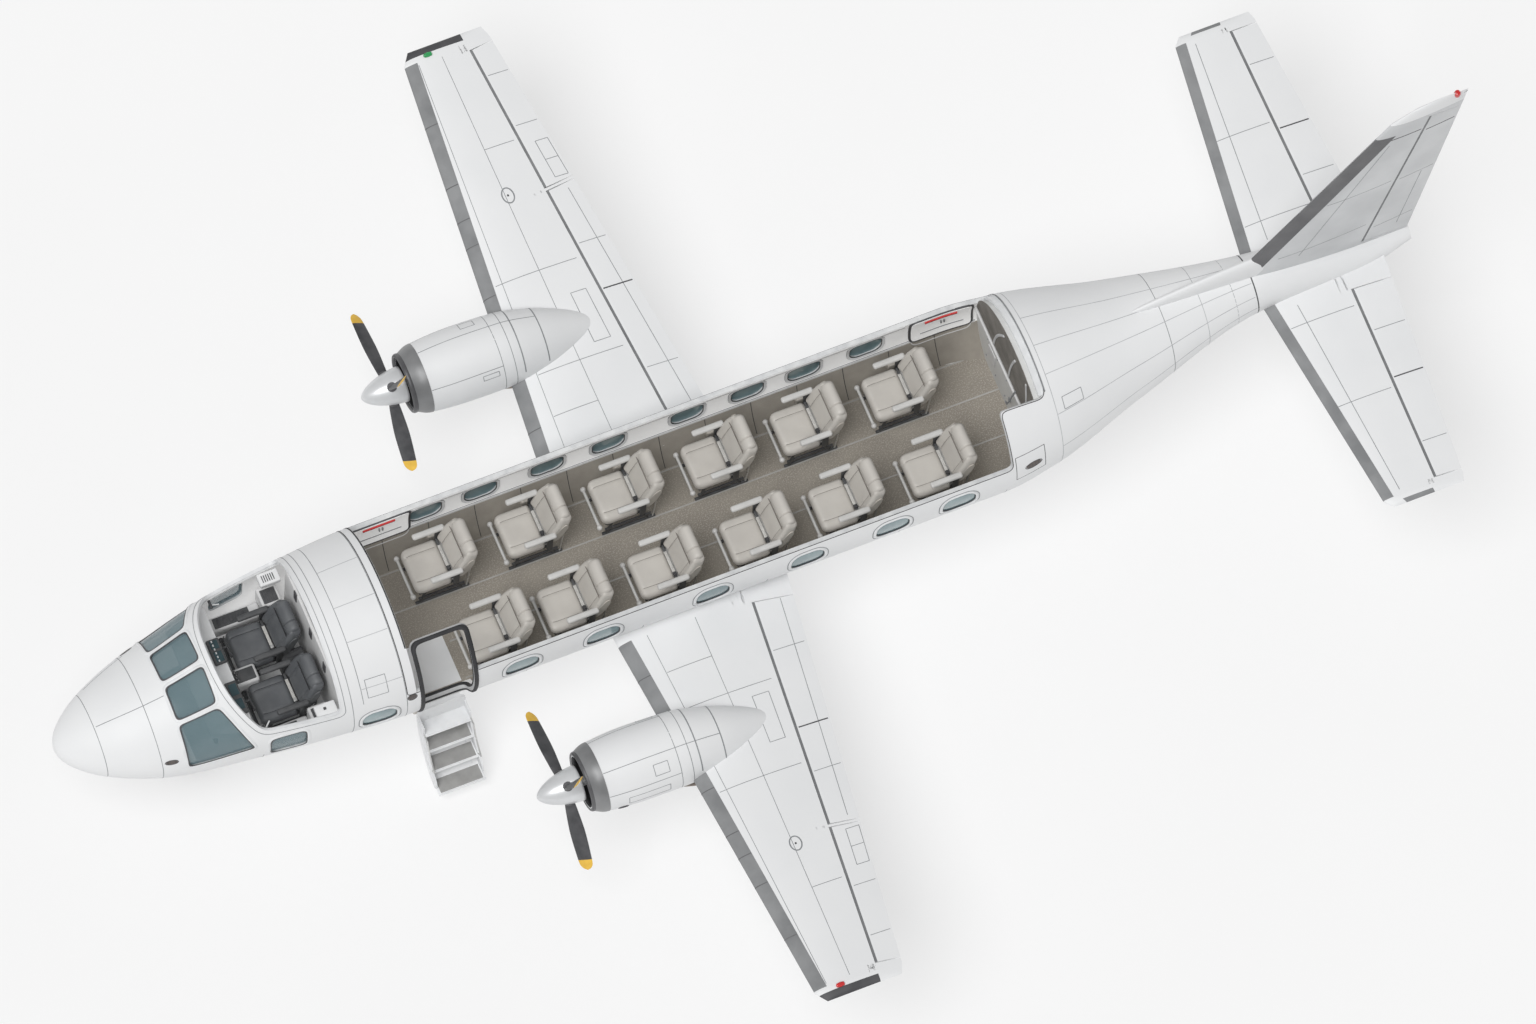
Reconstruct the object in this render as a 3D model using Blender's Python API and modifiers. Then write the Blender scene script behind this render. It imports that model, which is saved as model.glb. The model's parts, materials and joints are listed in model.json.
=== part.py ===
"""Twin turboprop airliner, a low-wing commuter type with its roof cut away to show the seats.

The nose points along +X, port is +Y and up is +Z. The origin is on the ground under the middle of
the bounding box. Places along the body are stations: metres behind the nose tip. Heights in the
tables are above the body's centre line, which runs at AXIS_Z over the ground. The airliner stands on
its wheels, and its door hangs open as stairs.
"""

import math

import bmesh
import bpy
import numpy as np
from mathutils import Matrix, Vector

# Driving sizes, in metres
LENGTH = 15.72  # nose tip to the fin's rear tip
AXIS_Z = 1.85  # the body's centre line above the ground
BODY_R = 1.02  # outer radius of the cabin
WALL = 0.05  # skin, frames and lining of the body
TAIL_WALL = 0.03
CUT_Z = 0.27  # the roof is cut away above this height
FLOOR_Z = -0.65  # top of the floor
FLOOR_T = 0.05
RING_SIDES = 32
GAP = 0.0003  # between pieces that rest on each other
RUN = 0.008  # around a surface that swings on its hinge

# Stations of the body's joints, front to back
NOSE_END = 0.96
COCKPIT_END = 2.95
BARREL_END = 3.65
CABIN_END = 10.90
TAIL_END = 15.26

# The body's sections: station, half width, top, bottom
BODY = (
    (0.00, 0.05, -0.19, -0.27),
    (0.10, 0.22, -0.04, -0.42),
    (0.42, 0.46, 0.15, -0.62),
    (0.96, 0.68, 0.34, -0.80),
    (1.25, 0.75, 0.46, -0.87),
    (1.95, 0.87, 0.84, -0.96),
    (2.75, 0.96, 0.98, -1.01),
    (3.65, 1.02, 1.02, -1.02),
    (10.30, 1.02, 1.02, -1.02),
    (10.90, 0.95, 0.99, -0.91),
    (12.00, 0.65, 0.82, -0.46),
    (13.50, 0.31, 0.70, 0.06),
    (14.60, 0.25, 0.46, 0.02),
    (15.26, 0.10, 0.33, 0.13),
)

# Cockpit glass, as angles from the body's top towards port. The outer panes reach further back
GLASS_FRONT = 1.22
GLASS_REAR = 1.62
GLASS_REAR_OUTER = 1.90
PANE_ANGLES = ((2.5, 31.5), (35.5, 82.0))
SIDE_WINDOW = {"front": 2.06, "rear": 2.46, "top": 78.0, "bottom": 101.0}
GLASS_T = 0.012
# Outline of the cockpit's roof opening, seen from the side: station, height
COCKPIT_CUT = ((1.69, 1.30), (1.69, 0.75), (2.02, 0.28), (2.84, 0.28), (2.84, 1.30))

# The instrument panel, its hood and the console
PANEL = {"front": 1.82, "rear": 1.90, "bottom": -0.28, "top": 0.20}
HOOD = {"front": 1.50, "rear": 1.96, "bottom": 0.17, "top": 0.22}
CONSOLE = {"front": 1.80, "rear": 1.99, "width": 0.22, "top": -0.15}
INSTRUMENT_CLEAR = 0.012

# Roof opening of the cabin: its rear edge is further forward on the port side
OPENING_REAR = 10.88
OPENING_REAR_PORT = 10.36
OPENING_STEP_Y = 0.55
AFT_BULKHEAD = {"front": 10.76, "rear": 10.82}

# Doorway on the port side
DOOR_FRONT = 3.73
DOOR_REAR = 4.30
DOOR_TOP_ANGLE = 41.0
DOOR_SILL_ANGLE = 129.6
FRAME_W = 0.04
HINGE_Y = 0.785
HINGE_Z = -0.688
HINGE_R = 0.014
LEAF_TOP_ANGLE = 63.0
LEAF_BOTTOM_ANGLE = 128.4
LEAF_T = 0.03
LEAF_CLEAR = 0.012
LEAF_OPEN_DEG = -145.0
STEPS = 4
STEP_DEPTH = 0.19
STEP_T = 0.022
STRINGER_T = 0.022
STRINGER_DEPTH = 0.15
RAIL_ANGLES = (112.0, 78.0)
RAIL_R = 0.010

# Emergency exits on the starboard wall: name, station of the middle
HATCHES = (("exit_hatch_front", 4.02), ("exit_hatch_rear", 10.36))
HATCH_LENGTH = 0.66
HATCH_ANGLES = (-104.0, -76.5)
HATCH_T = 0.025

# Seats: stations of the rows, starboard and port
ROWS_RIGHT = (4.50, 5.55, 6.60, 7.65, 8.66, 9.70)
ROWS_LEFT = (4.76, 5.64, 6.66, 7.70, 8.70, 9.74)
SEAT_Y = 0.47
SEAT_WIDTH = 0.48
CREW_STATION = 2.46
CREW_Y = 0.32
CREW_WIDTH = 0.46
# Parts of a seat, as stations behind its middle and heights over the body's centre line
ARM = {"front": -0.20, "rear": 0.20, "bottom": -0.03, "top": 0.02, "thick": 0.05}
ARM_POST = {"front": 0.08, "rear": 0.16, "bottom": -0.33}
RAIL = {"front": -0.40, "rear": 0.26, "inset": 0.05, "width": 0.03, "height": 0.03}
LEG = {"front": -0.22, "rear": 0.12, "top": -0.29}
SEAT_BAR = {"station": -0.385, "height": 0.045, "radius": 0.02}

# Wing and tail panels. Each end: station of the leading edge, station of the trailing edge,
# distance from the centre line, height, thickness ratio, hinge as a part of the chord
WING_ROOT = (5.89, 7.90, 0.70, -0.53, 0.145, 0.77)
WING_TIP = (6.20, 7.17, 5.60, 0.245, 0.115, 0.73)
WING_CAP = (6.29, 7.12, 5.73, 0.265, 0.045, 0.73)
TAIL_ROOT = (13.47, 14.92, 0.06, 0.27, 0.10, 0.67)
TAIL_TIP = (13.79, 14.69, 2.78, 0.34, 0.09, 0.67)
TAIL_CAP = (13.87, 14.66, 2.87, 0.342, 0.04, 0.67)
FIN_ROOT = (12.99, 15.236, 0.0, 0.30, 0.075, 0.743)
FIN_TIP = (14.86, 15.69, 0.0, 3.34, 0.085, 0.55)
FIN_CAPS = ((15.10, 15.71, 0.0, 3.50, 0.07, 0.55), (15.38, 15.72, 0.0, 3.58, 0.03, 0.55))
DORSAL = ((12.10, 0.50), (12.24, 0.76), (13.44, 1.01), (13.75, 1.01), (13.75, 0.50))
DORSAL_T = 0.05

# Swinging surfaces: name, first and last place along the panel, lowest and highest angle
FLAP = {"from": 1.12, "to": 3.84}
AILERON = {"from": 3.88, "to": 5.52}
ELEVATOR = {"from": 0.44, "to": 2.72}
RUDDER = {"from": 0.50, "to": 3.27}

# Engines
ENGINE_Y = 2.41
ENGINE_Z = -0.09
COWL_FRONT = 4.92
# The nacelle's sections: station, half width, top, bottom, measured from the engine's axis
NACELLE = (
    (4.92, 0.31, 0.31, -0.34),
    (5.06, 0.37, 0.37, -0.41),
    (5.50, 0.40, 0.40, -0.47),
    (6.00, 0.39, 0.37, -0.51),
    (6.40, 0.33, 0.25, -0.51),
    (6.80, 0.22, 0.04, -0.49),
    (7.08, 0.12, -0.14, -0.40),
)
NACELLE_WALL = 0.03
NACELLE_SIDES = 24
FIREWALL = 5.88
ENGINE_BLOCK = {"front": 5.16, "radius": 0.24}
SPINNER_TIP = 4.42
SPINNER_BACK = 4.89
SPINNER_R = 0.195
PROP_STATION = 4.74
PROP_R = 1.01
BLADE_ANGLES = (19.0, 139.0, 259.0)  # from straight up, towards port
# Blade sections: distance from the axis, chord, thickness, angle of the blade from the disc.
# The blades are feathered, as they are on a parked turboprop
BLADE = (
    (0.10, 0.075, 0.050, 84.0),
    (0.28, 0.110, 0.034, 82.0),
    (0.60, 0.135, 0.020, 79.0),
    (0.90, 0.120, 0.012, 76.0),
    (PROP_R, 0.055, 0.008, 75.0),
)

# Landing gear. A wheel's sides are a multiple of four, so that it stands on a corner at its foot
MAIN_STATION = 7.08
MAIN_WHEEL = {"radius": 0.36, "width": 0.24, "bore": 0.042, "sides": 24}
MAIN_LEG_R = 0.06
MAIN_LEG_IN = 0.21
NOSE_STATION = 1.62
NOSE_WHEEL = {"radius": 0.23, "width": 0.14, "bore": 0.027, "sides": 20}
NOSE_LEG_R = 0.05
NOSE_WHEEL_Y = 0.135
AXLE_GAP = 0.0008

# Colours: name, colour, roughness, metallic
FINISHES = {
    "white_paint": ((0.86, 0.87, 0.88), 0.35, 0.0),
    "white_composite": ((0.84, 0.85, 0.86), 0.35, 0.0),
    "clear_glass": ((0.30, 0.42, 0.46), 0.10, 0.0),
    "carpet": ((0.34, 0.32, 0.29), 0.95, 0.0),
    "grey_plastic": ((0.55, 0.56, 0.57), 0.60, 0.0),
    "black_seal": ((0.03, 0.03, 0.03), 0.80, 0.0),
    "beige_leather": ((0.62, 0.57, 0.51), 0.55, 0.0),
    "dark_leather": ((0.10, 0.11, 0.12), 0.55, 0.0),
    "engine_metal": ((0.40, 0.40, 0.41), 0.45, 1.0),
    "blade_black": ((0.05, 0.05, 0.055), 0.40, 0.0),
    "gear_metal": ((0.70, 0.71, 0.72), 0.35, 1.0),
    "tyre_rubber": ((0.04, 0.04, 0.04), 0.85, 0.0),
}


def at(station, y=0.0, z=0.0):
    """The point at a station, a distance to port and a height over the centre line."""
    return Vector((LENGTH / 2 - station, y, AXIS_Z + z))


# Scene, materials and objects


def clear_scene():
    for thing in list(bpy.data.objects):
        bpy.data.objects.remove(thing, do_unlink=True)


def new_collection(name):
    made = bpy.data.collections.new(name)
    bpy.context.scene.collection.children.link(made)
    return made


def finish(name):
    """The material of this name, made the first time it is asked for."""
    if name in bpy.data.materials:
        return bpy.data.materials[name]
    colour, roughness, metallic = FINISHES[name]
    made = bpy.data.materials.new(name)
    made.use_nodes = True
    shader = made.node_tree.nodes["Principled BSDF"]
    shader.inputs["Base Color"].default_value = (*colour, 1.0)
    shader.inputs["Roughness"].default_value = roughness
    shader.inputs["Metallic"].default_value = metallic
    made.diffuse_color = (*colour, 1.0)
    return made


def put(name, mesh, material=None, cutter=False, origin=None):
    """An object of this mesh in the airliner's collection, or among the cutters.

    A piece that moves is given an origin on its joint's axis.
    """
    made = bpy.data.objects.new(name, mesh)
    if origin is not None:
        mesh.transform(Matrix.Translation(-origin))
        made.location = origin
    if cutter:
        made.hide_render = True
        made.display_type = "WIRE"
        CUTTERS.objects.link(made)
    else:
        mesh.materials.clear()
        mesh.materials.append(finish(material))
        AIRLINER.objects.link(made)
    return made


def from_bmesh(work, name):
    """The bmesh as a mesh, with its faces pointing out and its flats kept sharp."""
    bmesh.ops.recalc_face_normals(work, faces=work.faces)
    mesh = bpy.data.meshes.new(name)
    work.to_mesh(mesh)
    work.free()
    mesh.shade_smooth()
    mesh.set_sharp_from_angle(angle=math.radians(35))
    return mesh


def loft(rings, name="loft"):
    """A closed body through rings of equally many points, with a flat cap at each end.

    Every side is split along the same diagonal, so that a skin and what is cut to fit it agree.
    """
    work = bmesh.new()
    rows = [[work.verts.new(point) for point in ring] for ring in rings]
    for near, far in zip(rows, rows[1:]):
        for k in range(len(near)):
            after = (k + 1) % len(near)
            work.faces.new((near[k], near[after], far[after]))
            work.faces.new((near[k], far[after], far[k]))
    work.faces.new(rows[0])
    work.faces.new(reversed(rows[-1]))
    return from_bmesh(work, name)


def box(low, high, name="box"):
    """A box between two corners."""
    low, high = Vector(low), Vector(high)
    size = Vector([abs(b - a) for a, b in zip(low, high)])
    work = bmesh.new()
    place = Matrix.Translation((low + high) / 2) @ Matrix.Diagonal((*size, 1.0))
    bmesh.ops.create_cube(work, size=1.0, matrix=place)
    return from_bmesh(work, name)


def rod(start, end, radius, sides=16, name="rod", end_radius=None):
    """A round bar between two points, or a cone where the two radii differ."""
    start, end = Vector(start), Vector(end)
    turn = (end - start).to_track_quat("Z", "Y").to_matrix().to_4x4()
    work = bmesh.new()
    bmesh.ops.create_cone(
        work,
        cap_ends=True,
        segments=sides,
        radius1=radius,
        radius2=radius if end_radius is None else end_radius,
        depth=(end - start).length,
        matrix=Matrix.Translation((start + end) / 2) @ turn,
    )
    return from_bmesh(work, name)


def turned(profile, centre, axis, sides, name="turned"):
    """A profile of (radius, place along the axis) turned once round the axis with a Screw modifier."""
    mesh = bpy.data.meshes.new(name)
    points = [(radius, 0.0, along) for radius, along in profile]
    edges = [(k, k + 1) for k in range(len(points) - 1)]
    if profile[0][0] > 0.0:
        edges.append((len(points) - 1, 0))
    mesh.from_pydata(points, edges, [])
    shape = bpy.data.objects.new(name, mesh)
    CUTTERS.objects.link(shape)
    screw = shape.modifiers.new("turn", "SCREW")
    screw.axis = "Z"
    screw.steps = sides
    screw.render_steps = sides
    screw.use_merge_vertices = True
    screw.merge_threshold = 0.0001
    made = baked(shape, name)
    made.transform(Matrix.Translation(centre) @ Vector(axis).to_track_quat("Z", "Y").to_matrix().to_4x4())
    work = bmesh.new()
    work.from_mesh(made)
    bmesh.ops.remove_doubles(work, verts=work.verts, dist=0.00001)
    return from_bmesh(work, name)


def outline(points, thickness, name="outline"):
    """A flat outline of (station, height) points on the plane of symmetry, as thick as given."""
    curve = bpy.data.curves.new(name, "CURVE")
    curve.dimensions = "2D"
    curve.fill_mode = "BOTH"
    curve.extrude = thickness / 2
    line = curve.splines.new("POLY")
    line.points.add(len(points) - 1)
    for point, (station, height) in zip(line.points, points):
        point.co = (-station, height, 0.0, 1.0)
    line.use_cyclic_u = True
    shape = bpy.data.objects.new(name, curve)
    CUTTERS.objects.link(shape)
    made = baked(shape, name)
    stand = Matrix.Translation(at(0.0)) @ Matrix.Rotation(math.radians(90), 4, "X")
    made.transform(stand)
    work = bmesh.new()
    work.from_mesh(made)
    bmesh.ops.remove_doubles(work, verts=work.verts, dist=0.00001)
    return from_bmesh(work, name)


def baked(shape, name):
    """The object's mesh with its modifiers applied; the object itself is removed."""
    view = bpy.context.evaluated_depsgraph_get()
    made = bpy.data.meshes.new_from_object(shape.evaluated_get(view))
    made.name = name
    bpy.data.objects.remove(shape, do_unlink=True)
    return made


def combine(mesh, steps, name="combined"):
    """The mesh after a list of (operation, other mesh) Booleans, in order."""
    shape = put(name, mesh, cutter=True)
    others = []
    for operation, other in steps:
        tool = put(name + "_tool", other, cutter=True)
        cut = shape.modifiers.new(operation.lower(), "BOOLEAN")
        cut.operation = operation
        cut.object = tool
        others.append(tool)
    made = baked(shape, name)
    for tool in others:
        bpy.data.objects.remove(tool, do_unlink=True)
    made.materials.clear()
    work = bmesh.new()
    work.from_mesh(made)
    bmesh.ops.remove_doubles(work, verts=work.verts, dist=0.00002)
    bmesh.ops.dissolve_degenerate(work, edges=work.edges, dist=0.00002)
    return from_bmesh(work, name)


# The body's surface


def smooth(table, column, station):
    """A table column at a station, through its values with no overshoot (monotone cubic)."""
    places = np.array([row[0] for row in table])
    values = np.array([row[column] for row in table])
    steps = np.diff(values) / np.diff(places)
    slopes = np.zeros(len(places))
    for k in range(1, len(places) - 1):
        if steps[k - 1] * steps[k] > 0:
            slopes[k] = 2 / (1 / steps[k - 1] + 1 / steps[k])
    slopes[0], slopes[-1] = steps[0], steps[-1]
    k = int(np.clip(np.searchsorted(places, station) - 1, 0, len(places) - 2))
    width = places[k + 1] - places[k]
    u = (station - places[k]) / width
    start = (2 * u**3 - 3 * u**2 + 1) * values[k] + (u**3 - 2 * u**2 + u) * width * slopes[k]
    end = (3 * u**2 - 2 * u**3) * values[k + 1] + (u**3 - u**2) * width * slopes[k + 1]
    return float(start + end)


def section(table, station, inset=0.0):
    """Half width, middle, and reach up and down of a section, made smaller by inset."""
    half = smooth(table, 1, station) - inset
    top = smooth(table, 2, station)
    bottom = smooth(table, 3, station)
    middle = (top + bottom) / 2
    reach = (top - bottom) / 2 - inset
    return half, middle, reach


def skin_point(station, degrees, inset=0.0):
    """The point on the body's skin at a station and an angle from the top towards port."""
    half, middle, reach = section(BODY, station, inset)
    angle = math.radians(degrees)
    return at(station, half * math.sin(angle), middle + reach * math.cos(angle))


def body_ring(station, inset=0.0):
    return [skin_point(station, 360 * k / RING_SIDES, inset) for k in range(RING_SIDES)]


def body_loft(stations, inset=0.0, name="body"):
    return loft([body_ring(station, inset) for station in stations], name)


def patch(front, rear, low, high, outer, inner, across=6, along=3):
    """A block between two insets of the skin, from front to rear and between two angles.

    The rear may be a function of the angle, for an edge that runs back towards the side.
    """
    rings = []
    for share in np.linspace(0.0, 1.0, along):
        ring = []
        for inset, angles in ((outer, (low, high)), (inner, (high, low))):
            for angle in np.linspace(*angles, across):
                back = rear(angle) if callable(rear) else rear
                ring.append(skin_point(front + share * (back - front), angle, inset))
        rings.append(ring)
    return loft(rings, "patch")


def cavity(inset=WALL):
    """The room inside the body from the cockpit to the cabin's rear."""
    return body_loft(CAVITY_RINGS, inset, "cavity")


def lined(mesh):
    """The mesh cut to lie against the inner wall of the body."""
    return combine(mesh, [("INTERSECT", cavity(WALL + GAP))])


def whole_body(inset=0.0):
    """The whole body from nose to tail, for cutting what meets its skin."""
    stations = sorted(set(NOSE_RINGS + COCKPIT_RINGS + BARREL_RINGS + CABIN_RINGS + TAIL_RINGS))
    return body_loft(stations, inset, "whole_body")


NOSE_RINGS = (0.0, 0.03, 0.10, 0.22, 0.42, 0.68, NOSE_END)
COCKPIT_RINGS = (NOSE_END, 1.24, 1.55, 1.86, 2.35, COCKPIT_END)
BARREL_RINGS = (COCKPIT_END, 3.30, BARREL_END)
CABIN_RINGS = (BARREL_END, 10.30, 10.60, CABIN_END)
CAVITY_RINGS = (
    NOSE_END + 0.06,
    *COCKPIT_RINGS[1:],
    *BARREL_RINGS[1:],
    *CABIN_RINGS[1:-1],
    CABIN_END + 0.01,
)
TAIL_RINGS = (CABIN_END, 11.40, 12.00, 12.70, 13.50, 14.10, 14.60, 15.00, TAIL_END)

# Wing and tail panels

NOMINAL_HINGE = 0.70  # every panel's chord fractions put its hinge here
CHORD = (1.0, 0.85, NOMINAL_HINGE, 0.50, 0.30, 0.15, 0.05)


def half_thickness(share):
    """Half the thickness of a symmetric wing section, over its chord, per unit of thickness ratio."""
    powers = 0.2969 * math.sqrt(share) - 0.126 * share - 0.3516 * share**2
    return 5 * (powers + 0.2843 * share**3 - 0.1015 * share**4)


class Panel:
    """A wing or tail panel, straight from its root to its tip. side is -1 on starboard."""

    def __init__(self, root, tip, side=1, upright=False):
        self.root, self.tip, self.side, self.upright = root, tip, side, upright

    def end_point(self, end, fraction, face, grow=0.0):
        """A point of an end's section: fraction of the chord, and face 1 above, -1 below or 0."""
        front, rear, reach, height, thickness, hinge = end
        if fraction <= NOMINAL_HINGE:
            share = fraction / NOMINAL_HINGE * hinge
        else:
            share = hinge + (fraction - NOMINAL_HINGE) / (1 - NOMINAL_HINGE) * (1 - hinge)
        chord = rear - front
        offset = face * (half_thickness(share) * thickness * chord + grow)
        station = front + share * chord - (grow if fraction == 0.0 else 0.0)
        if self.upright:
            return at(station, offset, height)
        return at(station, self.side * reach, height + offset)

    def ring(self, end, grow=0.0):
        upper = [self.end_point(end, fraction, 1, grow) for fraction in CHORD]
        lower = [self.end_point(end, fraction, -1, grow) for fraction in reversed(CHORD)]
        return upper + [self.end_point(end, 0.0, 0, grow)] + lower

    def hinge(self, place):
        """The point of the hinge line at a place along the panel: its reach, or its height."""
        column = 3 if self.upright else 2
        share = (place - self.root[column]) / (self.tip[column] - self.root[column])
        start = self.end_point(self.root, NOMINAL_HINGE, 0)
        return start.lerp(self.end_point(self.tip, NOMINAL_HINGE, 0), share)

    def square(self, centre, along, fraction, face):
        """The skin's point at a chord fraction, in the plane square to the hinge at centre."""
        root = self.end_point(self.root, fraction, face)
        tip = self.end_point(self.tip, fraction, face)
        share = (centre - root).dot(along) / (tip - root).dot(along)
        return root + share * (tip - root)

    def nose(self, centre, along):
        """From the hinge to the upper skin, and as far forwards, in the plane square to the hinge."""
        up = self.square(centre, along, NOMINAL_HINGE, 1) - centre
        forward = along.cross(up)
        return up, forward if forward.x > 0 else -forward

    def span(self, surface):
        """The hinge line's ends and direction for a swinging surface."""
        first, last = self.hinge(surface["from"]), self.hinge(surface["to"])
        return first, last, (last - first).normalized()

    def swinging(self, surface, pin=0.012):
        """The surface behind the hinge: a round nose, square ends and a pin at each end."""
        first, last, along = self.span(surface)
        rings = []
        for centre in (first, last):
            up, forward = self.nose(centre, along)
            ring = [self.square(centre, along, fraction, 1) for fraction in CHORD[:2]]
            for turn in range(0, 181, 36):
                angle = math.radians(turn)
                ring.append(centre + up * math.cos(angle) + forward * math.sin(angle))
            ring += [self.square(centre, along, fraction, -1) for fraction in reversed(CHORD[:2])]
            rings.append(ring)
        reach = RUN - GAP
        pins = [
            rod(first - along * reach, first + along * 0.02, pin, 8),
            rod(last - along * 0.02, last + along * reach, pin, 8),
        ]
        return combine(loft(rings), [("UNION", piece) for piece in pins])

    def bay(self, surface):
        """What the panel leaves open for a swinging surface."""
        first, last, along = self.span(surface)
        rings = []
        for centre, way in ((first, -1), (last, 1)):
            up, forward = self.nose(centre, along)
            high = up * (1 + 0.2 / up.length)
            ahead = forward * (1 + RUN / forward.length)
            behind = forward * (-1.0 / forward.length)
            end = centre + along * way * RUN
            rings.append([end + ahead + high, end + behind + high, end + behind - high, end + ahead - high])
        return loft(rings)

    def solid(self, caps=(), grow=0.0):
        ends = [self.root, self.tip, *caps]
        return loft([self.ring(end, grow) for end in ends])


def wing_panel(side):
    return Panel(WING_ROOT, WING_TIP, side)


def tail_panel(side):
    return Panel(TAIL_ROOT, TAIL_TIP, side)


def fin_panel():
    return Panel(FIN_ROOT, FIN_TIP, upright=True)


# Body and cockpit


def build_nose():
    hollow = body_loft((0.20, 0.42, 0.68, NOSE_END + 0.01), inset=0.03)
    put("nose_cone", combine(body_loft(NOSE_RINGS), [("DIFFERENCE", hollow)]), "white_paint")


def outer_pane_rear(angle):
    """The rear edge of the cockpit glass, further back towards the sides."""
    (_, _), (start, end) = PANE_ANGLES
    share = min(1.0, max(0.0, (abs(angle) - start) / (end - start)))
    return GLASS_REAR + share * (GLASS_REAR_OUTER - GLASS_REAR)


def build_cockpit_shell():
    front = NOSE_END + GAP
    outer = body_loft((front, *COCKPIT_RINGS[1:]))
    steps = [("DIFFERENCE", cavity())]
    for side in (-1, 1):
        for low, high in PANE_ANGLES:
            hole = patch(GLASS_FRONT, outer_pane_rear, side * low, side * high, -0.1, WALL + 0.08, 4, 2)
            steps.append(("DIFFERENCE", hole))
        low, high = side * SIDE_WINDOW["top"], side * SIDE_WINDOW["bottom"]
        hole = patch(SIDE_WINDOW["front"], SIDE_WINDOW["rear"], low, high, -0.1, WALL + 0.08, 3, 2)
        steps.append(("DIFFERENCE", hole))
    steps.append(("DIFFERENCE", outline(COCKPIT_CUT, 2.4)))
    put("cockpit_shell", combine(outer, steps), "white_paint")


def build_cockpit_glass():
    """One curved sheet behind the four panes, and one behind each side window."""
    edge = 0.02
    reach = PANE_ANGLES[1][1] + 1.5

    def rear(angle):
        return outer_pane_rear(angle) + edge

    sheet = patch(GLASS_FRONT - edge, rear, -reach, reach, WALL - edge, WALL + GLASS_T, 17, 3)
    put("windshield_glass", lined(sheet), "clear_glass")
    for name, side in (("side_window_left", 1), ("side_window_right", -1)):
        low, high = side * (SIDE_WINDOW["top"] - 1.0), side * (SIDE_WINDOW["bottom"] + 1.5)
        front, back = SIDE_WINDOW["front"] - edge, SIDE_WINDOW["rear"] + edge
        sheet = patch(front, back, low, high, WALL - edge, WALL + GLASS_T, 5, 2)
        put(name, lined(sheet), "clear_glass")


def build_barrel():
    front = COCKPIT_END + GAP
    tube = body_loft((front, *BARREL_RINGS[1:]))
    put("forward_barrel", combine(tube, [("DIFFERENCE", cavity())]), "white_paint")


def door_block(edge, outer, inner):
    """The doorway's block, widened by edge in metres along the body and in degrees round it."""
    degrees = math.degrees(edge / BODY_R)
    low, high = DOOR_TOP_ANGLE - degrees, DOOR_SILL_ANGLE + degrees
    return patch(DOOR_FRONT - edge, DOOR_REAR + edge, low, high, outer, inner, 9, 2)


def build_cabin_shell():
    front = BARREL_END + GAP
    roof = box(at(front - 0.1, -1.2, CUT_Z), at(OPENING_REAR_PORT, 1.2, 1.4))
    step = box(at(OPENING_REAR_PORT - 0.1, -1.2, CUT_Z), at(OPENING_REAR, OPENING_STEP_Y, 1.4))
    steps = [("DIFFERENCE", cavity()), ("DIFFERENCE", roof), ("DIFFERENCE", step)]
    steps.append(("DIFFERENCE", door_block(FRAME_W + GAP, -0.1, WALL + 0.1)))
    put("cabin_shell", combine(body_loft((front, *CABIN_RINGS[1:])), steps), "white_paint")


def build_tail_body():
    front = CABIN_END + GAP
    hollow = body_loft((front - 0.01, *TAIL_RINGS[1:5], 13.9), TAIL_WALL)
    tube = body_loft((front, *TAIL_RINGS[1:]))
    put("aft_fuselage", combine(tube, [("DIFFERENCE", hollow)]), "white_paint")


# Cabin


def build_floors():
    front, rear = BARREL_END + GAP, AFT_BULKHEAD["front"] - GAP
    low, high = at(front, -1.0, FLOOR_Z - FLOOR_T), at(rear, 1.0, FLOOR_Z)
    put("cabin_floor", lined(box(low, high)), "carpet")
    low, high = at(1.40, -1.0, FLOOR_Z - FLOOR_T), at(BARREL_END - GAP, 1.0, FLOOR_Z)
    put("cockpit_floor", lined(box(low, high)), "grey_plastic")
    low, high = at(DOOR_FRONT + 0.01, 0.16, FLOOR_Z + GAP), at(DOOR_REAR - 0.01, 0.70, FLOOR_Z + 0.005)
    put("entry_floor", box(low, high), "grey_plastic")


def build_bulkhead():
    front, rear = AFT_BULKHEAD["front"], AFT_BULKHEAD["rear"]
    low, high = at(front, -1.2, -1.2), at(rear, 1.2, 1.2)
    put("aft_bulkhead", lined(box(low, high)), "grey_plastic")


def build_hatches():
    for name, middle in HATCHES:
        front, rear = middle - HATCH_LENGTH / 2, middle + HATCH_LENGTH / 2
        low, high = HATCH_ANGLES
        panel = patch(front, rear, low, high, WALL - HATCH_T, WALL + HATCH_T, 5, 2)
        put(name, lined(panel), "white_paint")


def build_instruments():
    """The instrument panel with its hood, and the console between the pilots' feet."""
    floor = FLOOR_Z + GAP
    panel = box(at(PANEL["front"], -BODY_R, PANEL["bottom"]), at(PANEL["rear"], BODY_R, PANEL["top"]))
    hood = box(at(HOOD["front"], -BODY_R, HOOD["bottom"]), at(HOOD["rear"], BODY_R, HOOD["top"]))
    half = CONSOLE["width"] / 2
    console = box(at(CONSOLE["front"], -half, floor), at(CONSOLE["rear"], half, CONSOLE["top"]))
    joined = combine(panel, [("UNION", hood), ("UNION", console)])
    room = cavity(WALL + GLASS_T + INSTRUMENT_CLEAR)
    put("instrument_panel", combine(joined, [("INTERSECT", room)]), "grey_plastic")


# Seats are built at the nose tip and moved back to their rows

SEAT_SIDE = (
    (-0.33, -0.31),
    (-0.34, -0.23),
    (-0.29, -0.19),
    (0.06, -0.21),
    (0.12, -0.16),
    (0.27, 0.20),
    (0.29, 0.26),
    (0.38, 0.27),
    (0.42, 0.21),
    (0.25, -0.27),
    (0.12, -0.33),
)


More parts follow.
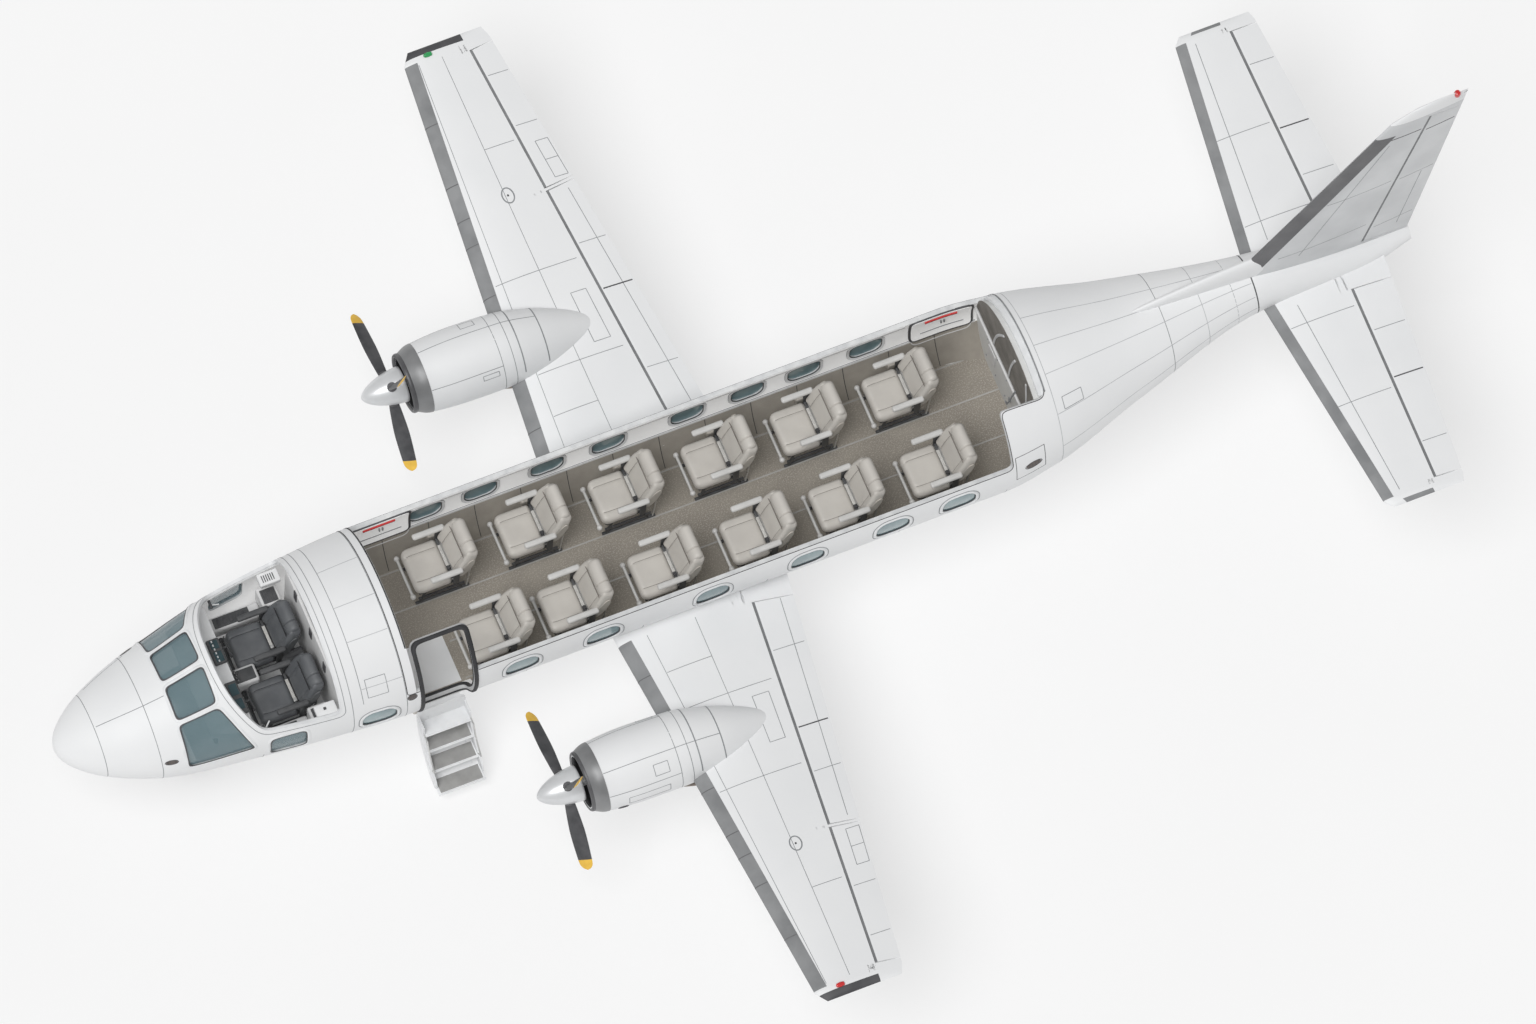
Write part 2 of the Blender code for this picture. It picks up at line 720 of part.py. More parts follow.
def seat_mesh(width, name):
    """A reclined seat: pads as one outline, arms, legs on two floor rails and a bar across the front."""
    half = width / 2
    floor = FLOOR_Z + GAP
    pieces = []
    for side in (-1, 1):
        inner, outer = side * (half - 0.004), side * (half + ARM["thick"])
        under = ARM["bottom"]
        pieces.append(box(at(ARM["front"], inner, under), at(ARM["rear"], outer, ARM["top"])))
        post = at(ARM_POST["front"], inner, ARM_POST["bottom"])
        pieces.append(box(post, at(ARM_POST["rear"], outer, under + 0.01)))
        outer = side * (half - RAIL["inset"] + RAIL["width"])
        inner = side * (half - RAIL["inset"])
        top = FLOOR_Z + RAIL["height"]
        pieces.append(box(at(RAIL["front"], inner, floor), at(RAIL["rear"], outer, top)))
        margin = side * 0.002
        pieces.append(
            box(at(LEG["front"], inner + margin, top - 0.01), at(LEG["rear"], outer - margin, LEG["top"]))
        )
    bar_z = FLOOR_Z + SEAT_BAR["height"]
    ends = (at(SEAT_BAR["station"], y, bar_z) for y in (-half, half))
    pieces.append(rod(*ends, SEAT_BAR["radius"], 6))
    return combine(outline(SEAT_SIDE, width), [("UNION", piece) for piece in pieces], name)


def build_seats():
    passenger = seat_mesh(SEAT_WIDTH, "passenger_seat")
    rows = zip(ROWS_LEFT, ROWS_RIGHT)
    for row, stations in enumerate(rows, start=1):
        for side, word, station in ((1, "left", stations[0]), (-1, "right", stations[1])):
            seat = put(f"seat_{row}_{word}", passenger, "beige_leather")
            seat.location = (-station, side * SEAT_Y, 0.0)
    crew = seat_mesh(CREW_WIDTH, "crew_seat")
    for side, word in ((1, "left"), (-1, "right")):
        seat = put(f"crew_seat_{word}", crew, "dark_leather")
        seat.location = (-CREW_STATION, side * CREW_Y, 0.0)


# Door and stairs

HINGE_PLACE = at(0.0, HINGE_Y, HINGE_Z)
LUG_LENGTH = 0.07


def build_door_frame():
    """The frame round the doorway, and the two lugs that carry the stairs' hinge."""
    lugs = []
    for start, end in ((DOOR_FRONT, DOOR_FRONT + LUG_LENGTH), (DOOR_REAR - LUG_LENGTH, DOOR_REAR)):
        lugs.append(rod(at(start, HINGE_Y, HINGE_Z), at(end, HINGE_Y, HINGE_Z), HINGE_R, 12))
        lugs.append(box(at(start, 0.762, -0.698), at(end, 0.790, -0.662)))
    hole = door_block(0.0, -0.1, WALL + 0.1)
    frame = combine(door_block(FRAME_W, 0.0, WALL), [("DIFFERENCE", hole)])
    put("door_frame", combine(frame, [("UNION", lug) for lug in lugs]), "black_seal")


def opened():
    """The turn from the closed door to the open stairs."""
    turn = Matrix.Rotation(math.radians(LEAF_OPEN_DEG), 4, "X")
    return Matrix.Translation(HINGE_PLACE) @ turn @ Matrix.Translation(-HINGE_PLACE)


def build_airstair():
    """The door leaf with its hinge, side plates, steps and low handrails, hanging open."""
    front, rear = DOOR_FRONT + LEAF_CLEAR, DOOR_REAR - LEAF_CLEAR
    knuckle = DOOR_FRONT + LUG_LENGTH + 2 * GAP, DOOR_REAR - LUG_LENGTH - 2 * GAP
    leaf = patch(front, rear, LEAF_TOP_ANGLE, LEAF_BOTTOM_ANGLE, 0.0, LEAF_T, 12, 2)
    pieces = [
        rod(at(knuckle[0], HINGE_Y, HINGE_Z), at(knuckle[1], HINGE_Y, HINGE_Z), HINGE_R, 12),
        box(at(knuckle[0], 0.789, HINGE_Z), at(knuckle[1], 0.7985, -0.618)),
    ]
    inner = LEAF_T + STRINGER_DEPTH
    rail_inset = inner + 0.09
    sides = (front + 0.001, front + STRINGER_T), (rear - STRINGER_T, rear - 0.001)
    for start, end in sides:
        pieces.append(patch(start, end, LEAF_TOP_ANGLE + 0.7, 121.0, LEAF_T - 0.01, inner, 8, 2))
        middle = (start + end) / 2
        rail = [skin_point(middle, angle, rail_inset) for angle in RAIL_ANGLES]
        pieces.append(rod(*rail, RAIL_R, 6))
        for angle, turn in zip(RAIL_ANGLES, (-1.5, 1.5)):
            foot = skin_point(middle, angle + turn, inner - 0.02)
            pieces.append(rod(foot, skin_point(middle, angle + turn, rail_inset), RAIL_R * 0.9, 6))
    turn = opened()
    for piece in (leaf, *pieces):
        piece.transform(turn)
    for angle in np.linspace(113.0, 68.0, STEPS):
        back = turn @ skin_point(front, angle, LEAF_T / 2)
        low = Vector((at(rear - 0.01).x, back.y, back.z))
        high = Vector((at(front + 0.01).x, back.y + STEP_DEPTH, back.z + STEP_T))
        pieces.append(box(low, high))
    joined = combine(leaf, [("UNION", piece) for piece in pieces])
    put("airstair_door", joined, "white_paint", origin=at(front, HINGE_Y, HINGE_Z))


# Wings, nacelles and engines


def nacelle_ring(side, station, inset=0.0):
    half, middle, reach = section(NACELLE, station, inset)
    ring = []
    for k in range(NACELLE_SIDES):
        angle = 2 * math.pi * k / NACELLE_SIDES
        y = side * ENGINE_Y + half * math.sin(angle)
        ring.append(at(station, y, ENGINE_Z + middle + reach * math.cos(angle)))
    return ring


def nacelle_loft(side, stations, inset=0.0):
    return loft([nacelle_ring(side, station, inset) for station in stations])


def grown_nacelle(side):
    return nacelle_loft(side, [row[0] for row in NACELLE], -GAP * 1.5)


def grown_wing(side):
    return wing_panel(side).solid([WING_CAP], GAP * 1.5)


def put_swinging(name, panel, surface, material):
    """The panel's swinging surface, with its origin on the hinge line."""
    first, _last, _along = panel.span(surface)
    put(name, panel.swinging(surface), material, origin=first)


def build_wings():
    for side, word in ((1, "left"), (-1, "right")):
        panel = wing_panel(side)
        steps = [("DIFFERENCE", whole_body(-GAP)), ("DIFFERENCE", panel.bay(FLAP))]
        steps.append(("DIFFERENCE", panel.bay(AILERON)))
        put(f"wing_{word}", combine(panel.solid([WING_CAP]), steps), "white_paint")
        put_swinging(f"flap_{word}", panel, FLAP, "white_paint")
        put_swinging(f"aileron_{word}", panel, AILERON, "white_paint")


def build_nacelles():
    for side, word in ((1, "left"), (-1, "right")):
        hollow = nacelle_loft(side, (COWL_FRONT - 0.01, 5.06, 5.50, FIREWALL), NACELLE_WALL)
        outer = nacelle_loft(side, [row[0] for row in NACELLE])
        steps = [("DIFFERENCE", hollow), ("DIFFERENCE", grown_wing(side))]
        put(f"nacelle_{word}", combine(outer, steps), "white_paint")
        y = side * ENGINE_Y
        front, rear = at(ENGINE_BLOCK["front"], y, ENGINE_Z), at(FIREWALL - GAP, y, ENGINE_Z)
        put(f"engine_{word}", rod(front, rear, ENGINE_BLOCK["radius"], 20), "engine_metal")


def blade_mesh(centre, degrees):
    """One blade: flat oval sections that untwist towards the tip."""
    turn = math.radians(degrees)
    outwards = Vector((0.0, math.sin(turn), math.cos(turn)))
    around = Vector((0.0, math.cos(turn), -math.sin(turn)))
    rings = []
    for distance, chord, thickness, pitch in BLADE:
        lean = math.radians(pitch)
        across = around * math.cos(lean) + Vector((1.0, 0.0, 0.0)) * math.sin(lean)
        through = outwards.cross(across)
        ring = []
        for k in range(10):
            angle = 2 * math.pi * k / 10
            edge = across * math.cos(angle) * chord / 2 + through * math.sin(angle) * thickness / 2
            ring.append(centre + outwards * distance + edge)
        rings.append(ring)
    return loft(rings)


def build_propellers():
    for side, word in ((1, "left"), (-1, "right")):
        y = side * ENGINE_Y
        profile = [(0.0, SPINNER_BACK - SPINNER_TIP), (0.03, 0.462), (0.09, 0.40), (0.15, 0.27)]
        profile += [(0.185, 0.12), (SPINNER_R, 0.0), (0.0, 0.0)]
        spinner = turned(profile, at(SPINNER_BACK, y, ENGINE_Z), (1, 0, 0), 20)
        shaft = rod(at(4.80, y, ENGINE_Z), at(ENGINE_BLOCK["front"] - 0.0006, y, ENGINE_Z), 0.05, 12)
        blades = [blade_mesh(at(PROP_STATION, y, ENGINE_Z), degrees) for degrees in BLADE_ANGLES]
        steps = [("UNION", piece) for piece in (shaft, *blades)]
        hub = at(PROP_STATION, y, ENGINE_Z)
        put(f"propeller_{word}", combine(spinner, steps), "blade_black", origin=hub)


# Tail


def build_tail():
    for side, word in ((1, "left"), (-1, "right")):
        panel = tail_panel(side)
        steps = [("DIFFERENCE", whole_body(-GAP)), ("DIFFERENCE", panel.bay(ELEVATOR))]
        put(f"tailplane_{word}", combine(panel.solid([TAIL_CAP]), steps), "white_composite")
        put_swinging(f"elevator_{word}", panel, ELEVATOR, "white_composite")
    panel = fin_panel()
    steps = [("UNION", outline(DORSAL, DORSAL_T)), ("DIFFERENCE", whole_body(-GAP))]
    steps.append(("DIFFERENCE", panel.bay(RUDDER)))
    put("fin", combine(panel.solid(FIN_CAPS), steps), "white_composite")
    put_swinging("rudder", panel, RUDDER, "white_composite")


# Landing gear


def wheel_mesh(wheel):
    """Tyre and rim turned as one about the origin, with a bore for the axle."""
    radius, half, bore = wheel["radius"], wheel["width"] / 2, wheel["bore"]
    side = [(bore, half * 0.9), (radius * 0.24, half * 0.9), (radius * 0.28, half * 0.45)]
    side += [(radius * 0.52, half * 0.45), (radius * 0.56, half * 0.84), (radius * 0.78, half)]
    side += [(radius * 0.94, half * 0.80), (radius, half * 0.35)]
    profile = side + [(r, -along) for r, along in reversed(side)]
    return turned(profile, Vector((0, 0, 0)), (0, 1, 0), wheel["sides"])


def build_main_gear():
    axle_z = MAIN_WHEEL["radius"] - AXIS_Z
    for side, word in ((1, "left"), (-1, "right")):
        y = side * ENGINE_Y
        leg_y = y - side * MAIN_LEG_IN
        half = MAIN_WHEEL["width"] / 2
        leg = rod(at(MAIN_STATION, leg_y, axle_z - 0.05), at(MAIN_STATION, leg_y, -0.29), MAIN_LEG_R, 12)
        axle = rod(
            at(MAIN_STATION, leg_y, axle_z),
            at(MAIN_STATION, y + side * (half + 0.004), axle_z),
            MAIN_WHEEL["bore"] - AXLE_GAP,
            24,
        )
        brace = rod(at(MAIN_STATION, leg_y, -0.95), at(MAIN_STATION - 0.62, leg_y, -0.35), 0.03, 8)
        door = box(
            at(MAIN_STATION - 0.22, y + side * 0.30, -1.10),
            at(MAIN_STATION + 0.04, y + side * 0.312, -0.20),
        )
        strap = box(
            at(MAIN_STATION - 0.03, leg_y, -0.80), at(MAIN_STATION + 0.03, y + side * 0.305, -0.76)
        )
        steps = [("UNION", piece) for piece in (axle, brace, door, strap)]
        steps += [("DIFFERENCE", grown_wing(side)), ("DIFFERENCE", grown_nacelle(side))]
        put(f"main_leg_{word}", combine(leg, steps), "gear_metal")
        placed = put(f"main_wheel_{word}", wheel_mesh(MAIN_WHEEL), "tyre_rubber")
        placed.location = at(MAIN_STATION, y, axle_z)


def build_nose_gear():
    axle_z = NOSE_WHEEL["radius"] - AXIS_Z
    split = -1.20
    leg = rod(at(NOSE_STATION, 0, split), at(NOSE_STATION, 0, -0.70), NOSE_LEG_R, 16)
    brace = rod(at(NOSE_STATION, 0, -1.14), at(NOSE_STATION + 0.45, 0, -0.80), 0.025, 8)
    steps = [("UNION", brace), ("DIFFERENCE", whole_body(-GAP))]
    put("nose_leg", combine(leg, steps), "gear_metal")
    piston = rod(at(NOSE_STATION, 0, axle_z), at(NOSE_STATION, 0, split - GAP), 0.036, 16)
    half = NOSE_WHEEL_Y + NOSE_WHEEL["width"] / 2 + 0.004
    radius = NOSE_WHEEL["bore"] - AXLE_GAP
    axle = rod(at(NOSE_STATION, -half, axle_z), at(NOSE_STATION, half, axle_z), radius, 24)
    hub = at(NOSE_STATION, 0, axle_z)
    put("nose_fork", combine(piston, [("UNION", axle)]), "gear_metal", origin=hub)
    for side, word in ((1, "left"), (-1, "right")):
        placed = put(f"nose_wheel_{word}", wheel_mesh(NOSE_WHEEL), "tyre_rubber")
        placed.location = at(NOSE_STATION, side * NOSE_WHEEL_Y, axle_z)


clear_scene()
AIRLINER = new_collection("turboprop_airliner")
CUTTERS = new_collection("cutters")
build_nose()
build_cockpit_shell()
build_cockpit_glass()
build_barrel()
build_cabin_shell()
build_tail_body()
build_floors()
build_bulkhead()
build_hatches()
build_instruments()
build_seats()
build_door_frame()
build_airstair()
build_wings()
build_nacelles()
build_propellers()
build_tail()
build_main_gear()
build_nose_gear()
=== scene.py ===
"""The looks of a cut-away turboprop airliner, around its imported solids.

It is laid out as a Blender add-on: the sizes and colours that a user would change are properties,
each group of pieces has an operator, and a panel in the 3D view's sidebar lists them. Stations are
metres behind the nose tip, and heights in the tables are above the body's centre line.
"""

import json
import math

import bmesh
import bpy
import numpy as np
from mathutils import Matrix, Vector

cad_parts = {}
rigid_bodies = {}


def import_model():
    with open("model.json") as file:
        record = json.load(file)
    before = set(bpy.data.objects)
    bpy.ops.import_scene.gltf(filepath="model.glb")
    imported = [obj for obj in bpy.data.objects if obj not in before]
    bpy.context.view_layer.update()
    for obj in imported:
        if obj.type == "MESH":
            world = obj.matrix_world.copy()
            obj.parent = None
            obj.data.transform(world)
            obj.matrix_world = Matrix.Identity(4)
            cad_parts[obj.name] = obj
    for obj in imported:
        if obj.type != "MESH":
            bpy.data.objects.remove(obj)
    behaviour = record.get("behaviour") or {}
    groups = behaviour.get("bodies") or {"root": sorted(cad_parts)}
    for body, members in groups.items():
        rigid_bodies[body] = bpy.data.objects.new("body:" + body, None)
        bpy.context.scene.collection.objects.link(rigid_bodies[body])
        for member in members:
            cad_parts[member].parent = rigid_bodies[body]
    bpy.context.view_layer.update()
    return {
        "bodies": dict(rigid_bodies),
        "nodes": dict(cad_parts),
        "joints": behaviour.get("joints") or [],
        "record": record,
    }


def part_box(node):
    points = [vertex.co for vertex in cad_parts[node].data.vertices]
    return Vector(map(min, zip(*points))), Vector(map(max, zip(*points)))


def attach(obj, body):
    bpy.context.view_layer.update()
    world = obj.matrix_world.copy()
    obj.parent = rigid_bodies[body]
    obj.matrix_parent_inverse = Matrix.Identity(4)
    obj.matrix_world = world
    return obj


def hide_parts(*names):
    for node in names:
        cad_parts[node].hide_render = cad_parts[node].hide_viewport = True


bl_info = {
    "name": "Cut-away turboprop airliner",
    "version": (1, 0, 0),
    "blender": (4, 5, 0),
    "location": "3D View > Sidebar > Airliner",
    "description": "Makes the looks of a cut-away turboprop airliner around its packed solids",
    "category": "Object",
}

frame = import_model()

# The body, as the solids have it
NOSE_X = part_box("nose_cone")[1].x  # the nose tip, at station 0
AXIS_Z = 1.85  # the body's centre line above the ground
BODY_R = 1.02
WALL = 0.05
CUT_Z = 0.27  # the roof is cut away above this height
FLOOR_Z = -0.65
BODY = np.array(
    (
        (0.00, 0.05, -0.19, -0.27),
        (0.10, 0.22, -0.04, -0.42),
        (0.42, 0.46, 0.15, -0.62),
        (0.96, 0.68, 0.34, -0.80),
        (1.25, 0.75, 0.46, -0.87),
        (1.95, 0.87, 0.84, -0.96),
        (2.75, 0.96, 0.98, -1.01),
        (3.65, 1.02, 1.02, -1.02),
        (10.30, 1.02, 1.02, -1.02),
        (10.90, 0.95, 0.99, -0.91),
        (12.00, 0.65, 0.82, -0.46),
        (13.50, 0.31, 0.70, 0.06),
        (14.60, 0.25, 0.46, 0.02),
        (15.26, 0.10, 0.33, 0.13),
    )
)  # station, half width, top, bottom
NOSE_END, COCKPIT_END, BARREL_END, CABIN_END, TAIL_END = 0.96, 2.95, 3.65, 10.90, 15.26
NOSE_ROUND = 0.10  # ahead of this station the nose is a paraboloid

# Wing and tail panels. Each end: station of the leading edge, station of the trailing edge,
# distance from the centre line, height, thickness ratio, hinge as a part of the chord
WING = ((5.89, 7.90, 0.70, -0.53, 0.145, 0.77), (6.20, 7.17, 5.60, 0.245, 0.115, 0.73))
WING_CAP = (6.29, 7.12, 5.73, 0.265, 0.045, 0.73)
TAIL = ((13.47, 14.92, 0.06, 0.27, 0.10, 0.67), (13.79, 14.69, 2.78, 0.34, 0.09, 0.67))
TAIL_CAP = (13.87, 14.66, 2.87, 0.342, 0.04, 0.67)
FIN = ((12.99, 15.236, 0.0, 0.30, 0.075, 0.743), (14.86, 15.69, 0.0, 3.34, 0.085, 0.55))
FIN_CAPS = ((15.10, 15.71, 0.0, 3.50, 0.07, 0.55), (15.38, 15.72, 0.0, 3.58, 0.03, 0.55))
FLAP, AILERON, ELEVATOR, RUDDER = (1.12, 3.84), (3.88, 5.52), (0.44, 2.72), (0.50, 3.27)
NOMINAL_HINGE = 0.70  # every panel's chord fractions put its hinge here

ENGINE_Y, ENGINE_Z = 2.41, -0.09
NACELLE = np.array(
    (
        (4.92, 0.31, 0.31, -0.34),
        (5.06, 0.37, 0.37, -0.41),
        (5.50, 0.40, 0.40, -0.47),
        (6.00, 0.39, 0.37, -0.51),
        (6.40, 0.33, 0.25, -0.51),
        (6.80, 0.22, 0.04, -0.49),
        (7.08, 0.12, -0.14, -0.40),
    )
)  # station, half width, top, bottom, from the engine's axis
SIDES = ((1, "left"), (-1, "right"))


# Shapes as arrays


def at(station, y=0.0, z=0.0):
    """Points at stations, distances to port and heights over the centre line."""
    station, y, z = np.broadcast_arrays(station, y, z)
    return np.stack([NOSE_X - station, y, AXIS_Z + z], -1).astype(float)


def smooth(table, column, places):
    """A table column at an array of places: a cubic between rows, with slopes that never overshoot."""
    places = np.asarray(places, float)
    rows, values = table[:, 0], table[:, column]
    steps = np.diff(values) / np.diff(rows)
    slopes = np.zeros(len(rows))
    same = steps[:-1] * steps[1:] > 0
    both = np.where(same, steps[:-1] * steps[1:], 1.0)
    slopes[1:-1] = np.where(same, 2 * both / np.where(same, steps[:-1] + steps[1:], 1.0), 0.0)
    slopes[0], slopes[-1] = steps[0], steps[-1]
    k = np.clip(np.searchsorted(rows, places) - 1, 0, len(rows) - 2)
    width = rows[k + 1] - rows[k]
    u = (places - rows[k]) / width
    start = (2 * u**3 - 3 * u**2 + 1) * values[k] + (u**3 - 2 * u**2 + u) * width * slopes[k]
    return start + (3 * u**2 - 2 * u**3) * values[k + 1] + (u**3 - u**2) * width * slopes[k + 1]


def oval(table, station, inset=0.0):
    """Half width, middle and reach up and down of the table's section at a station."""
    half = smooth(table, 1, station) - inset
    top, bottom = smooth(table, 2, station), smooth(table, 3, station)
    return half, (top + bottom) / 2, (top - bottom) / 2 - inset


def skin(station, degrees, inset=0.0):
    """The body's surface: an oval ring at each station, and an angle from the top towards port.

    Ahead of NOSE_ROUND the ring shrinks with the square root of the station, as a paraboloid does.
    """
    station = np.asarray(station, float)
    half, middle, reach = oval(BODY, np.maximum(station, NOSE_ROUND), inset)
    share = np.sqrt(np.clip(station / NOSE_ROUND, 0.0, 1.0))
    angle = np.radians(degrees)
    return at(station, share * half * np.sin(angle), middle + share * reach * np.cos(angle))


def nacelle(side):
    """The nacelle's surface: an oval ring at each station, round the engine's axis."""

    def surface(station, degrees, inset=0.0):
        half, middle, reach = oval(NACELLE, station, inset)
        angle = np.radians(degrees)
        y = side * ENGINE_Y + side * half * np.sin(angle)
        return at(station, y, ENGINE_Z + middle + reach * np.cos(angle))

    return surface


def half_thickness(share):
    """Half the thickness of a symmetric wing section, over its chord, per unit of thickness ratio."""
    powers = 0.2969 * np.sqrt(share) - 0.126 * share - 0.3516 * share**2
    return 5 * (powers + 0.2843 * share**3 - 0.1015 * share**4)


def end_point(end, fraction, face, side, upright, inset=0.0):
    """Points of an end's section at chord fractions. face runs from 1 above to -1 below."""
    front, rear, reach, height, thickness, hinge = end
    ahead = fraction / NOMINAL_HINGE * hinge
    behind = hinge + (fraction - NOMINAL_HINGE) / (1 - NOMINAL_HINGE) * (1 - hinge)
    share = np.where(fraction <= NOMINAL_HINGE, ahead, behind)
    chord = rear - front
    offset = face * (half_thickness(share) * thickness * chord - inset)
    station = front + share * chord + inset * np.clip(1 - share * 40, 0, 1)
    if upright:
        return at(station, offset, height)
    return at(station, side * reach, height + offset)


def panel(ends, side=1, upright=False):
    """A wing or tail panel's surface: straight lines from the root's section to the tip's.

    The place is the distance from the centre line, or the height on the fin. The second value is the
    chord fraction, above zero on the upper (or port) face and below zero on the other.
    """
    root, tip = ends
    column = 3 if upright else 2

    def surface(place, signed, inset=0.0):
        place, signed = np.broadcast_arrays(np.asarray(place, float), np.asarray(signed, float))
        fraction, face = np.abs(signed), np.where(signed < 0, -1.0, 1.0)
        share = ((place - root[column]) / (tip[column] - root[column]))[..., None]
        start = end_point(root, fraction, face, side, upright, inset)
        return start + share * (end_point(tip, fraction, face, side, upright, inset) - start)

    return surface


def on(surface, u, v):
    """Points of a surface and its outward directions there, from small steps along both values.

    A step inwards by the surface's third value tells which of the two sides is the outer one.
    """
    step = 1e-3
    points = surface(u, v)
    along = surface(u + step, v) - surface(u - step, v)
    across = surface(u, v + step) - surface(u, v - step)
    normals = unit(np.cross(along, across))
    outwards = ((points - surface(u, v, step)) * normals).sum(-1, keepdims=True)
    return points, normals * np.where(outwards < 0, -1.0, 1.0)


def unit(vectors):
    """Vectors of length one."""
    return vectors / np.maximum(np.linalg.norm(vectors, axis=-1, keepdims=True), 1e-12)


def smoothstep(values, low, high):
    """Zero up to low, one from high on, and a smooth step between them."""
    share = np.clip((values - low) / (high - low), 0.0, 1.0)
    return share * share * (3 - 2 * share)


# Pieces


class Shape:
    """Points and faces gathered into one piece. Each face has the number of a finish."""

    def __init__(self):
        self.points, self.faces, self.count = [], [], 0

    def add(self, points, faces, finish=0):
        """Adds points and their faces, one array of them or a list of arrays with different counts."""
        points = np.asarray(points, float).reshape(-1, 3)
        for group in faces if isinstance(faces, list) else [faces]:
            self.faces.append((np.asarray(group) + self.count, finish))
        self.points.append(points)
        self.count += len(points)
        return self

    def grid(self, points, finish=0, wrap_u=False, wrap_v=False, cap=False):
        """A grid of points as quads, closed round either way, and with flat ends if asked."""
        rows, columns = points.shape[:2]
        k = np.arange(rows * columns).reshape(rows, columns)
        if wrap_u:
            k = np.vstack([k, k[:1]])
        if wrap_v:
            k = np.hstack([k, k[:, :1]])
        quads = np.stack([k[:-1, :-1], k[1:, :-1], k[1:, 1:], k[:-1, 1:]], -1).reshape(-1, 4)
        faces = [quads]
        if cap:
            faces += [k[:1, :columns][:, ::-1], k[rows - 1 : rows, :columns]]
        return self.add(points.reshape(-1, 3), faces, finish)

    def transformed(self, change):
        """The same shape with its points changed by a function of the array."""
        other = Shape()
        other.points = [change(points) for points in self.points]
        other.faces, other.count = list(self.faces), self.count
        return other

    def join(self, other):
        """Adds all of another shape."""
        for group, finish in other.faces:
            self.faces.append((group + self.count, finish))
        self.points += other.points
        self.count += other.count
        return self

    def mesh(self, name, merge=1e-5, sharp=35.0):
        """The mesh, with doubles merged, faces pointing out and edges sharp past an angle."""
        made = bpy.data.meshes.new(name)
        points = np.concatenate(self.points)
        sizes = np.concatenate([np.full(len(group), group.shape[1]) for group, _ in self.faces])
        corners = np.concatenate([group.ravel() for group, _ in self.faces])
        finishes = np.concatenate([np.full(len(group), number) for group, number in self.faces])
        made.vertices.add(len(points))
        made.vertices.foreach_set("co", points.ravel().astype(np.float32))
        made.loops.add(len(corners))
        made.loops.foreach_set("vertex_index", corners.astype(np.int32))
        made.polygons.add(len(sizes))
        starts = np.concatenate([[0], np.cumsum(sizes)[:-1]])
        made.polygons.foreach_set("loop_start", starts.astype(np.int32))
        made.polygons.foreach_set("material_index", finishes.astype(np.int32))
        made.update(calc_edges=True)
        work = bmesh.new()
        work.from_mesh(made)
        bmesh.ops.remove_doubles(work, verts=work.verts, dist=merge)
        bmesh.ops.dissolve_degenerate(work, edges=work.edges, dist=merge)
        bmesh.ops.recalc_face_normals(work, faces=work.faces)
        work.to_mesh(made)
        work.free()
        made.shade_smooth()
        made.set_sharp_from_angle(angle=math.radians(sharp))
        return made


def piece(name, shape, finishes, body="airframe", slot=None, stands_for=(), **ways):
    """An object of the shape, with its finishes, riding on a body."""
    mesh = shape if isinstance(shape, bpy.types.Mesh) else shape.mesh(name, **ways)
    for finish in [finishes] if isinstance(finishes, str) else finishes:
        mesh.materials.append(material(finish))
    made = bpy.data.objects.new(name, mesh)
    bpy.context.scene.collection.objects.link(made)
    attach(made, body)
    if stands_for:
        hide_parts(*([stands_for] if isinstance(stands_for, str) else stands_for))
    return made


def directions(path, closed):
    """The direction of a path at each of its points."""
    return unit(np.roll(path, -1, 0) - np.roll(path, 1, 0) if closed else np.gradient(path, axis=0))


def swept(shape, path, normals, profile, closed=False, finish=0, scale=1.0):
    """Adds a closed profile carried along a path, with flat ends where the path is open.

    The profile's points are (to the side, along the normal), times the scale at each point.
    """
    normals, profile = unit(normals), np.asarray(profile, float)
    side = unit(np.cross(directions(path, closed), normals))
    profile = profile * np.broadcast_to(scale, len(path))[:, None, None]
    points = path[:, None] + side[:, None] * profile[..., :1] + normals[:, None] * profile[..., 1:]
    return shape.grid(points, finish, wrap_u=closed, wrap_v=True, cap=not closed)


def circle(radius, sides=10, squash=1.0):
    """A circle's points, or an oval's."""
    angle = 2 * np.pi * np.arange(sides) / sides
    return np.stack([radius * np.cos(angle), radius * squash * np.sin(angle)], -1)


def rounded_box(half_u, half_v, radius, sides=6):
    """The outline of a rectangle with round corners, point by point round it."""
    turns = np.linspace(0, np.pi / 2, sides)
    corners = []
    for k, (su, sv) in enumerate(((1, 1), (-1, 1), (-1, -1), (1, -1))):
        angle = turns + k * np.pi / 2
        centre = (su * (half_u - radius), sv * (half_v - radius))
        corners.append(np.stack([centre[0] + radius * np.cos(angle), centre[1] + radius * np.sin(angle)], -1))
    return np.concatenate(corners)


def tube(shape, points, radius, sides=10, finish=0, rounds=0, closed=False, squash=1.0):
    """A round bar along points, bent smoothly through them when rounds asks for extra steps."""
    points = np.asarray(points, float)
    if rounds:
        points = through(points, rounds)
    run = directions(points, closed)
    guide = np.eye(3)[np.abs(run).mean(0).argmin()]
    normals = np.cross(np.cross(run, guide), run)
    return swept(shape, points, normals, circle(1.0, sides, squash), closed, finish, radius)


def through(points, steps):
    """More points on a smooth curve through the given ones, each span with the same number of steps."""
    padded = np.concatenate([2 * points[:1] - points[1:2], points, 2 * points[-1:] - points[-2:-1]])
    u = np.linspace(0, 1, steps, endpoint=False)[None, :, None]
    a, b, c, d = padded[:-3, None], padded[1:-2, None], padded[2:-1, None], padded[3:, None]
    bend = 2 * b + (c - a) * u + (2 * a - 5 * b + 4 * c - d) * u**2 + (3 * b - a - 3 * c + d) * u**3
    return np.concatenate([0.5 * bend.reshape(-1, 3), points[-1:]])


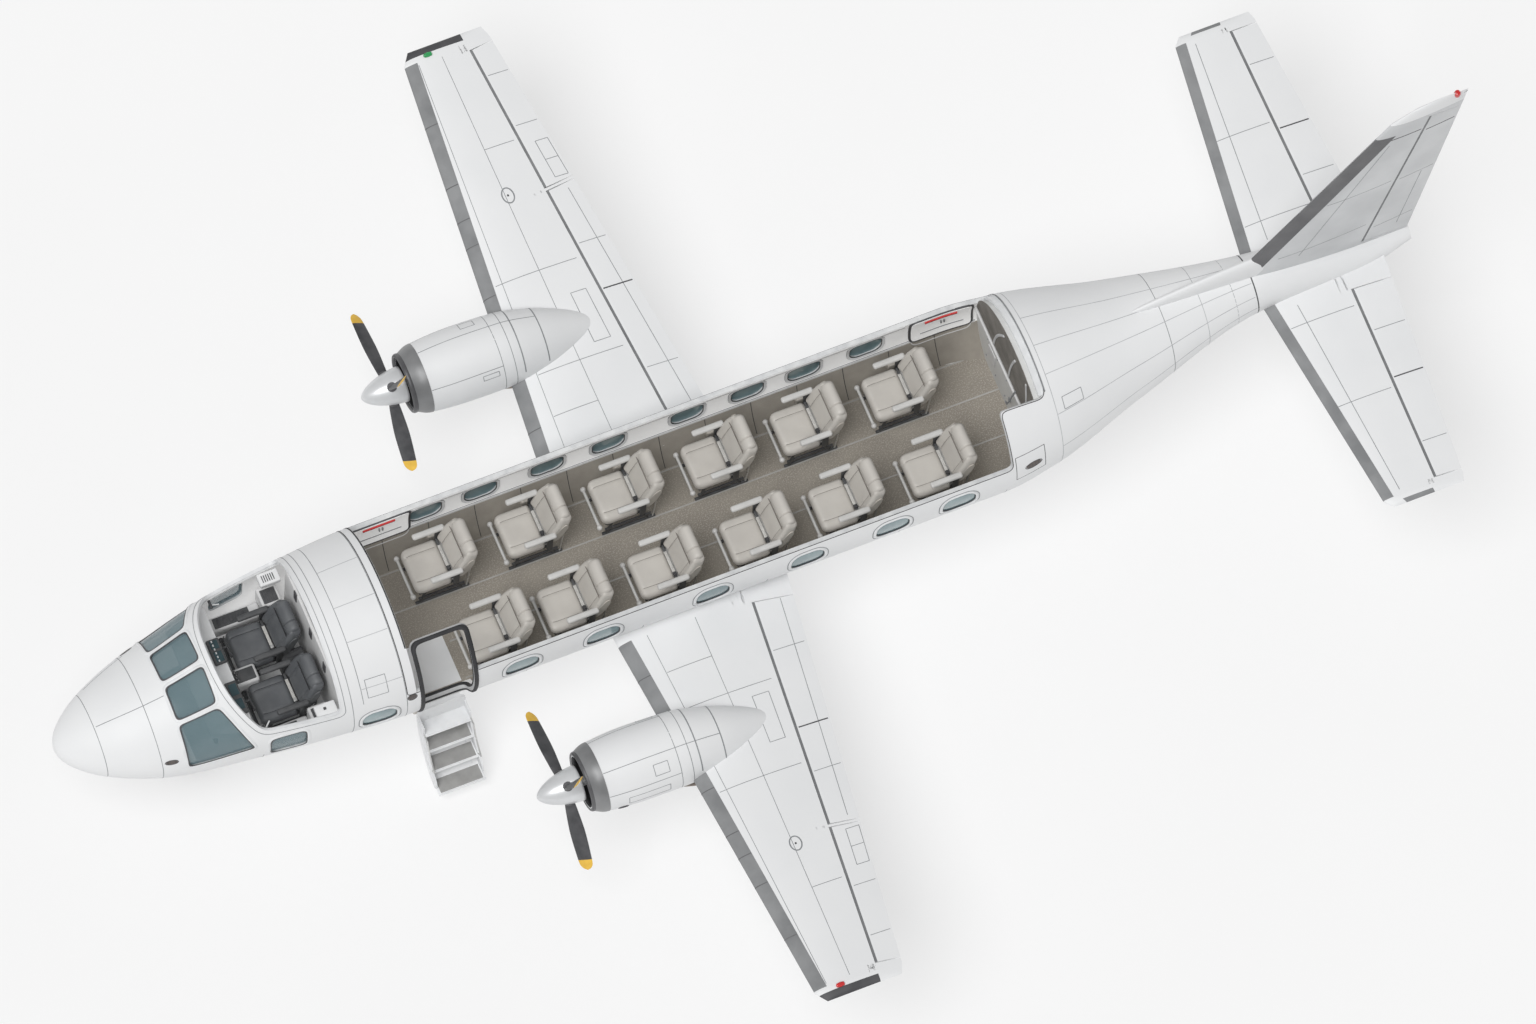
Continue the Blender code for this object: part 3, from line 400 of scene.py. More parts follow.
def revolved(shape, profile, centre, axis, sides=32, finish=0, start=(0.0, 0.0, 1.0)):
    """A profile of (radius, place along the axis) turned once round the axis."""
    axis = unit(np.asarray(axis, float))
    first = unit(np.cross(axis, np.asarray(start, float) if abs(axis[2]) < 0.9 else np.array([1.0, 0, 0])))
    second = np.cross(axis, first)
    angle = 2 * np.pi * np.arange(sides) / sides
    out = first[None] * np.cos(angle)[:, None] + second[None] * np.sin(angle)[:, None]
    profile = np.asarray(profile, float)
    points = np.asarray(centre, float) + out[:, None] * profile[None, :, :1] + axis * profile[None, :, 1:]
    return shape.grid(points, finish, wrap_u=True)


def block(shape, low, high, round_by=0.0, finish=0, steps=3, divide=(1, 1, 1), change=None):
    """A box between two corners with its edges rounded: each face's grid pushed to a rounded box.

    divide asks for more lines across the flat part along x, y and z, for a change of the points.
    """
    low, high = np.minimum(low, high), np.maximum(low, high)
    half = (high - low) / 2
    radius = min(round_by, *(half * 0.999)) if round_by else 0.0
    turns = np.linspace(0, 1, steps + 1)[1:] if radius else np.zeros(0)
    lines = [np.concatenate([-1 - turns[::-1], np.linspace(-1, 1, n + 1), 1 + turns]) for n in divide]
    for axis in range(3):
        first, second = (axis + 1) % 3, (axis + 2) % 3
        u, v = np.meshgrid(lines[first], lines[second], indexing="ij")
        for sign in (-1, 1):
            face = np.zeros(u.shape + (3,))
            face[..., first], face[..., second] = u, v
            face[..., axis] = sign * (1 + bool(radius))
            core = np.clip(face, -1, 1) * (half - radius)
            turn = np.tan(np.clip(np.abs(face) - 1, 0, 1) * np.pi / 4) * np.sign(face)
            points = (low + high) / 2 + core
            if radius:
                points = points + unit(turn) * radius
            if change is not None:
                points = change(points.reshape(-1, 3)).reshape(points.shape)
            shape.grid(points, finish)
    return shape


# Sheets cut from a surface


def soft_least(*values, radius=0.05):
    """The least of several distances, rounded where two are nearly the same."""
    least = values[0]
    for value in values[1:]:
        share = np.clip(0.5 + 0.5 * (value - least) / radius, 0, 1)
        least = value + (least - value) * share - radius * share * (1 - share)
    return least


def trimmed(u_lines, v_lines, keep, around=None):
    """A grid of two values cut to where keep is above zero.

    Each cell is two triangles, and one that crosses zero is cut straight between the points where its
    edges do. Returns points, triangles, and the directed edges that have a face on one side only.
    """
    u, v = np.meshgrid(u_lines, v_lines, indexing="ij")
    points = np.stack([u, v], -1).reshape(-1, 2)
    k = np.arange(u.size).reshape(u.shape)
    a, b, c, d = (part.ravel() for part in (k[:-1, :-1], k[1:, :-1], k[1:, 1:], k[:-1, 1:]))
    triangles = np.concatenate([np.stack([a, b, c], -1), np.stack([a, c, d], -1)])
    value = keep(points[:, 0], points[:, 1])
    value = np.where(np.abs(value) < 1e-7, 1e-7, value)
    inside = value[triangles] > 0
    count = inside.sum(1)

    def turned(rows, first):
        return np.take_along_axis(rows, (first[:, None] + np.arange(3)) % 3, 1)

    def between(i, j):
        share = (value[i] / (value[i] - value[j]))[:, None]
        return points[i] + (points[j] - points[i]) * share

    one = turned(triangles[count == 1], inside[count == 1].argmax(1)).T
    two = turned(triangles[count == 2], (~inside[count == 2]).argmax(1)).T
    near, far = between(two[0], two[1]), between(two[0], two[2])
    corners = np.concatenate(
        [
            points[triangles[count == 3]],
            np.stack([points[one[0]], between(one[0], one[1]), between(one[0], one[2])], 1),
            np.stack([near, points[two[1]], points[two[2]]], 1),
            np.stack([near, points[two[2]], far], 1),
        ]
    )
    if around is not None:
        corners[..., 1] = np.where(corners[..., 1] > around - 1e-7, corners[..., 1] - 360.0, corners[..., 1])
    keys = np.round(corners.reshape(-1, 2), 6)
    points, where = np.unique(keys, axis=0, return_inverse=True)
    triangles = where.reshape(-1, 3)
    real = (triangles != np.roll(triangles, 1, 1)).all(1)
    triangles = triangles[real]
    edges = np.concatenate([triangles[:, [0, 1]], triangles[:, [1, 2]], triangles[:, [2, 0]]])
    size = len(points)
    alone = ~np.isin(edges[:, 0] * size + edges[:, 1], edges[:, 1] * size + edges[:, 0])
    return points, triangles, edges[alone]


def walled(shape, surface, cut, outer, inner, finishes=(0, 0, 0)):
    """Adds a cut sheet as a wall between two insets of a surface, with rims along its edges."""
    points, triangles, edges = cut
    count = len(points)
    both = np.concatenate([surface(points[:, 0], points[:, 1], depth) for depth in (outer, inner)])
    a, b = edges[:, 0], edges[:, 1]
    rims = np.stack([b, a, a + count, b + count], -1)
    start = shape.count
    shape.add(both, [triangles], finishes[0])
    shape.faces.append((triangles[:, ::-1] + count + start, finishes[1]))
    shape.faces.append((rims + start, finishes[2]))
    return shape


def borders(cut):
    """The cut sheet's edges as loops of points, one after the other."""
    points, _triangles, edges = cut
    follows = dict(edges.tolist())
    loops = []
    while follows:
        first, here = follows.popitem()
        loop = [first]
        while here != first and here in follows:
            loop.append(here)
            here = follows.pop(here)
        loops.append(points[loop])
    return loops


def even(surface, path, spacing, closed=True):
    """The path of surface values again, at an even spacing in metres."""
    if closed:
        path = np.concatenate([path, path[:1]])
    places = surface(path[:, 0], path[:, 1])
    run = np.concatenate([[0], np.cumsum(np.linalg.norm(np.diff(places, axis=0), axis=1))])
    count = max(4, int(run[-1] / spacing))
    goals = np.linspace(0, run[-1], count, endpoint=not closed)
    return np.stack([np.interp(goals, run, path[:, k]) for k in range(2)], -1)


def bead(shape, surface, path, profile, closed=True, finish=0, spacing=0.02):
    """A profile carried along a path on a surface. Its points are (to the side, above the surface)."""
    path = even(surface, np.asarray(path, float), spacing, closed)
    return swept(shape, *on(surface, path[:, 0], path[:, 1]), profile, closed, finish)


def strip(width, height, depth=0.002):
    """The section of a thin strip that lies on a surface."""
    return ((-width / 2, -depth), (-width / 2, height), (width / 2, height), (width / 2, -depth))


def radius_at(station):
    """The body's mean radius at a station."""
    half, _middle, reach = oval(BODY, station)
    return (half + reach) / 2


def arc_of(station, degrees):
    """The way round the body in metres for an angle at a station."""
    return np.radians(degrees) * radius_at(station)


def angle_at(station, height):
    """The angle from the top at which the body has a height."""
    _half, middle, reach = oval(BODY, station)
    return np.degrees(np.arccos(np.clip((height - middle) / reach, -1, 1)))


def height_of(station, degrees):
    """The body's height at a station and an angle."""
    _half, middle, reach = oval(BODY, station)
    return middle + reach * np.cos(np.radians(degrees))


def from_top(degrees, side=1):
    """Angles of any turn as angles from the top, above zero towards a side."""
    return side * ((np.asarray(degrees) + 180) % 360 - 180)


# Windows and openings, as distances that are above zero inside them

WINDOWS_RIGHT = (4.55, 5.17, 5.92, 6.61, 7.50, 8.18, 8.82, 9.52)
WINDOWS_LEFT = (4.83, 5.74, 6.97, 8.04, 9.00, 9.75)
WINDOW_BARREL = 3.24
WINDOW_Z = -0.015
GLASS_FRONT, GLASS_REAR, GLASS_REAR_OUTER = 1.21, 1.64, 1.915
PANES = ((2.3, 32.0), (35.2, 83.0))
SIDE_WINDOW = (2.06, 2.46, 78.0, 101.0)
COCKPIT_FRONT, COCKPIT_REAR, COCKPIT_SILL = 1.69, 2.84, 0.28
OPENING_REAR, OPENING_REAR_PORT, OPENING_STEP_Y = 10.88, 10.36, 0.55
DOOR_FRONT, DOOR_REAR, DOOR_TOP, DOOR_SILL = 3.73, 4.30, 41.0, 129.6
FRAME_W = 0.04


def window_hole(middle, side, grow=0.0):
    """A cabin window: a rectangle with wide round corners on the side wall."""
    sizes = bpy.context.scene.airliner_sizes
    half_u, half_v = sizes.window_length / 2 + grow, sizes.window_height / 2 + grow
    corner = min(half_u, half_v) * 0.8

    def inside(station, degrees):
        turned = from_top(degrees) - side * angle_at(middle, WINDOW_Z)
        across = np.abs(arc_of(station, turned)) - (half_v - corner)
        along = np.abs(station - middle) - (half_u - corner)
        out = np.hypot(np.maximum(across, 0), np.maximum(along, 0))
        return corner - out - np.minimum(np.maximum(across, along), 0)

    return inside


def pane_hole(low, high, side, grow=0.0):
    """A windscreen pane. The outer ones reach further back towards the sides."""

    def inside(station, degrees):
        turned = from_top(degrees, side)
        start, end = PANES[1]
        share = np.clip((turned - start) / (end - start), 0, 1)
        rear = GLASS_REAR + share * (GLASS_REAR_OUTER - GLASS_REAR)
        edges = (
            station - GLASS_FRONT + grow,
            rear - station + grow,
            arc_of(station, turned - low) + grow,
            arc_of(station, high - turned) + grow,
        )
        return soft_least(*edges, radius=0.05)

    return inside


def side_window_hole(side, grow=0.0):
    """A side window of the cockpit."""
    front, rear, low, high = SIDE_WINDOW

    def inside(station, degrees):
        turned = from_top(degrees, side)
        edges = (station - front + grow, rear - station + grow)
        edges += (arc_of(station, turned - low) + grow, arc_of(station, high - turned) + grow)
        return soft_least(*edges, radius=0.08)

    return inside


def cockpit_opening(station, degrees):
    """The cockpit's roof opening, an arch ahead of a straight rear edge."""
    height = height_of(station, degrees)
    lean = ((station - COCKPIT_FRONT) * 0.47 + (height - 0.75) * 0.33) / 0.574
    rear = COCKPIT_REAR - station
    return soft_least(height - COCKPIT_SILL, lean, station - COCKPIT_FRONT, rear, radius=0.09)


def cabin_opening(station, degrees):
    """The cabin's roof opening, shorter on the port side."""
    side = oval(BODY, station)[0] * np.sin(np.radians(degrees))
    short = OPENING_REAR_PORT - station
    long = soft_least(OPENING_STEP_Y - side, OPENING_REAR - station, radius=0.09)
    rear = -soft_least(-short, -long, radius=0.05)
    return soft_least(height_of(station, degrees) - CUT_Z, rear, radius=0.07)


def doorway(station, degrees, grow=0.0):
    """The doorway on the port side, which stays open above the leaf."""
    turned = from_top(degrees)
    edges = (station - DOOR_FRONT + grow, DOOR_REAR - station + grow)
    edges += (arc_of(station, turned - DOOR_TOP) + grow, arc_of(station, DOOR_SILL - turned) + grow)
    return soft_least(*edges, radius=0.1)


def lines_between(start, end, spacing):
    """Even places from start to end, about a spacing apart."""
    return np.linspace(start, end, max(2, int(round(abs(end - start) / spacing)) + 1))


# Finishes


def look(colour, other, rough, marks, grain=None, **rest):
    """A finish: its colour, the colour it shifts to in soft marks, how rough it is where the marks are
    faint and strong, the marks' scale, and the grain's kind, scale and depth in metres. A single number
    is a grey, and a word is a colour that a user may change.
    """
    return dict(colour=colour, other=other, rough=rough, marks=marks, grain=grain, **rest)


FINISHES = {
    "white_paint": look("paint", (0.77, 0.778, 0.786), (0.45, 0.55), 1.3, ("pebble", 220, 0.0002)),
    "white_trim": look((0.8, 0.81, 0.82), (0.7, 0.71, 0.72), (0.35, 0.5), 6),
    "cut_edge": look((0.7, 0.71, 0.71), (0.55, 0.56, 0.57), (0.5, 0.7), 9),
    # painted light: the lining gives off a glow of its own, so that the cabin's inner walls read bright where
    # the sun doesn't reach them
    "lining_white": look((0.86, 0.86, 0.855), (0.8, 0.8, 0.795), (0.55, 0.7), 3, ("pebble", 400, 0.0004),
        glow=0.18),
    "lining_brown": look((0.36, 0.33, 0.285), (0.29, 0.265, 0.23), (0.85, 0.95), 4, ("pile", 500, 0.001),
        sheen=0.2),
    "seam_pale": look((0.5, 0.51, 0.52), (0.42, 0.43, 0.44), (0.5, 0.7), 5),
    "seam_grey": look((0.3, 0.31, 0.32), (0.22, 0.23, 0.24), (0.5, 0.7), 5),
    # painted shade: a dark grey for the nose of a moving surface, where it shows in the gap at its hinge
    "hinge_grey": look((0.2, 0.205, 0.21), (0.15, 0.155, 0.16), (0.5, 0.7), 6),
    # A near black for seals and dark joints, which the wings and tail also give the hollow behind each hinge
    # line: painted shade in the gap.
    "seam_dark": look((0.05, 0.05, 0.055), (0.09, 0.09, 0.095), (0.5, 0.7), 5),
    "pane_glass": look("glass", (0.16, 0.25, 0.28), (0.16, 0.22), 2, alpha=0.55),
    "window_glass": look((0.13, 0.21, 0.235), (0.24, 0.35, 0.37), (0.04, 0.1), 3, alpha=0.9, coat=0.6),
    "boot_grey": look((0.27, 0.275, 0.28), (0.2, 0.205, 0.21), (0.6, 0.75), 3, ("pebble", 300, 0.0004)),
    "boot_dark": look((0.11, 0.11, 0.115), (0.16, 0.16, 0.165), (0.6, 0.75), 3, ("pebble", 300, 0.0004)),
    "cowl_grey": look((0.2, 0.203, 0.207), (0.28, 0.283, 0.287), (0.35, 0.5), 3, metal=0.3),
    "charcoal": look((0.045, 0.046, 0.05), (0.08, 0.08, 0.085), (0.45, 0.6), 4, ("pebble", 260, 0.0003)),
    "fin_paint": look((0.66, 0.67, 0.68), (0.56, 0.57, 0.58), (0.45, 0.55), 1.5, ("pebble", 220, 0.0002)),
    "carpet": look("carpet", (0.31, 0.28, 0.24), (0.9, 1.0), 2.2, ("pile", 420, 0.003), speckle=(75,
        (0.5, 0.46, 0.4)), sheen=0.3),
    "panel_grey": look((0.58, 0.585, 0.59), (0.5, 0.505, 0.51), (0.5, 0.65), 5, ("pebble", 380, 0.0004)),
    "panel_pale": look(0.68, 0.6, (0.5, 0.62), 4, ("pebble", 380, 0.0003)),
    "panel_light": look((0.76, 0.765, 0.77), (0.68, 0.685, 0.69), (0.45, 0.6), 5, ("pebble", 380, 0.0003)),
    "entry_grey": look((0.74, 0.75, 0.755), (0.82, 0.825, 0.83), (0.4, 0.55), 2, ("pebble", 300, 0.0003)),
    "bulkhead_grey": look((0.66, 0.665, 0.655), (0.58, 0.585, 0.575), (0.45, 0.6), 3, ("pebble", 300,
        0.0003)),
    "bulkhead_brown": look((0.225, 0.21, 0.19), (0.155, 0.145, 0.13), (0.7, 0.9), 4, ("pile", 400, 0.001)),
    "track_pale": look((0.5, 0.49, 0.47), (0.4, 0.39, 0.37), (0.4, 0.6), 5, metal=0.3),
    "panel_dark": look((0.055, 0.057, 0.06), (0.09, 0.092, 0.095), (0.45, 0.65), 7, ("pebble", 500,
        0.0003)),
    "display": look((0.02, 0.05, 0.06), (0.035, 0.08, 0.095), (0.08, 0.2), 9, coat=0.4),
    "leather": look("leather", (0.5, 0.475, 0.44), (0.42, 0.55), 4, ("hide", 420, 0.0007), coat=0.06),
    "leather_seam": look((0.15, 0.135, 0.12), (0.22, 0.2, 0.18), (0.7, 0.85), 9),
    "leather_trim": look((0.52, 0.49, 0.44), (0.45, 0.42, 0.38), (0.45, 0.6), 7, ("hide", 420, 0.0006)),
    "crew_leather": look("crew_leather", (0.13, 0.136, 0.143), (0.42, 0.58), 7, ("hide", 420, 0.0008),
        coat=0.08),
    "crew_leather_seam": look((0.012, 0.013, 0.015), (0.03, 0.03, 0.032), (0.7, 0.8), 9),
    "crew_leather_trim": look((0.11, 0.115, 0.12), (0.14, 0.145, 0.15), (0.45, 0.6), 9),
    "belt_pale": look((0.62, 0.61, 0.58), (0.5, 0.49, 0.47), (0.7, 0.85), 30, ("ribbed", 700, 0.0006)),
    "belt_dark": look((0.04, 0.04, 0.043), (0.07, 0.07, 0.073), (0.6, 0.75), 30, ("ribbed", 700, 0.0006)),
    "arm_grey": look((0.6, 0.595, 0.58), (0.52, 0.515, 0.5), (0.35, 0.5), 6, ("pebble", 420, 0.0003),
        coat=0.1),
    "silver": look((0.68, 0.68, 0.67), (0.55, 0.55, 0.54), (0.25, 0.42), 9, ("brushed", 60, 0.0002),
        metal=0.85),
    "rail_dark": look((0.075, 0.077, 0.08), (0.12, 0.122, 0.125), (0.4, 0.6), 8, metal=0.5),
    "spinner_white": look((0.72, 0.73, 0.74), (0.62, 0.63, 0.64), (0.3, 0.4), 3, metal=0.3),
    "blade": look((0.045, 0.046, 0.05), (0.08, 0.08, 0.085), (0.4, 0.55), 8, ("brushed", 50, 0.0002)),
    "blade_tip": look("blade_tip", (0.7, 0.42, 0.05), (0.4, 0.5), 9),
    "lip_dark": look((0.1, 0.1, 0.105), (0.15, 0.15, 0.155), (0.35, 0.55), 6, metal=0.5),
    "engine_metal": look(
        (0.17, 0.17, 0.175), (0.26, 0.26, 0.265), (0.4, 0.6), 9, ("brushed", 40, 0.0003), metal=0.8
    ),
    "exhaust": look((0.2, 0.17, 0.15), (0.33, 0.29, 0.26), (0.4, 0.6), 12, metal=0.9),
    "rubber": look((0.022, 0.022, 0.024), (0.045, 0.045, 0.048), (0.65, 0.85), 6, ("pebble", 260, 0.0006)),
    "tyre": look((0.035, 0.035, 0.037), (0.07, 0.068, 0.065), (0.75, 0.92), 8, ("pebble", 180, 0.0008)),
    "strut_white": look((0.62, 0.63, 0.64), (0.48, 0.49, 0.5), (0.35, 0.5), 8, ("pebble", 200, 0.0004)),
    "chrome": look(0.8, 0.7, (0.08, 0.16), 6, metal=1.0),
    "tread": look((0.3, 0.298, 0.29), (0.36, 0.357, 0.35), (0.75, 0.9), 9, ("pile", 200, 0.002)),
    "vent_brown": look((0.085, 0.07, 0.062), (0.15, 0.13, 0.12), (0.5, 0.7), 12),
    "lamp_red": look((0.7, 0.03, 0.03), (0.5, 0.015, 0.015), (0.12, 0.2), 9, coat=0.6),
    "lamp_green": look((0.03, 0.4, 0.12), (0.02, 0.28, 0.08), (0.12, 0.2), 9, coat=0.6),
    "lamp_clear": look((0.75, 0.77, 0.78), (0.62, 0.64, 0.66), (0.05, 0.12), 9, coat=0.8),
    "stripe_red": look((0.6, 0.03, 0.03), (0.48, 0.02, 0.02), (0.4, 0.5), 9),
    "stage_floor": look(0.4, 0.39, (0.9, 1.0), 0.2, glow=0.52),
}
MARK_CONTRAST, MARK_MIDDLE = 3.0, 0.45
COAT_ROUGHNESS = 0.15


def rgb(colour):
    """A colour as three numbers, also from one grey value."""
    return tuple(colour) if hasattr(colour, "__len__") else (colour,) * 3


def node(tree, kind, *inputs, **values):
    """A shader node, its inputs set in order or by name, or linked when the value is an output."""
    made = tree.nodes.new(kind)
    own = [name for name in values if hasattr(made, name)]
    for name in own:
        setattr(made, name, values.pop(name))
    for name, value in [*enumerate(inputs), *values.items()]:
        socket = made.inputs[name.replace("_", " ") if isinstance(name, str) else name]
        if isinstance(value, bpy.types.NodeSocket):
            tree.links.new(value, socket)
        else:
            socket.default_value = value
    return made


def sum_of(tree, operation, *values, clamp=False):
    """The output of a math node."""
    return node(tree, "ShaderNodeMath", *values, operation=operation, use_clamp=clamp).outputs[0]


def noise(tree, place, scale, detail):
    """The output of a noise texture."""
    return node(tree, "ShaderNodeTexNoise", Vector=place, Scale=scale, Detail=detail).outputs["Fac"]


def object_place(tree):
    """The object's own coordinates."""
    return node(tree, "ShaderNodeTexCoord").outputs["Object"]


def shared_group(name, height_from):
    """A shader group with a scale that gives one number, made the first time that it is asked for."""
    if name not in bpy.data.node_groups:
        tree = bpy.data.node_groups.new(name, "ShaderNodeTree")
        for label, way in (("Scale", "INPUT"), ("Height", "OUTPUT")):
            tree.interface.new_socket(name=label, in_out=way, socket_type="NodeSocketFloat")
        start, end = tree.nodes.new("NodeGroupInput"), tree.nodes.new("NodeGroupOutput")
        tree.links.new(height_from(tree, object_place(tree), start.outputs["Scale"]), end.inputs[0])
    return bpy.data.node_groups[name]


def soft_marks(tree, place, scale):
    """Wide noise, stretched about its middle to run from 0 to 1."""
    spread = sum_of(tree, "SUBTRACT", noise(tree, place, scale, 5.0), 0.5)
    return sum_of(tree, "MULTIPLY_ADD", spread, MARK_CONTRAST, MARK_MIDDLE, clamp=True)


def hide(tree, place, scale):
    """Cells with creases between them, on wide folds."""
    cells = node(tree, "ShaderNodeTexVoronoi", feature="DISTANCE_TO_EDGE", Vector=place, Scale=scale)
    return sum_of(tree, "ADD", cells.outputs["Distance"], noise(tree, place, 24.0, 4.0))


def pile(tree, place, scale):
    """Round tufts."""
    tufts = node(tree, "ShaderNodeTexVoronoi", Vector=place, Scale=scale)
    return sum_of(tree, "SUBTRACT", 1.0, tufts.outputs["Distance"])


def ribbed(tree, place, scale):
    """Even ribs."""
    return node(tree, "ShaderNodeTexWave", Vector=place, Scale=scale).outputs["Fac"]


def brushed(tree, place, scale):
    """Noise drawn out into streaks."""
    streaks = node(tree, "ShaderNodeMapping", Vector=place, Scale=(1.0, 18.0, 18.0))
    return noise(tree, streaks.outputs["Vector"], scale, 3.0)


def pebble(tree, place, scale):
    """Fine noise."""
    return noise(tree, place, scale, 2.0)


GRAINS = {"hide": hide, "pile": pile, "ribbed": ribbed, "brushed": brushed, "pebble": pebble}


def blended(tree, share, first, second):
    """A colour between two, each of which is fixed or another node's."""
    mix = node(tree, "ShaderNodeMix", share, data_type="RGBA")
    for socket, colour in zip([s for s in mix.inputs if s.type == "RGBA"], (first, second)):
        if isinstance(colour, bpy.types.NodeSocket):
            tree.links.new(colour, socket)
        else:
            socket.default_value = (*rgb(colour), 1.0)
    return next(s for s in mix.outputs if s.type == "RGBA")


def material(name):
    """The finish of this name as a material, made the first time that it is asked for."""
    label = name + "_finish"
    if label in bpy.data.materials:
        return bpy.data.materials[label]
    finish = FINISHES[name]
    colour = finish["colour"]
    if isinstance(colour, str):
        colour = getattr(bpy.context.scene.airliner_colours, colour)
    made = bpy.data.materials.new(label)
    made.use_nodes = True
    made.diffuse_color = (*rgb(colour), 1.0)
    tree = made.node_tree
    group = shared_group("soft_marks", soft_marks)
    marks = node(tree, "ShaderNodeGroup", node_tree=group, Scale=finish["marks"])
    tint = blended(tree, marks.outputs[0], colour, finish["other"])
    if "speckle" in finish:
        scale, speck = finish["speckle"]
        specks = noise(tree, object_place(tree), scale, 1.0)
        sharper = node(tree, "ShaderNodeMapRange", specks, From_Min=0.52, From_Max=0.66)
        tint = blended(tree, sharper.outputs[0], tint, speck)
    low, high = finish["rough"]
    rough = node(tree, "ShaderNodeMapRange", marks.outputs[0], To_Min=low, To_Max=high)
    links = {"Base Color": tint, "Roughness": rough.outputs[0]}
    if finish["grain"]:
        kind, scale, depth = finish["grain"]
        group = shared_group("grain_" + kind, GRAINS[kind])
        grain = node(tree, "ShaderNodeGroup", node_tree=group, Scale=scale)
        bump = node(tree, "ShaderNodeBump", Strength=1.0, Distance=depth, Height=grain.outputs[0])
        links["Normal"] = bump.outputs["Normal"]
    shader = tree.nodes["Principled BSDF"]
    for socket, output in links.items():
        tree.links.new(output, shader.inputs[socket])
    for socket, value in (
        ("Metallic", finish.get("metal", 0.0)),
        ("Coat Weight", finish.get("coat", 0.0)),
        ("Coat Roughness", COAT_ROUGHNESS),
        ("Sheen Weight", finish.get("sheen", 0.0)),
        ("Alpha", finish.get("alpha", 1.0)),
        # glow is light that a finish gives off itself: an evenly lit floor, and painted light on the cabin's
        # white lining
        ("Emission Color", (1.0, 1.0, 1.0, 1.0)),
        ("Emission Strength", finish.get("glow", 0.0)),
    ):
        shader.inputs[socket].default_value = value
    return made


# The body and its glass

SIDE_BANDS = ((70.0, 106.0, 1.2), (-106.0, -70.0, 1.2))  # angles with a finer step: low, high, step
PANE_BANDS = ((1.0, 110.0, 1.6), (-110.0, -1.0, 1.6))
BEAD = ((-0.016, -0.004), (-0.016, 0.003), (-0.008, 0.008), (0.008, 0.008), (0.016, 0.003), (0.016, -0.004))
# The shells' paint, their inner lining, which glows as painted light, and the cut edge.
SHELL = ("white_paint", "lining_white", "cut_edge")
WINDOW_SPOTS = [(WINDOW_BARREL, 1)] + [(m, -1) for m in WINDOWS_RIGHT] + [(m, 1) for m in WINDOWS_LEFT]


def skin_at(depth, way=1):
    """The body's surface at a depth under the paint, facing outwards (1) or into the cabin (-1)."""
    return lambda station, degrees, inset=0.0: skin(station, degrees, depth + way * inset)


inner_wall = skin_at(WALL, -1)


def body_grid(start, end, spacing, fine=()):
    """Lines for a cut sheet of the body: stations, and angles that are finer in some bands."""
    degrees = np.arange(0.0, 360.0, 3.0)
    for low, high, step in fine:
        outside = (degrees < low % 360) | (degrees > high % 360)
        degrees = np.sort(np.concatenate([degrees[outside], np.arange(low % 360, high % 360, step)]))
    return lines_between(start, end, spacing), np.concatenate([degrees, [360.0]])


def to_middle(ring):
    """A ring of points and its middle as many times, for a flat end."""
    return np.broadcast_to(ring.mean(0), ring.shape)


def make_nose():
    """The nose cone, a round cap ahead of the cockpit."""
    lines = np.concatenate([NOSE_ROUND * np.linspace(0, 1, 9)[1:] ** 2, lines_between(0.14, NOSE_END, 0.05)])
    degrees = np.arange(0, 360, 4.0)
    points = skin(lines[:, None], degrees[None])
    tip = np.broadcast_to(skin(0.0, 0.0), (1, len(degrees), 3))
    shape = Shape().grid(np.concatenate([tip, points, to_middle(points[-1])[None]]), wrap_v=True)
    piece("nose_skin", shape, "white_paint", slot="white_composite", stands_for="nose_cone")


def make_shell(name, start, end, spacing, holes, stands_for, fine=SIDE_BANDS):
    """A length of the body's wall with its holes."""

    def keep(station, degrees):
        return -np.max([hole(station, degrees) for hole in holes], axis=0)

    cut = trimmed(*body_grid(start, end, spacing, fine), keep, 360.0)
    shape = walled(Shape(), skin, cut, 0.0, WALL, (0, 1, 2))
    piece(name, shape, SHELL, slot="white_paint", stands_for=stands_for, merge=4e-4, sharp=40)


def make_body():
    """The body's four lengths, and its tail as a hollow cone."""
    make_nose()
    glass = [pane_hole(*pane, side) for pane in PANES for side in (1, -1)]
    glass += [side_window_hole(side) for side in (1, -1)]
    ends = NOSE_END, COCKPIT_END
    make_shell("cockpit_skin", *ends, 0.022, [*glass, cockpit_opening], "cockpit_shell", PANE_BANDS)
    ends, (first, *spots) = (COCKPIT_END, BARREL_END), WINDOW_SPOTS
    make_shell("barrel_skin", *ends, 0.024, [window_hole(*first)], "forward_barrel", SIDE_BANDS[:1])
    holes = [window_hole(*spot) for spot in spots]
    holes += [cabin_opening, lambda station, degrees: doorway(station, degrees, 0.01)]
    make_shell("cabin_skin", BARREL_END, CABIN_END, 0.026, holes, "cabin_shell")
    shape = Shape()
    stations = lines_between(CABIN_END, TAIL_END, 0.08)
    degrees = np.arange(0, 360, 3.0)
    outer = skin(stations[:, None], degrees[None])
    inner = skin(stations[:-6, None], degrees[None], 0.03)
    shape.grid(outer, 0, wrap_v=True)
    shape.grid(inner[::-1], 1, wrap_v=True)
    shape.grid(np.stack([inner[0], outer[0]]), 2, wrap_v=True)
    for end in (inner[-1], outer[-1]):
        shape.grid(np.stack([end, to_middle(end)]), 0, wrap_v=True)
    piece("tail_skin", shape, SHELL, slot="white_composite", stands_for="aft_fuselage", merge=4e-4)


def pane(name, hole, stations, angles, depth, finish, stands_for=()):
    """Window glass: the part of a wall inside a hole."""
    cut = trimmed(lines_between(*stations, 0.03), lines_between(*angles, 1.7), hole)
    shape = walled(Shape(), skin, cut, depth, depth + 0.010)
    piece(name, shape, finish, slot="clear_glass", stands_for=stands_for, merge=4e-4)


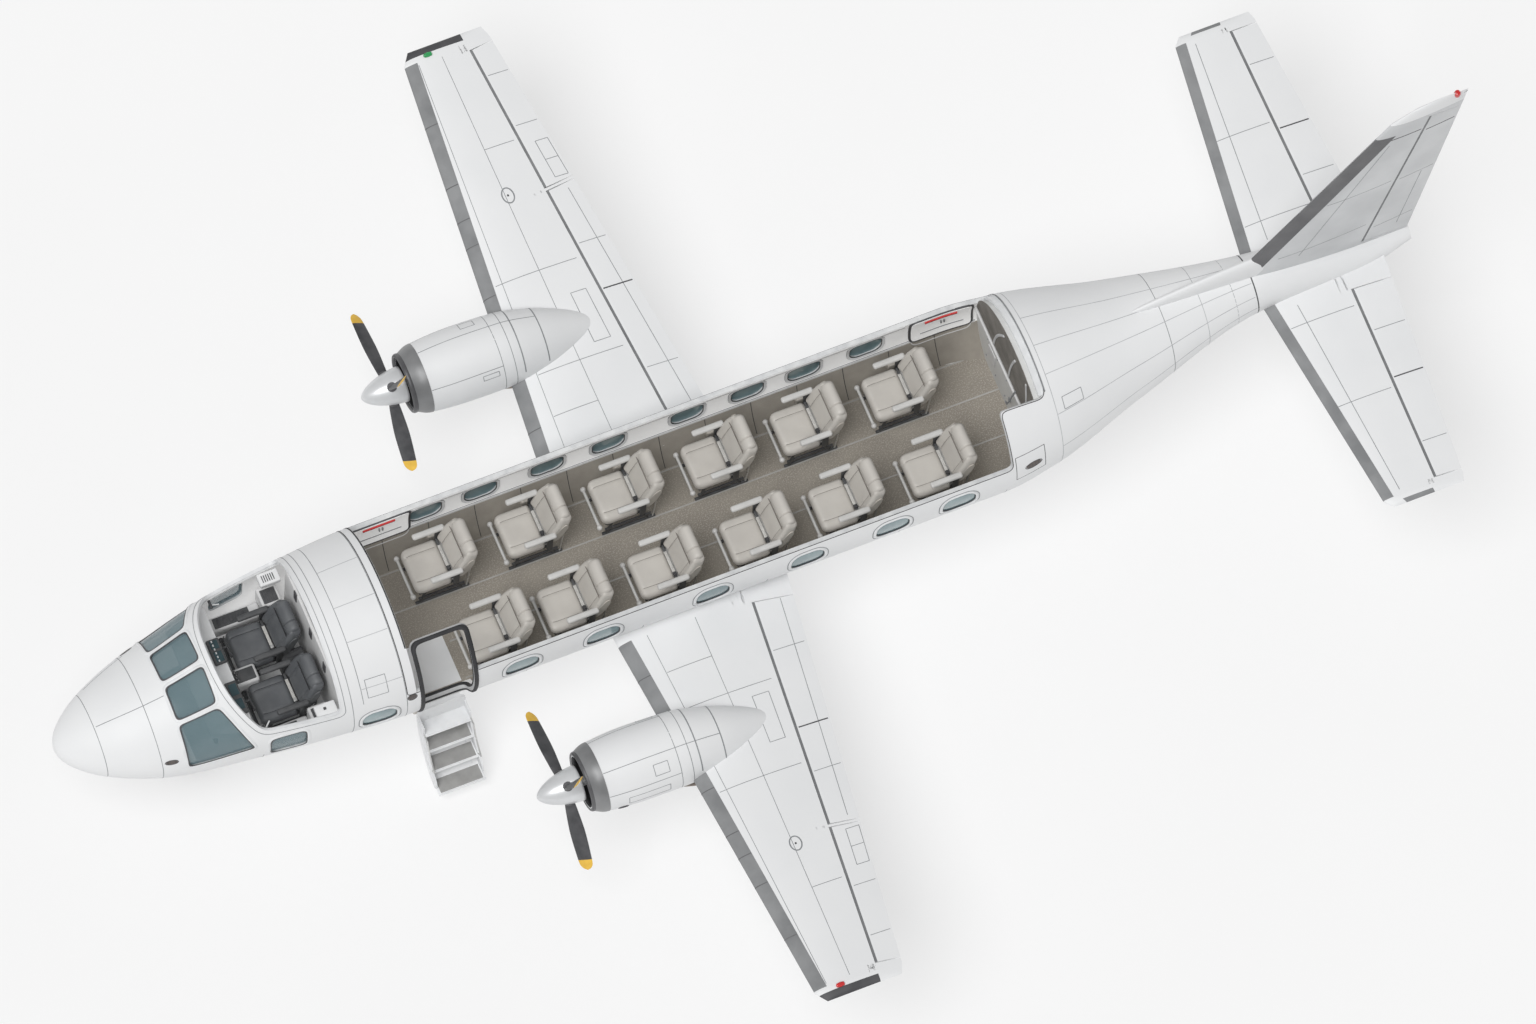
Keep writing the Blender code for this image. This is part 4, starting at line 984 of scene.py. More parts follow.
def outline_of(hole, stations, angles, spacing=0.02):
    """The edge of a hole as one smooth closed path of stations and angles."""
    cut = trimmed(lines_between(*stations, spacing), lines_between(*angles, 1.2), hole)
    path = even(skin, max(borders(cut), key=len), spacing)
    for _ in range(3):
        path = (np.roll(path, 1, 0) + 2 * path + np.roll(path, -1, 0)) / 4
    return path


def window_edge(middle, side, half_u, half_v, radius):
    """The outline of a cabin window, or one round it, as a path on the body."""
    edge = rounded_box(half_u, half_v, radius, 8)
    centre = side * float(angle_at(middle, WINDOW_Z))
    return np.stack([middle + edge[:, 0], centre + np.degrees(edge[:, 1] / radius_at(middle))], -1)


def make_windows():
    """Glass in every hole, with a raised frame round it inside and out."""
    frames, seals = Shape(), Shape()
    round_bar = circle(0.006, 6)
    sizes = bpy.context.scene.airliner_sizes
    halves = np.array([sizes.window_length, sizes.window_height]) / 2
    reach = math.degrees(halves[1] / BODY_R) + 3
    for number, (middle, side) in enumerate(WINDOW_SPOTS, 1):
        centre = side * float(angle_at(middle, WINDOW_Z))
        spans = (middle - 0.25, middle + 0.25), (centre - reach, centre + reach)
        pane(f"cabin_window_{number:02d}", window_hole(middle, side, 0.012), *spans, 0.018, "window_glass")
        for grow, depth, target, section in ((0.014, 0.0, frames, BEAD), (-0.004, 0.012, seals, round_bar)):
            path = window_edge(middle, side, *(halves + grow), (halves + grow).min() * 0.8)
            bead(target, skin_at(depth), path, section)
        lip = ((-0.018, -0.006), (-0.018, 0.006), (0.012, 0.010), (0.016, -0.006))
        bead(frames, inner_wall, window_edge(middle, side, *(halves + 0.012), 0.11), lip)
        for grow in (-0.008, 0.022):
            path = window_edge(middle, side, *(halves + grow), 0.11 + grow / 2)
            bead(seals, inner_wall, path, strip(0.009, 0.007))
    piece("window_frames", frames, "white_trim", slot="white_composite")
    piece("window_seals", seals, "seam_dark", slot="black_seal")


def make_cockpit_glass():
    """The four windscreen panes and the two side windows, each with a seal and a frame."""
    frames, seals = Shape(), Shape()
    number = 0
    for side, word in SIDES:
        for low, high in PANES:
            number += 1
            stands = "windshield_glass" if number == 1 else ()
            spans = (1.15, 1.98), sorted((side * 0.5, side * 84.0))
            holes = [pane_hole(low, high, side, grow) for grow in (0.010, -0.004, 0.012)]
            pane(f"windscreen_{number}", holes[0], *spans, 0.016, "pane_glass", stands)
            bead(seals, skin, outline_of(holes[1], *spans), strip(0.02, 0.004, 0.004))
            bead(frames, skin, outline_of(holes[2], *spans), BEAD)
        front, rear, low, high = SIDE_WINDOW
        spans = (front - 0.05, rear + 0.05), sorted((side * (low - 4), side * (high + 4)))
        stands = f"side_window_{word}"
        pane(f"cockpit_window_{word}", side_window_hole(side, 0.010), *spans, 0.016, "pane_glass", stands)
        bead(seals, skin, outline_of(side_window_hole(side, -0.004), *spans), strip(0.02, 0.004))
        bead(frames, skin, outline_of(side_window_hole(side, 0.012), *spans), BEAD)
    piece("windscreen_frames", frames, "white_trim", slot="white_composite")
    piece("windscreen_seals", seals, "seam_dark", slot="black_seal")


# Wings and tail

LIP, LIP_T = 0.012, 0.003  # where the fixed skin ends ahead of a surface's hinge line, and its thickness
BOOT_RISE, BOOT_SUNK = 0.0015, 0.002
DORSAL = (12.10, 13.86, 1.03)  # from its tip to inside the fin, and its height there


def chord_at(ends, place, column=2):
    """A panel's chord, thickness and hinge fraction at a place along its span."""
    root, tip = ends
    share = (place - root[column]) / (tip[column] - root[column])
    chord = (root[1] - root[0]) * (1 - share) + (tip[1] - tip[0]) * share
    thick = root[4] * (1 - share) + tip[4] * share
    hinge = root[5] * (1 - share) + tip[5] * share
    return chord, thick, hinge


def fraction_by(ends, place, metres, column=2):
    """The chord fraction at a distance behind the hinge line, or ahead of it where it is negative."""
    chord, _thick, hinge = chord_at(ends, place, column)
    ahead = NOMINAL_HINGE + metres / chord * NOMINAL_HINGE / hinge
    behind = NOMINAL_HINGE + metres / chord * (1 - NOMINAL_HINGE) / (1 - hinge)
    return np.where(metres < 0, ahead, behind)


def boot_reach(ends, place, depth, column=2):
    """The chord fraction, on the panel's scale, that a boot's depth takes up at a place."""
    chord, _thick, hinge = chord_at(ends, place, column)
    return depth / chord * NOMINAL_HINGE / hinge


def hinge_half(ends, place, column=2):
    """Half the section's thickness at the hinge line."""
    chord, thick, hinge = chord_at(ends, place, column)
    return half_thickness(hinge) * thick * chord


def root_place(surface, signed):
    """Distances from the centre line at which a wing's section goes into the middle of the body's wall."""
    place = np.full(np.shape(signed), 0.85)
    for _ in range(5):
        height = surface(place, signed)[..., 2] - AXIS_Z
        place = np.sqrt(np.maximum((BODY_R - WALL / 2) ** 2 - height**2, 0.0))
    return place


def square_row(ends, side, upright, place, signed):
    """A section's points where the plane square to the hinge line at a place cuts the panel."""
    surface = panel(ends, side, upright)
    column = 3 if upright else 2
    low, high = ends[0][column], ends[1][column]
    hinge = np.array([surface(p, np.array([NOMINAL_HINGE, -NOMINAL_HINGE])).mean(0) for p in (low, high)])
    along = unit(hinge[1] - hinge[0])
    centre = hinge[0] + (hinge[1] - hinge[0]) * (place - low) / (high - low)
    start, end = surface(low, signed), surface(high, signed)
    share = ((centre - start) @ along) / ((end - start) @ along)
    return start + share[:, None] * (end - start)


def round_the_front(low, high, count=26):
    """Chord fractions from the upper face at low, round the leading edge, to the lower at high."""
    upper = low * (0.5 + 0.5 * np.cos(np.linspace(0, np.pi, count)))
    lower = high * (0.5 - 0.5 * np.cos(np.linspace(0, np.pi, count)))[1:]
    return np.concatenate([upper, -lower])


def fixed_part(shape, ends, side, upright, span, room_up, room_down):
    """The part ahead of the hinge: a skin round the leading edge, and a hollow that a surface turns in.

    Room is how far ahead of the hinge line each lip ends, as a part of the thickness there.
    """
    column = 3 if upright else 2
    surface = panel(ends, side, upright)
    rows = []
    for place in np.linspace(*span, 14):
        half = float(hinge_half(ends, place, column))
        up = float(fraction_by(ends, place, -(LIP + room_up * half), column))
        down = float(fraction_by(ends, place, -(LIP + room_down * half), column))
        back = float(fraction_by(ends, place, -(half + 0.012), column))
        around = round_the_front(up, down)
        inwards = np.array([-down, -back, back, up])
        if place == WING[0][2]:
            outer = surface(root_place(surface, around), around)
            inner = surface(root_place(surface, inwards), inwards, LIP_T)
        else:
            outer, inner = surface(place, around), surface(place, inwards, LIP_T)
        rows.append(np.concatenate([outer, inner]))
    rows, count = np.array(rows), len(around)
    shape.grid(rows[:, :count])
    # The hollow and the ends take the third finish, which the wings and tail set to a near black: painted
    # shade in the gap at the hinge.
    shape.grid(rows[:, [*range(count - 1, rows.shape[1]), 0]], 2)
    return shape.add(rows[[0, -1]].reshape(-1, 3), [ends_of(rows.shape[1])], 2)


def ends_of(count):
    """The two end faces of a row of points that closes on itself."""
    return np.array([np.arange(count)[::-1], np.arange(count) + count])


def filler(shape, ends, side, upright, span, flat_ends=(False, False)):
    """The trailing edge where there is no moving surface. A flat end isn't square to the hinge line."""
    surface = panel(ends, side, upright)
    upper = np.linspace(0.60, 1.0, 8)
    loop = np.concatenate([upper, -upper[::-1]])
    rows = []
    for place, flat in zip(np.linspace(*span, 3), (flat_ends[0], False, flat_ends[1])):
        if flat:
            rows.append(surface(root_place(surface, loop) if place == WING[0][2] else place, loop))
        else:
            rows.append(square_row(ends, side, upright, place, loop))
    return shape.grid(np.array(rows), wrap_v=True, cap=True)


def moving_part(ends, side, upright, span):
    """A surface behind its hinge line, with a round nose about the hinge."""
    shape, column = Shape(), 3 if upright else 2
    rows = []
    for place in np.linspace(span[0] + 0.003, span[1] - 0.003, 10):
        half = float(hinge_half(ends, place, column))
        start = float(fraction_by(ends, place, 0.018, column))
        upper = np.linspace(1.0, start, 9)
        row = square_row(ends, side, upright, place, np.array([NOMINAL_HINGE, -NOMINAL_HINGE, 0.0]))
        centre, up = row[:2].mean(0), unit(row[0] - row[1])
        front = unit(row[2] - centre)
        front = unit(front - up * (front @ up))
        turn = np.linspace(0, np.pi, 13)[:, None]
        nose = centre + (half - LIP_T) * (up * np.cos(turn) + front * np.sin(turn))
        both = square_row(ends, side, upright, place, np.concatenate([upper, -upper[::-1]]))
        rows.append(np.concatenate([both[:9], nose, both[9:]]))
    rows, count = np.array(rows), len(nose)
    shape.grid(rows[:, :9])
    # The nose takes the second finish, a dark grey that stands for the shade in the gap at the hinge: painted
    # shade.
    shape.grid(rows[:, 8 : 10 + count], 1)
    shape.grid(rows[:, [*range(9 + count, rows.shape[1]), 0]])
    return shape.add(rows[[0, -1]].reshape(-1, 3), [ends_of(rows.shape[1])])


def rounded_end(shape, ends, side, upright, finishes=(0, 0), dark_part=(0.0, 0.0), dark_from=0.0):
    """The cap past a tip: sections from one end to the next that thin out as a quarter ellipse does."""
    tip, *caps = ends
    stops = [tip, *caps]
    fractions = round_the_front(1.0, 1.0, 22)
    rows = []
    for k, (a, b) in enumerate(zip(stops[:-1], stops[1:])):
        for share in np.linspace(0, 1, 7)[bool(k) :]:
            whole = (k + share) / len(caps)
            end = [p + (q - p) * share for p, q in zip(a, b)]
            end[4] = tip[4] * math.sqrt(max(0.0, 1 - whole**2)) + 0.004 * whole
            face = np.where(fractions < 0, -1.0, 1.0)
            rows.append(end_point(end, np.abs(fractions), face, side, upright))
    rows = np.array(rows)
    size = fractions[:-1] + np.diff(fractions) / 2
    dark = (np.abs(size) > dark_part[0]) & (np.abs(size) < dark_part[1])
    start = int(dark_from * (len(rows) - 1))
    for row in range(len(rows) - 1):
        for chosen, finish in ((dark, finishes[1]), (~dark, finishes[0])):
            columns = np.flatnonzero(chosen)
            if row < start:
                finish = finishes[0]
            next_row = columns + len(fractions)
            quads = np.stack([columns, next_row, next_row + 1, columns + 1], -1)
            if len(columns):
                shape.add(rows[row : row + 2].reshape(-1, 3), quads, finish)
    middle = len(fractions) // 2
    for row, turn in ((rows[0], 1), (rows[-1], -1)):
        upper, lower = row[: middle + 1], row[middle:][::-1]
        shape.grid(np.stack([upper, lower])[::turn], finishes[0])
    return shape


def boot(ends, side, upright, span, depth=0.14):
    """A de-icing boot: a thin skin round the leading edge, with its edges closed."""
    surface = panel(ends, side, upright)
    rows = []
    for place in np.linspace(*span, 12):
        reach = boot_reach(ends, place, depth, 3 if upright else 2)
        around = round_the_front(reach, reach, 9)
        outer, inner = surface(place, around, -BOOT_RISE), surface(place, around[::-1], BOOT_SUNK)
        rows.append(np.concatenate([outer, inner]))
    return Shape().grid(np.array(rows), wrap_v=True, cap=True)


def dorsal(shape):
    """The dorsal fin: a ridge that rises from a point on the tail cone's top to the fin."""
    front, rear, height = DORSAL
    stations = np.linspace(front, rear, 30)
    share = (stations - front) / (rear - front)
    _half, middle, reach = oval(BODY, stations)
    foot = middle + reach
    crest = foot + 0.004 + (height - foot[-1]) * share**0.8
    angle = np.linspace(-np.pi / 2, np.pi / 2, 17)
    half = 0.02 + 0.05 * np.sqrt(share)
    y = half[:, None] * np.sin(angle)
    z = foot[:, None] - 0.07 + (crest - foot + 0.07)[:, None] * np.cos(angle) ** 0.55
    return shape.grid(at(stations[:, None], y, z), 1, wrap_v=True, cap=True)


def moving_piece(name, ends, side, upright, span, finish="white_paint", slot="white_composite"):
    """A flap, aileron, elevator or rudder in place of the CAD's, on its body."""
    surface = moving_part(ends, side, upright, span)
    word = name.replace("_", "_skin_", 1) if "_" in name else name + "_skin"
    # The second finish darkens the nose in the hinge gap: painted shade.
    piece(word, surface, (finish, "hinge_grey"), name, slot, name, sharp=30)


def make_wings():
    """The wings with their tips, boots, flaps and ailerons."""
    for side, word in SIDES:
        shape = Shape()
        fixed_part(shape, WING, side, False, (0.70, 3.862), 0.0, 0.66)
        fixed_part(shape, WING, side, False, (3.862, 5.60), 0.0, 0.0)
        filler(shape, WING, side, False, (0.70, 1.114), (True, False))
        filler(shape, WING, side, False, (3.847, 3.873))
        filler(shape, WING, side, False, (5.527, 5.60), (False, True))
        rounded_end(shape, (WING[1], WING_CAP), side, False, (0, 1), (0.0, 0.66), 0.42)
        # The third finish darkens the hollow behind the hinge line: painted shade.
        finishes = ("white_paint", "charcoal", "seam_dark")
        piece(f"wing_skin_{word}", shape, finishes, slot="white_paint", stands_for=f"wing_{word}", sharp=30)
        piece(f"wing_boot_{word}", boot(WING, side, False, (1.04, 5.58)), "boot_grey")
        moving_piece(f"flap_{word}", WING, side, False, FLAP, slot="white_paint")
        moving_piece(f"aileron_{word}", WING, side, False, AILERON, slot="white_paint")


def make_tail():
    """The tailplanes with their elevators, and the fin with its dorsal part and the rudder."""
    for side, word in SIDES:
        shape = Shape()
        fixed_part(shape, TAIL, side, False, (0.06, 2.78), 0.0, 0.0)
        filler(shape, TAIL, side, False, (0.06, ELEVATOR[0] - 0.006), (True, False))
        filler(shape, TAIL, side, False, (ELEVATOR[1] + 0.006, 2.78), (False, True))
        rounded_end(shape, (TAIL[1], TAIL_CAP), side, False, (0, 1), (0.17, 0.62), 0.6)
        # The third finish darkens the hollow behind the hinge line: painted shade.
        finishes, stands = ("white_paint", "boot_grey", "seam_dark"), f"tailplane_{word}"
        piece(f"tailplane_skin_{word}", shape, finishes, slot="white_composite", stands_for=stands, sharp=30)
        piece(f"tail_boot_{word}", boot(TAIL, side, False, (0.20, 2.77), 0.115), "boot_grey")
        moving_piece(f"elevator_{word}", TAIL, side, False, ELEVATOR)
    shape = Shape()
    fixed_part(shape, FIN, 1, True, (0.30, 3.34), 0.0, 0.0)
    filler(shape, FIN, 1, True, (0.30, RUDDER[0] - 0.006), (True, False))
    filler(shape, FIN, 1, True, (RUDDER[1] + 0.006, 3.34), (False, True))
    rounded_end(shape, (FIN[1], *FIN_CAPS), 1, True, (1, 1))
    dorsal(shape)
    # The third finish darkens the hollow behind the rudder's hinge line: painted shade.
    finishes = ("fin_paint", "white_paint", "seam_dark")
    piece("fin_skin", shape, finishes, slot="white_composite", stands_for="fin", sharp=30)
    piece("fin_boot", boot(FIN, 1, True, (0.62, 3.10), 0.20), "boot_dark")
    moving_piece("rudder", FIN, 1, True, RUDDER, "fin_paint")


# Nacelles, propellers and landing gear

COWL_FRONT, COWL_END, FIREWALL = 4.92, 7.08, 5.88
ENGINE_FRONT, ENGINE_R = 5.16, 0.24
SPINNER_BACK, SPINNER_LENGTH, SPINNER_R = 4.89, 0.47, 0.195
PROP_STATION = 4.74
BLADE_ANGLES = (19.0, 139.0, 259.0)
BLADE = np.array(
    (
        (0.10, 0.080, 0.055, 76.0),
        (0.28, 0.125, 0.036, 70.0),
        (0.60, 0.165, 0.022, 62.0),
        (0.90, 0.150, 0.014, 57.0),
        (1.01, 0.115, 0.010, 55.0),
    )
)  # distance from the axis, chord, thickness, pitch
TIP_PAINT = 0.885
ROUND_FROM = 0.94  # the blade's end is an ellipse past this distance
MAIN_STATION, MAIN_R, MAIN_HALF, MAIN_BORE = 7.08, 0.36, 0.12, 0.042
NOSE_STATION, NOSE_R, NOSE_HALF, NOSE_BORE, NOSE_WHEEL_Y = 1.62, 0.23, 0.07, 0.027, 0.135
LEG_IN = 0.21


def on_axis(side):
    """A nacelle's or an engine's place: the given station on its axis."""
    return lambda station: at(station, side * ENGINE_Y, ENGINE_Z)


def make_nacelle(side, word):
    """A nacelle's skin with its intake and firewall, and the dark lip round its mouth."""
    surface, degrees = nacelle(side), np.arange(0, 360, 5.0)
    mouth = COWL_FRONT + 0.6 * np.linspace(0, 1, 17) ** 1.5
    stations = np.concatenate([mouth, lines_between(5.6, COWL_END, 0.06)])
    shape = Shape()
    outer = surface(stations[:, None], degrees[None])
    inner = surface(lines_between(COWL_FRONT, FIREWALL, 0.08)[:, None], degrees[None], 0.03)
    shape.grid(np.concatenate([to_middle(inner[-1])[None], inner[::-1]]), 1, wrap_v=True)
    shape.grid(np.stack([inner[0], outer[0]]), 0, wrap_v=True)
    shape.grid(outer, 0, wrap_v=True)
    shape.grid(np.stack([outer[-1], to_middle(outer[-1])]), 0, wrap_v=True)
    finishes, stands = ("white_paint", "lip_dark"), f"nacelle_{word}"
    piece(f"nacelle_skin_{word}", shape, finishes, slot="white_paint", stands_for=stands, sharp=50)
    lip = Shape()
    turn = np.linspace(0, 2 * np.pi, 12, False)
    section = np.stack([-0.012 + 0.033 * np.cos(turn), -0.010 + 0.022 * np.sin(turn)], -1)
    points, _normals = on(surface, COWL_FRONT + 0.012 + 0 * degrees, degrees)
    outwards = points - on_axis(side)(COWL_FRONT)
    outwards[:, 0] = 0
    swept(lip, points, unit(outwards), section, closed=True)
    band = surface(stations[:8, None], degrees[None], -0.003)
    under = surface(stations[7::-1, None], degrees[None], 0.002)
    lip.grid(np.concatenate([band, under]), 1, wrap_u=True, wrap_v=True)
    piece(f"cowl_lip_{word}", lip, ("lip_dark", "cowl_grey"), slot="white_composite", sharp=50)


def make_engine(side, word):
    """An engine's case: a drum with a stepped face and a ring of nine short tubes."""
    shape, length = Shape(), FIREWALL - ENGINE_FRONT - 0.01
    profile = [(0.0, 0.0), (ENGINE_R * 0.5, 0.0), (ENGINE_R * 0.52, 0.03), (ENGINE_R * 0.9, 0.03)]
    profile += [(ENGINE_R, 0.06), (ENGINE_R, length), (0.0, length)]
    revolved(shape, profile, on_axis(side)(ENGINE_FRONT), (-1, 0, 0), 40)
    for angle in 2 * np.pi * np.arange(9) / 9:
        front = on_axis(side)(ENGINE_FRONT + 0.03) + (0.012, 0.17 * math.sin(angle), 0.17 * math.cos(angle))
        tube(shape, [front, front - (0.12, 0, 0)], 0.03, 12)
    stands = f"engine_{word}"
    piece(f"engine_case_{word}", shape, "engine_metal", slot="engine_metal", stands_for=stands, sharp=40)


def round_x(degrees):
    """The direction away from the propeller's axis at an angle from the top."""
    turn = math.radians(degrees)
    return np.array([0.0, math.sin(turn), math.cos(turn)])


def blade(shape, centre, degrees):
    """A blade of smooth sections: a thin lens whose chord, thickness and pitch run through the rows."""
    outwards = round_x(degrees)
    around, reach = np.array([0.0, outwards[2], -outwards[1]]), BLADE[-1, 0]
    places = np.concatenate([np.linspace(0.10, TIP_PAINT, 26), np.linspace(TIP_PAINT, reach, 12)[1:]])
    round_off = np.sqrt(np.clip(1 - ((places - ROUND_FROM) / (reach - ROUND_FROM)) ** 2, 0.01, 1))
    chords = smooth(BLADE, 1, places) * np.where(places > ROUND_FROM, round_off, 1.0)
    thick, pitch = smooth(BLADE, 2, places), np.radians(smooth(BLADE, 3, places))
    angle = 2 * np.pi * np.arange(20) / 20
    across = around * np.cos(pitch)[:, None] + np.array([1.0, 0, 0]) * np.sin(pitch)[:, None]
    through_it = np.cross(outwards, across)
    wide = np.cos(angle)[None, :, None] * (chords / 2)[:, None, None]
    deep = np.sin(angle)[None, :, None] * (thick / 2)[:, None, None]
    rows = centre + outwards * places[:, None, None] + across[:, None] * wide + through_it[:, None] * deep
    split = int(np.searchsorted(places, TIP_PAINT - 1e-6))
    shape.grid(rows[: split + 1], 1, wrap_v=True)
    shape.grid(rows[split:], 2, wrap_v=True)
    shape.grid(np.stack([rows[-1], to_middle(rows[-1])]), 2, wrap_v=True)
    shape.grid(np.stack([to_middle(rows[0]), rows[0]]), 1, wrap_v=True)


def make_propeller(side, word):
    """A spinner with three blades, each in a dark root."""
    shape, u = Shape(), np.linspace(0, 1, 25) * np.pi / 2
    nose = np.stack([SPINNER_R * np.sin(u) ** 1.15, SPINNER_LENGTH * np.cos(u) ** 1.15], -1)
    shaft = ((0.05, -0.004), (0.05, -0.25), (0.0, -0.25))
    profile = [*nose, (SPINNER_R, 0.0), (SPINNER_R - 0.004, -0.004), *shaft]
    revolved(shape, profile, on_axis(side)(SPINNER_BACK), (1, 0, 0), 48)
    root = ((0.0, 0.10), (0.052, 0.12), (0.052, 0.185), (0.044, 0.20), (0.0, 0.20))
    centre = on_axis(side)(PROP_STATION)
    for degrees in BLADE_ANGLES:
        blade(shape, centre, degrees)
        revolved(shape, root, centre, round_x(degrees), 24, 3, start=(1.0, 0.0, 0.0))
    finishes, name = ("spinner_white", "blade", "blade_tip", "lip_dark"), f"propeller_{word}"
    piece(f"propeller_skin_{word}", shape, finishes, name, "blade_black", name, sharp=50)


def make_engines():
    """Both nacelles with their engines, and both propellers."""
    for side, word in SIDES:
        make_nacelle(side, word)
        make_engine(side, word)
    for side, word in SIDES:
        make_propeller(side, word)


TREAD = ((0.56, 0.80), (0.62, 0.93), (0.74, 1.0), (0.86, 0.97), (0.94, 0.84), (0.985, 0.62), (1.0, 0.42))
GROOVES = ((0, 0.33), (1, 0.315), (1, 0.245), (0, 0.23), (0, 0.05), (1, 0.035))  # 1 is sunk, 0 is not
GROOVE_DEPTH = 0.006
RIM = ((0.24, 0.9), (0.28, 0.5), (0.46, 0.42), (0.53, 0.72), (0.57, 0.84), (0.545, 0.7))


def wheel(shape, centre, radius, half, bore):
    """A tyre with a rounded tread and grooves, a rim with holes for its bolts, and a hub."""
    side = [(radius * r, half * w) for r, w in TREAD]
    side += [(radius - GROOVE_DEPTH * sunk, half * w) for sunk, w in GROOVES]
    outline = side + [(r, -w) for r, w in reversed(side)]
    outline += [(radius * 0.54, -half * 0.80), (radius * 0.54, half * 0.80), outline[0]]
    revolved(shape, outline, centre, (0, 1, 0), 48, 0)
    rim = [(bore, half * 0.9), *[(r * radius, half * w) for r, w in RIM]]
    rim += [(r, -w) for r, w in reversed(rim)]
    revolved(shape, [*rim, rim[0]], centre, (0, 1, 0), 48, 1)
    for k in range(8):
        angle = 2 * math.pi * k / 8
        spot = np.array(centre) + radius * 0.37 * np.array([math.cos(angle), 0, math.sin(angle)])
        for sign in (1, -1):
            tube(shape, [spot + (0, sign * half * 0.40, 0), spot + (0, sign * half * 0.56, 0)], 0.012, 6, 1)


def upright_tubes(shape, station, y, tubes):
    """Round bars on one upright line: from, to, radius, finish."""
    for low, high, radius, finish in tubes:
        tube(shape, [at(station, y, low), at(station, y, high)], radius, 24, finish)


def make_main_gear(side, word):
    """A main leg with its axle, brace, torque links, hose and door, and its wheel."""
    y, axle = side * ENGINE_Y, MAIN_R - AXIS_Z
    leg_y = y - side * LEG_IN
    shape = Shape()
    sliding = (axle - 0.05, -0.75, 0.045, 1)
    fixed = (-0.70, -0.33, 0.06, 0), (-0.76, -0.69, 0.07, 0)
    upright_tubes(shape, MAIN_STATION, leg_y, (*fixed, sliding, (axle - 0.07, axle + 0.09, 0.06, 0)))
    stub = [at(MAIN_STATION, leg_y, axle), at(MAIN_STATION, y + side * (MAIN_HALF + 0.004), axle)]
    tube(shape, stub, MAIN_BORE - 0.0004, 24, 1)
    tube(shape, [at(MAIN_STATION, leg_y, -0.95), at(MAIN_STATION - 0.62, leg_y, -0.35)], 0.03, 16)
    hinge = at(MAIN_STATION + 0.13, leg_y, -1.06)
    for end in (-0.80, axle + 0.06):
        for off in (-0.035, 0.035):
            tube(shape, [at(MAIN_STATION + 0.03, leg_y + off, end), hinge + (0, off, 0)], 0.014, 10)
    tube(shape, [hinge + (0, -0.05, 0), hinge + (0, 0.05, 0)], 0.018, 12)
    hose = ((0.06, -0.62), (0.085, -0.85), (0.10, -1.10), (0.07, -1.38))
    tube(shape, [at(MAIN_STATION - s, leg_y - side * 0.055, z) for s, z in hose], 0.008, 8, 2, rounds=5)
    low = at(MAIN_STATION - 0.22, y + side * 0.30, -1.10)
    block(shape, low, at(MAIN_STATION + 0.04, y + side * 0.312, -0.20), 0.005, 3)
    low, high = at(MAIN_STATION - 0.03, leg_y, -0.80), at(MAIN_STATION + 0.03, y + side * 0.303, -0.76)
    block(shape, low, high, 0.008)
    finishes, name = ("strut_white", "chrome", "rubber", "white_paint"), f"main_leg_{word}"
    piece(f"main_leg_skin_{word}", shape, finishes, slot="gear_metal", stands_for=name)
    tyre, name = Shape(), f"main_wheel_{word}"
    wheel(tyre, at(MAIN_STATION, y, axle), MAIN_R, MAIN_HALF, MAIN_BORE)
    piece(f"main_wheel_skin_{word}", tyre, ("tyre", "strut_white"), name, "tyre_rubber", name)


def make_nose_gear():
    """The nose leg, the steered fork with its axle and links, and the two wheels."""
    axle, shape = NOSE_R - AXIS_Z, Shape()
    upright_tubes(shape, NOSE_STATION, 0, ((-1.20, -0.86, 0.05, 0), (-1.198, -1.15, 0.058, 0)))
    tube(shape, [at(NOSE_STATION, 0, -1.14), at(NOSE_STATION + 0.45, 0, -0.93)], 0.025, 16)
    piece("nose_leg_skin", shape, "strut_white", slot="gear_metal", stands_for="nose_leg")
    shape, reach = Shape(), NOSE_WHEEL_Y + NOSE_HALF + 0.004
    bars = (axle - 0.04, -1.2005, 0.036, 1), (axle - 0.05, axle + 0.06, 0.05, 0)
    upright_tubes(shape, NOSE_STATION, 0, bars)
    tube(shape, [at(NOSE_STATION, y, axle) for y in (-reach, reach)], NOSE_BORE - 0.0004, 24, 1)
    for end in (-1.22, axle + 0.045):
        tube(shape, [at(NOSE_STATION + 0.03, 0, end), at(NOSE_STATION + 0.12, 0, -1.36)], 0.012, 10)
    piece("nose_fork_skin", shape, ("strut_white", "chrome"), "nose_steering", "gear_metal", "nose_fork")
    for side, word in SIDES:
        tyre, finishes = Shape(), ("tyre", "strut_white")
        wheel(tyre, at(NOSE_STATION, side * NOSE_WHEEL_Y, axle), NOSE_R, NOSE_HALF, NOSE_BORE)
        piece(f"nose_wheel_skin_{word}", tyre, finishes, "nose_wheels", "tyre_rubber", f"nose_wheel_{word}")


def make_gear():
    """The landing gear."""
    for side, word in SIDES:
        make_main_gear(side, word)
    make_nose_gear()


# The seats. Their points are (station behind the seat's middle, y, height) until they are placed

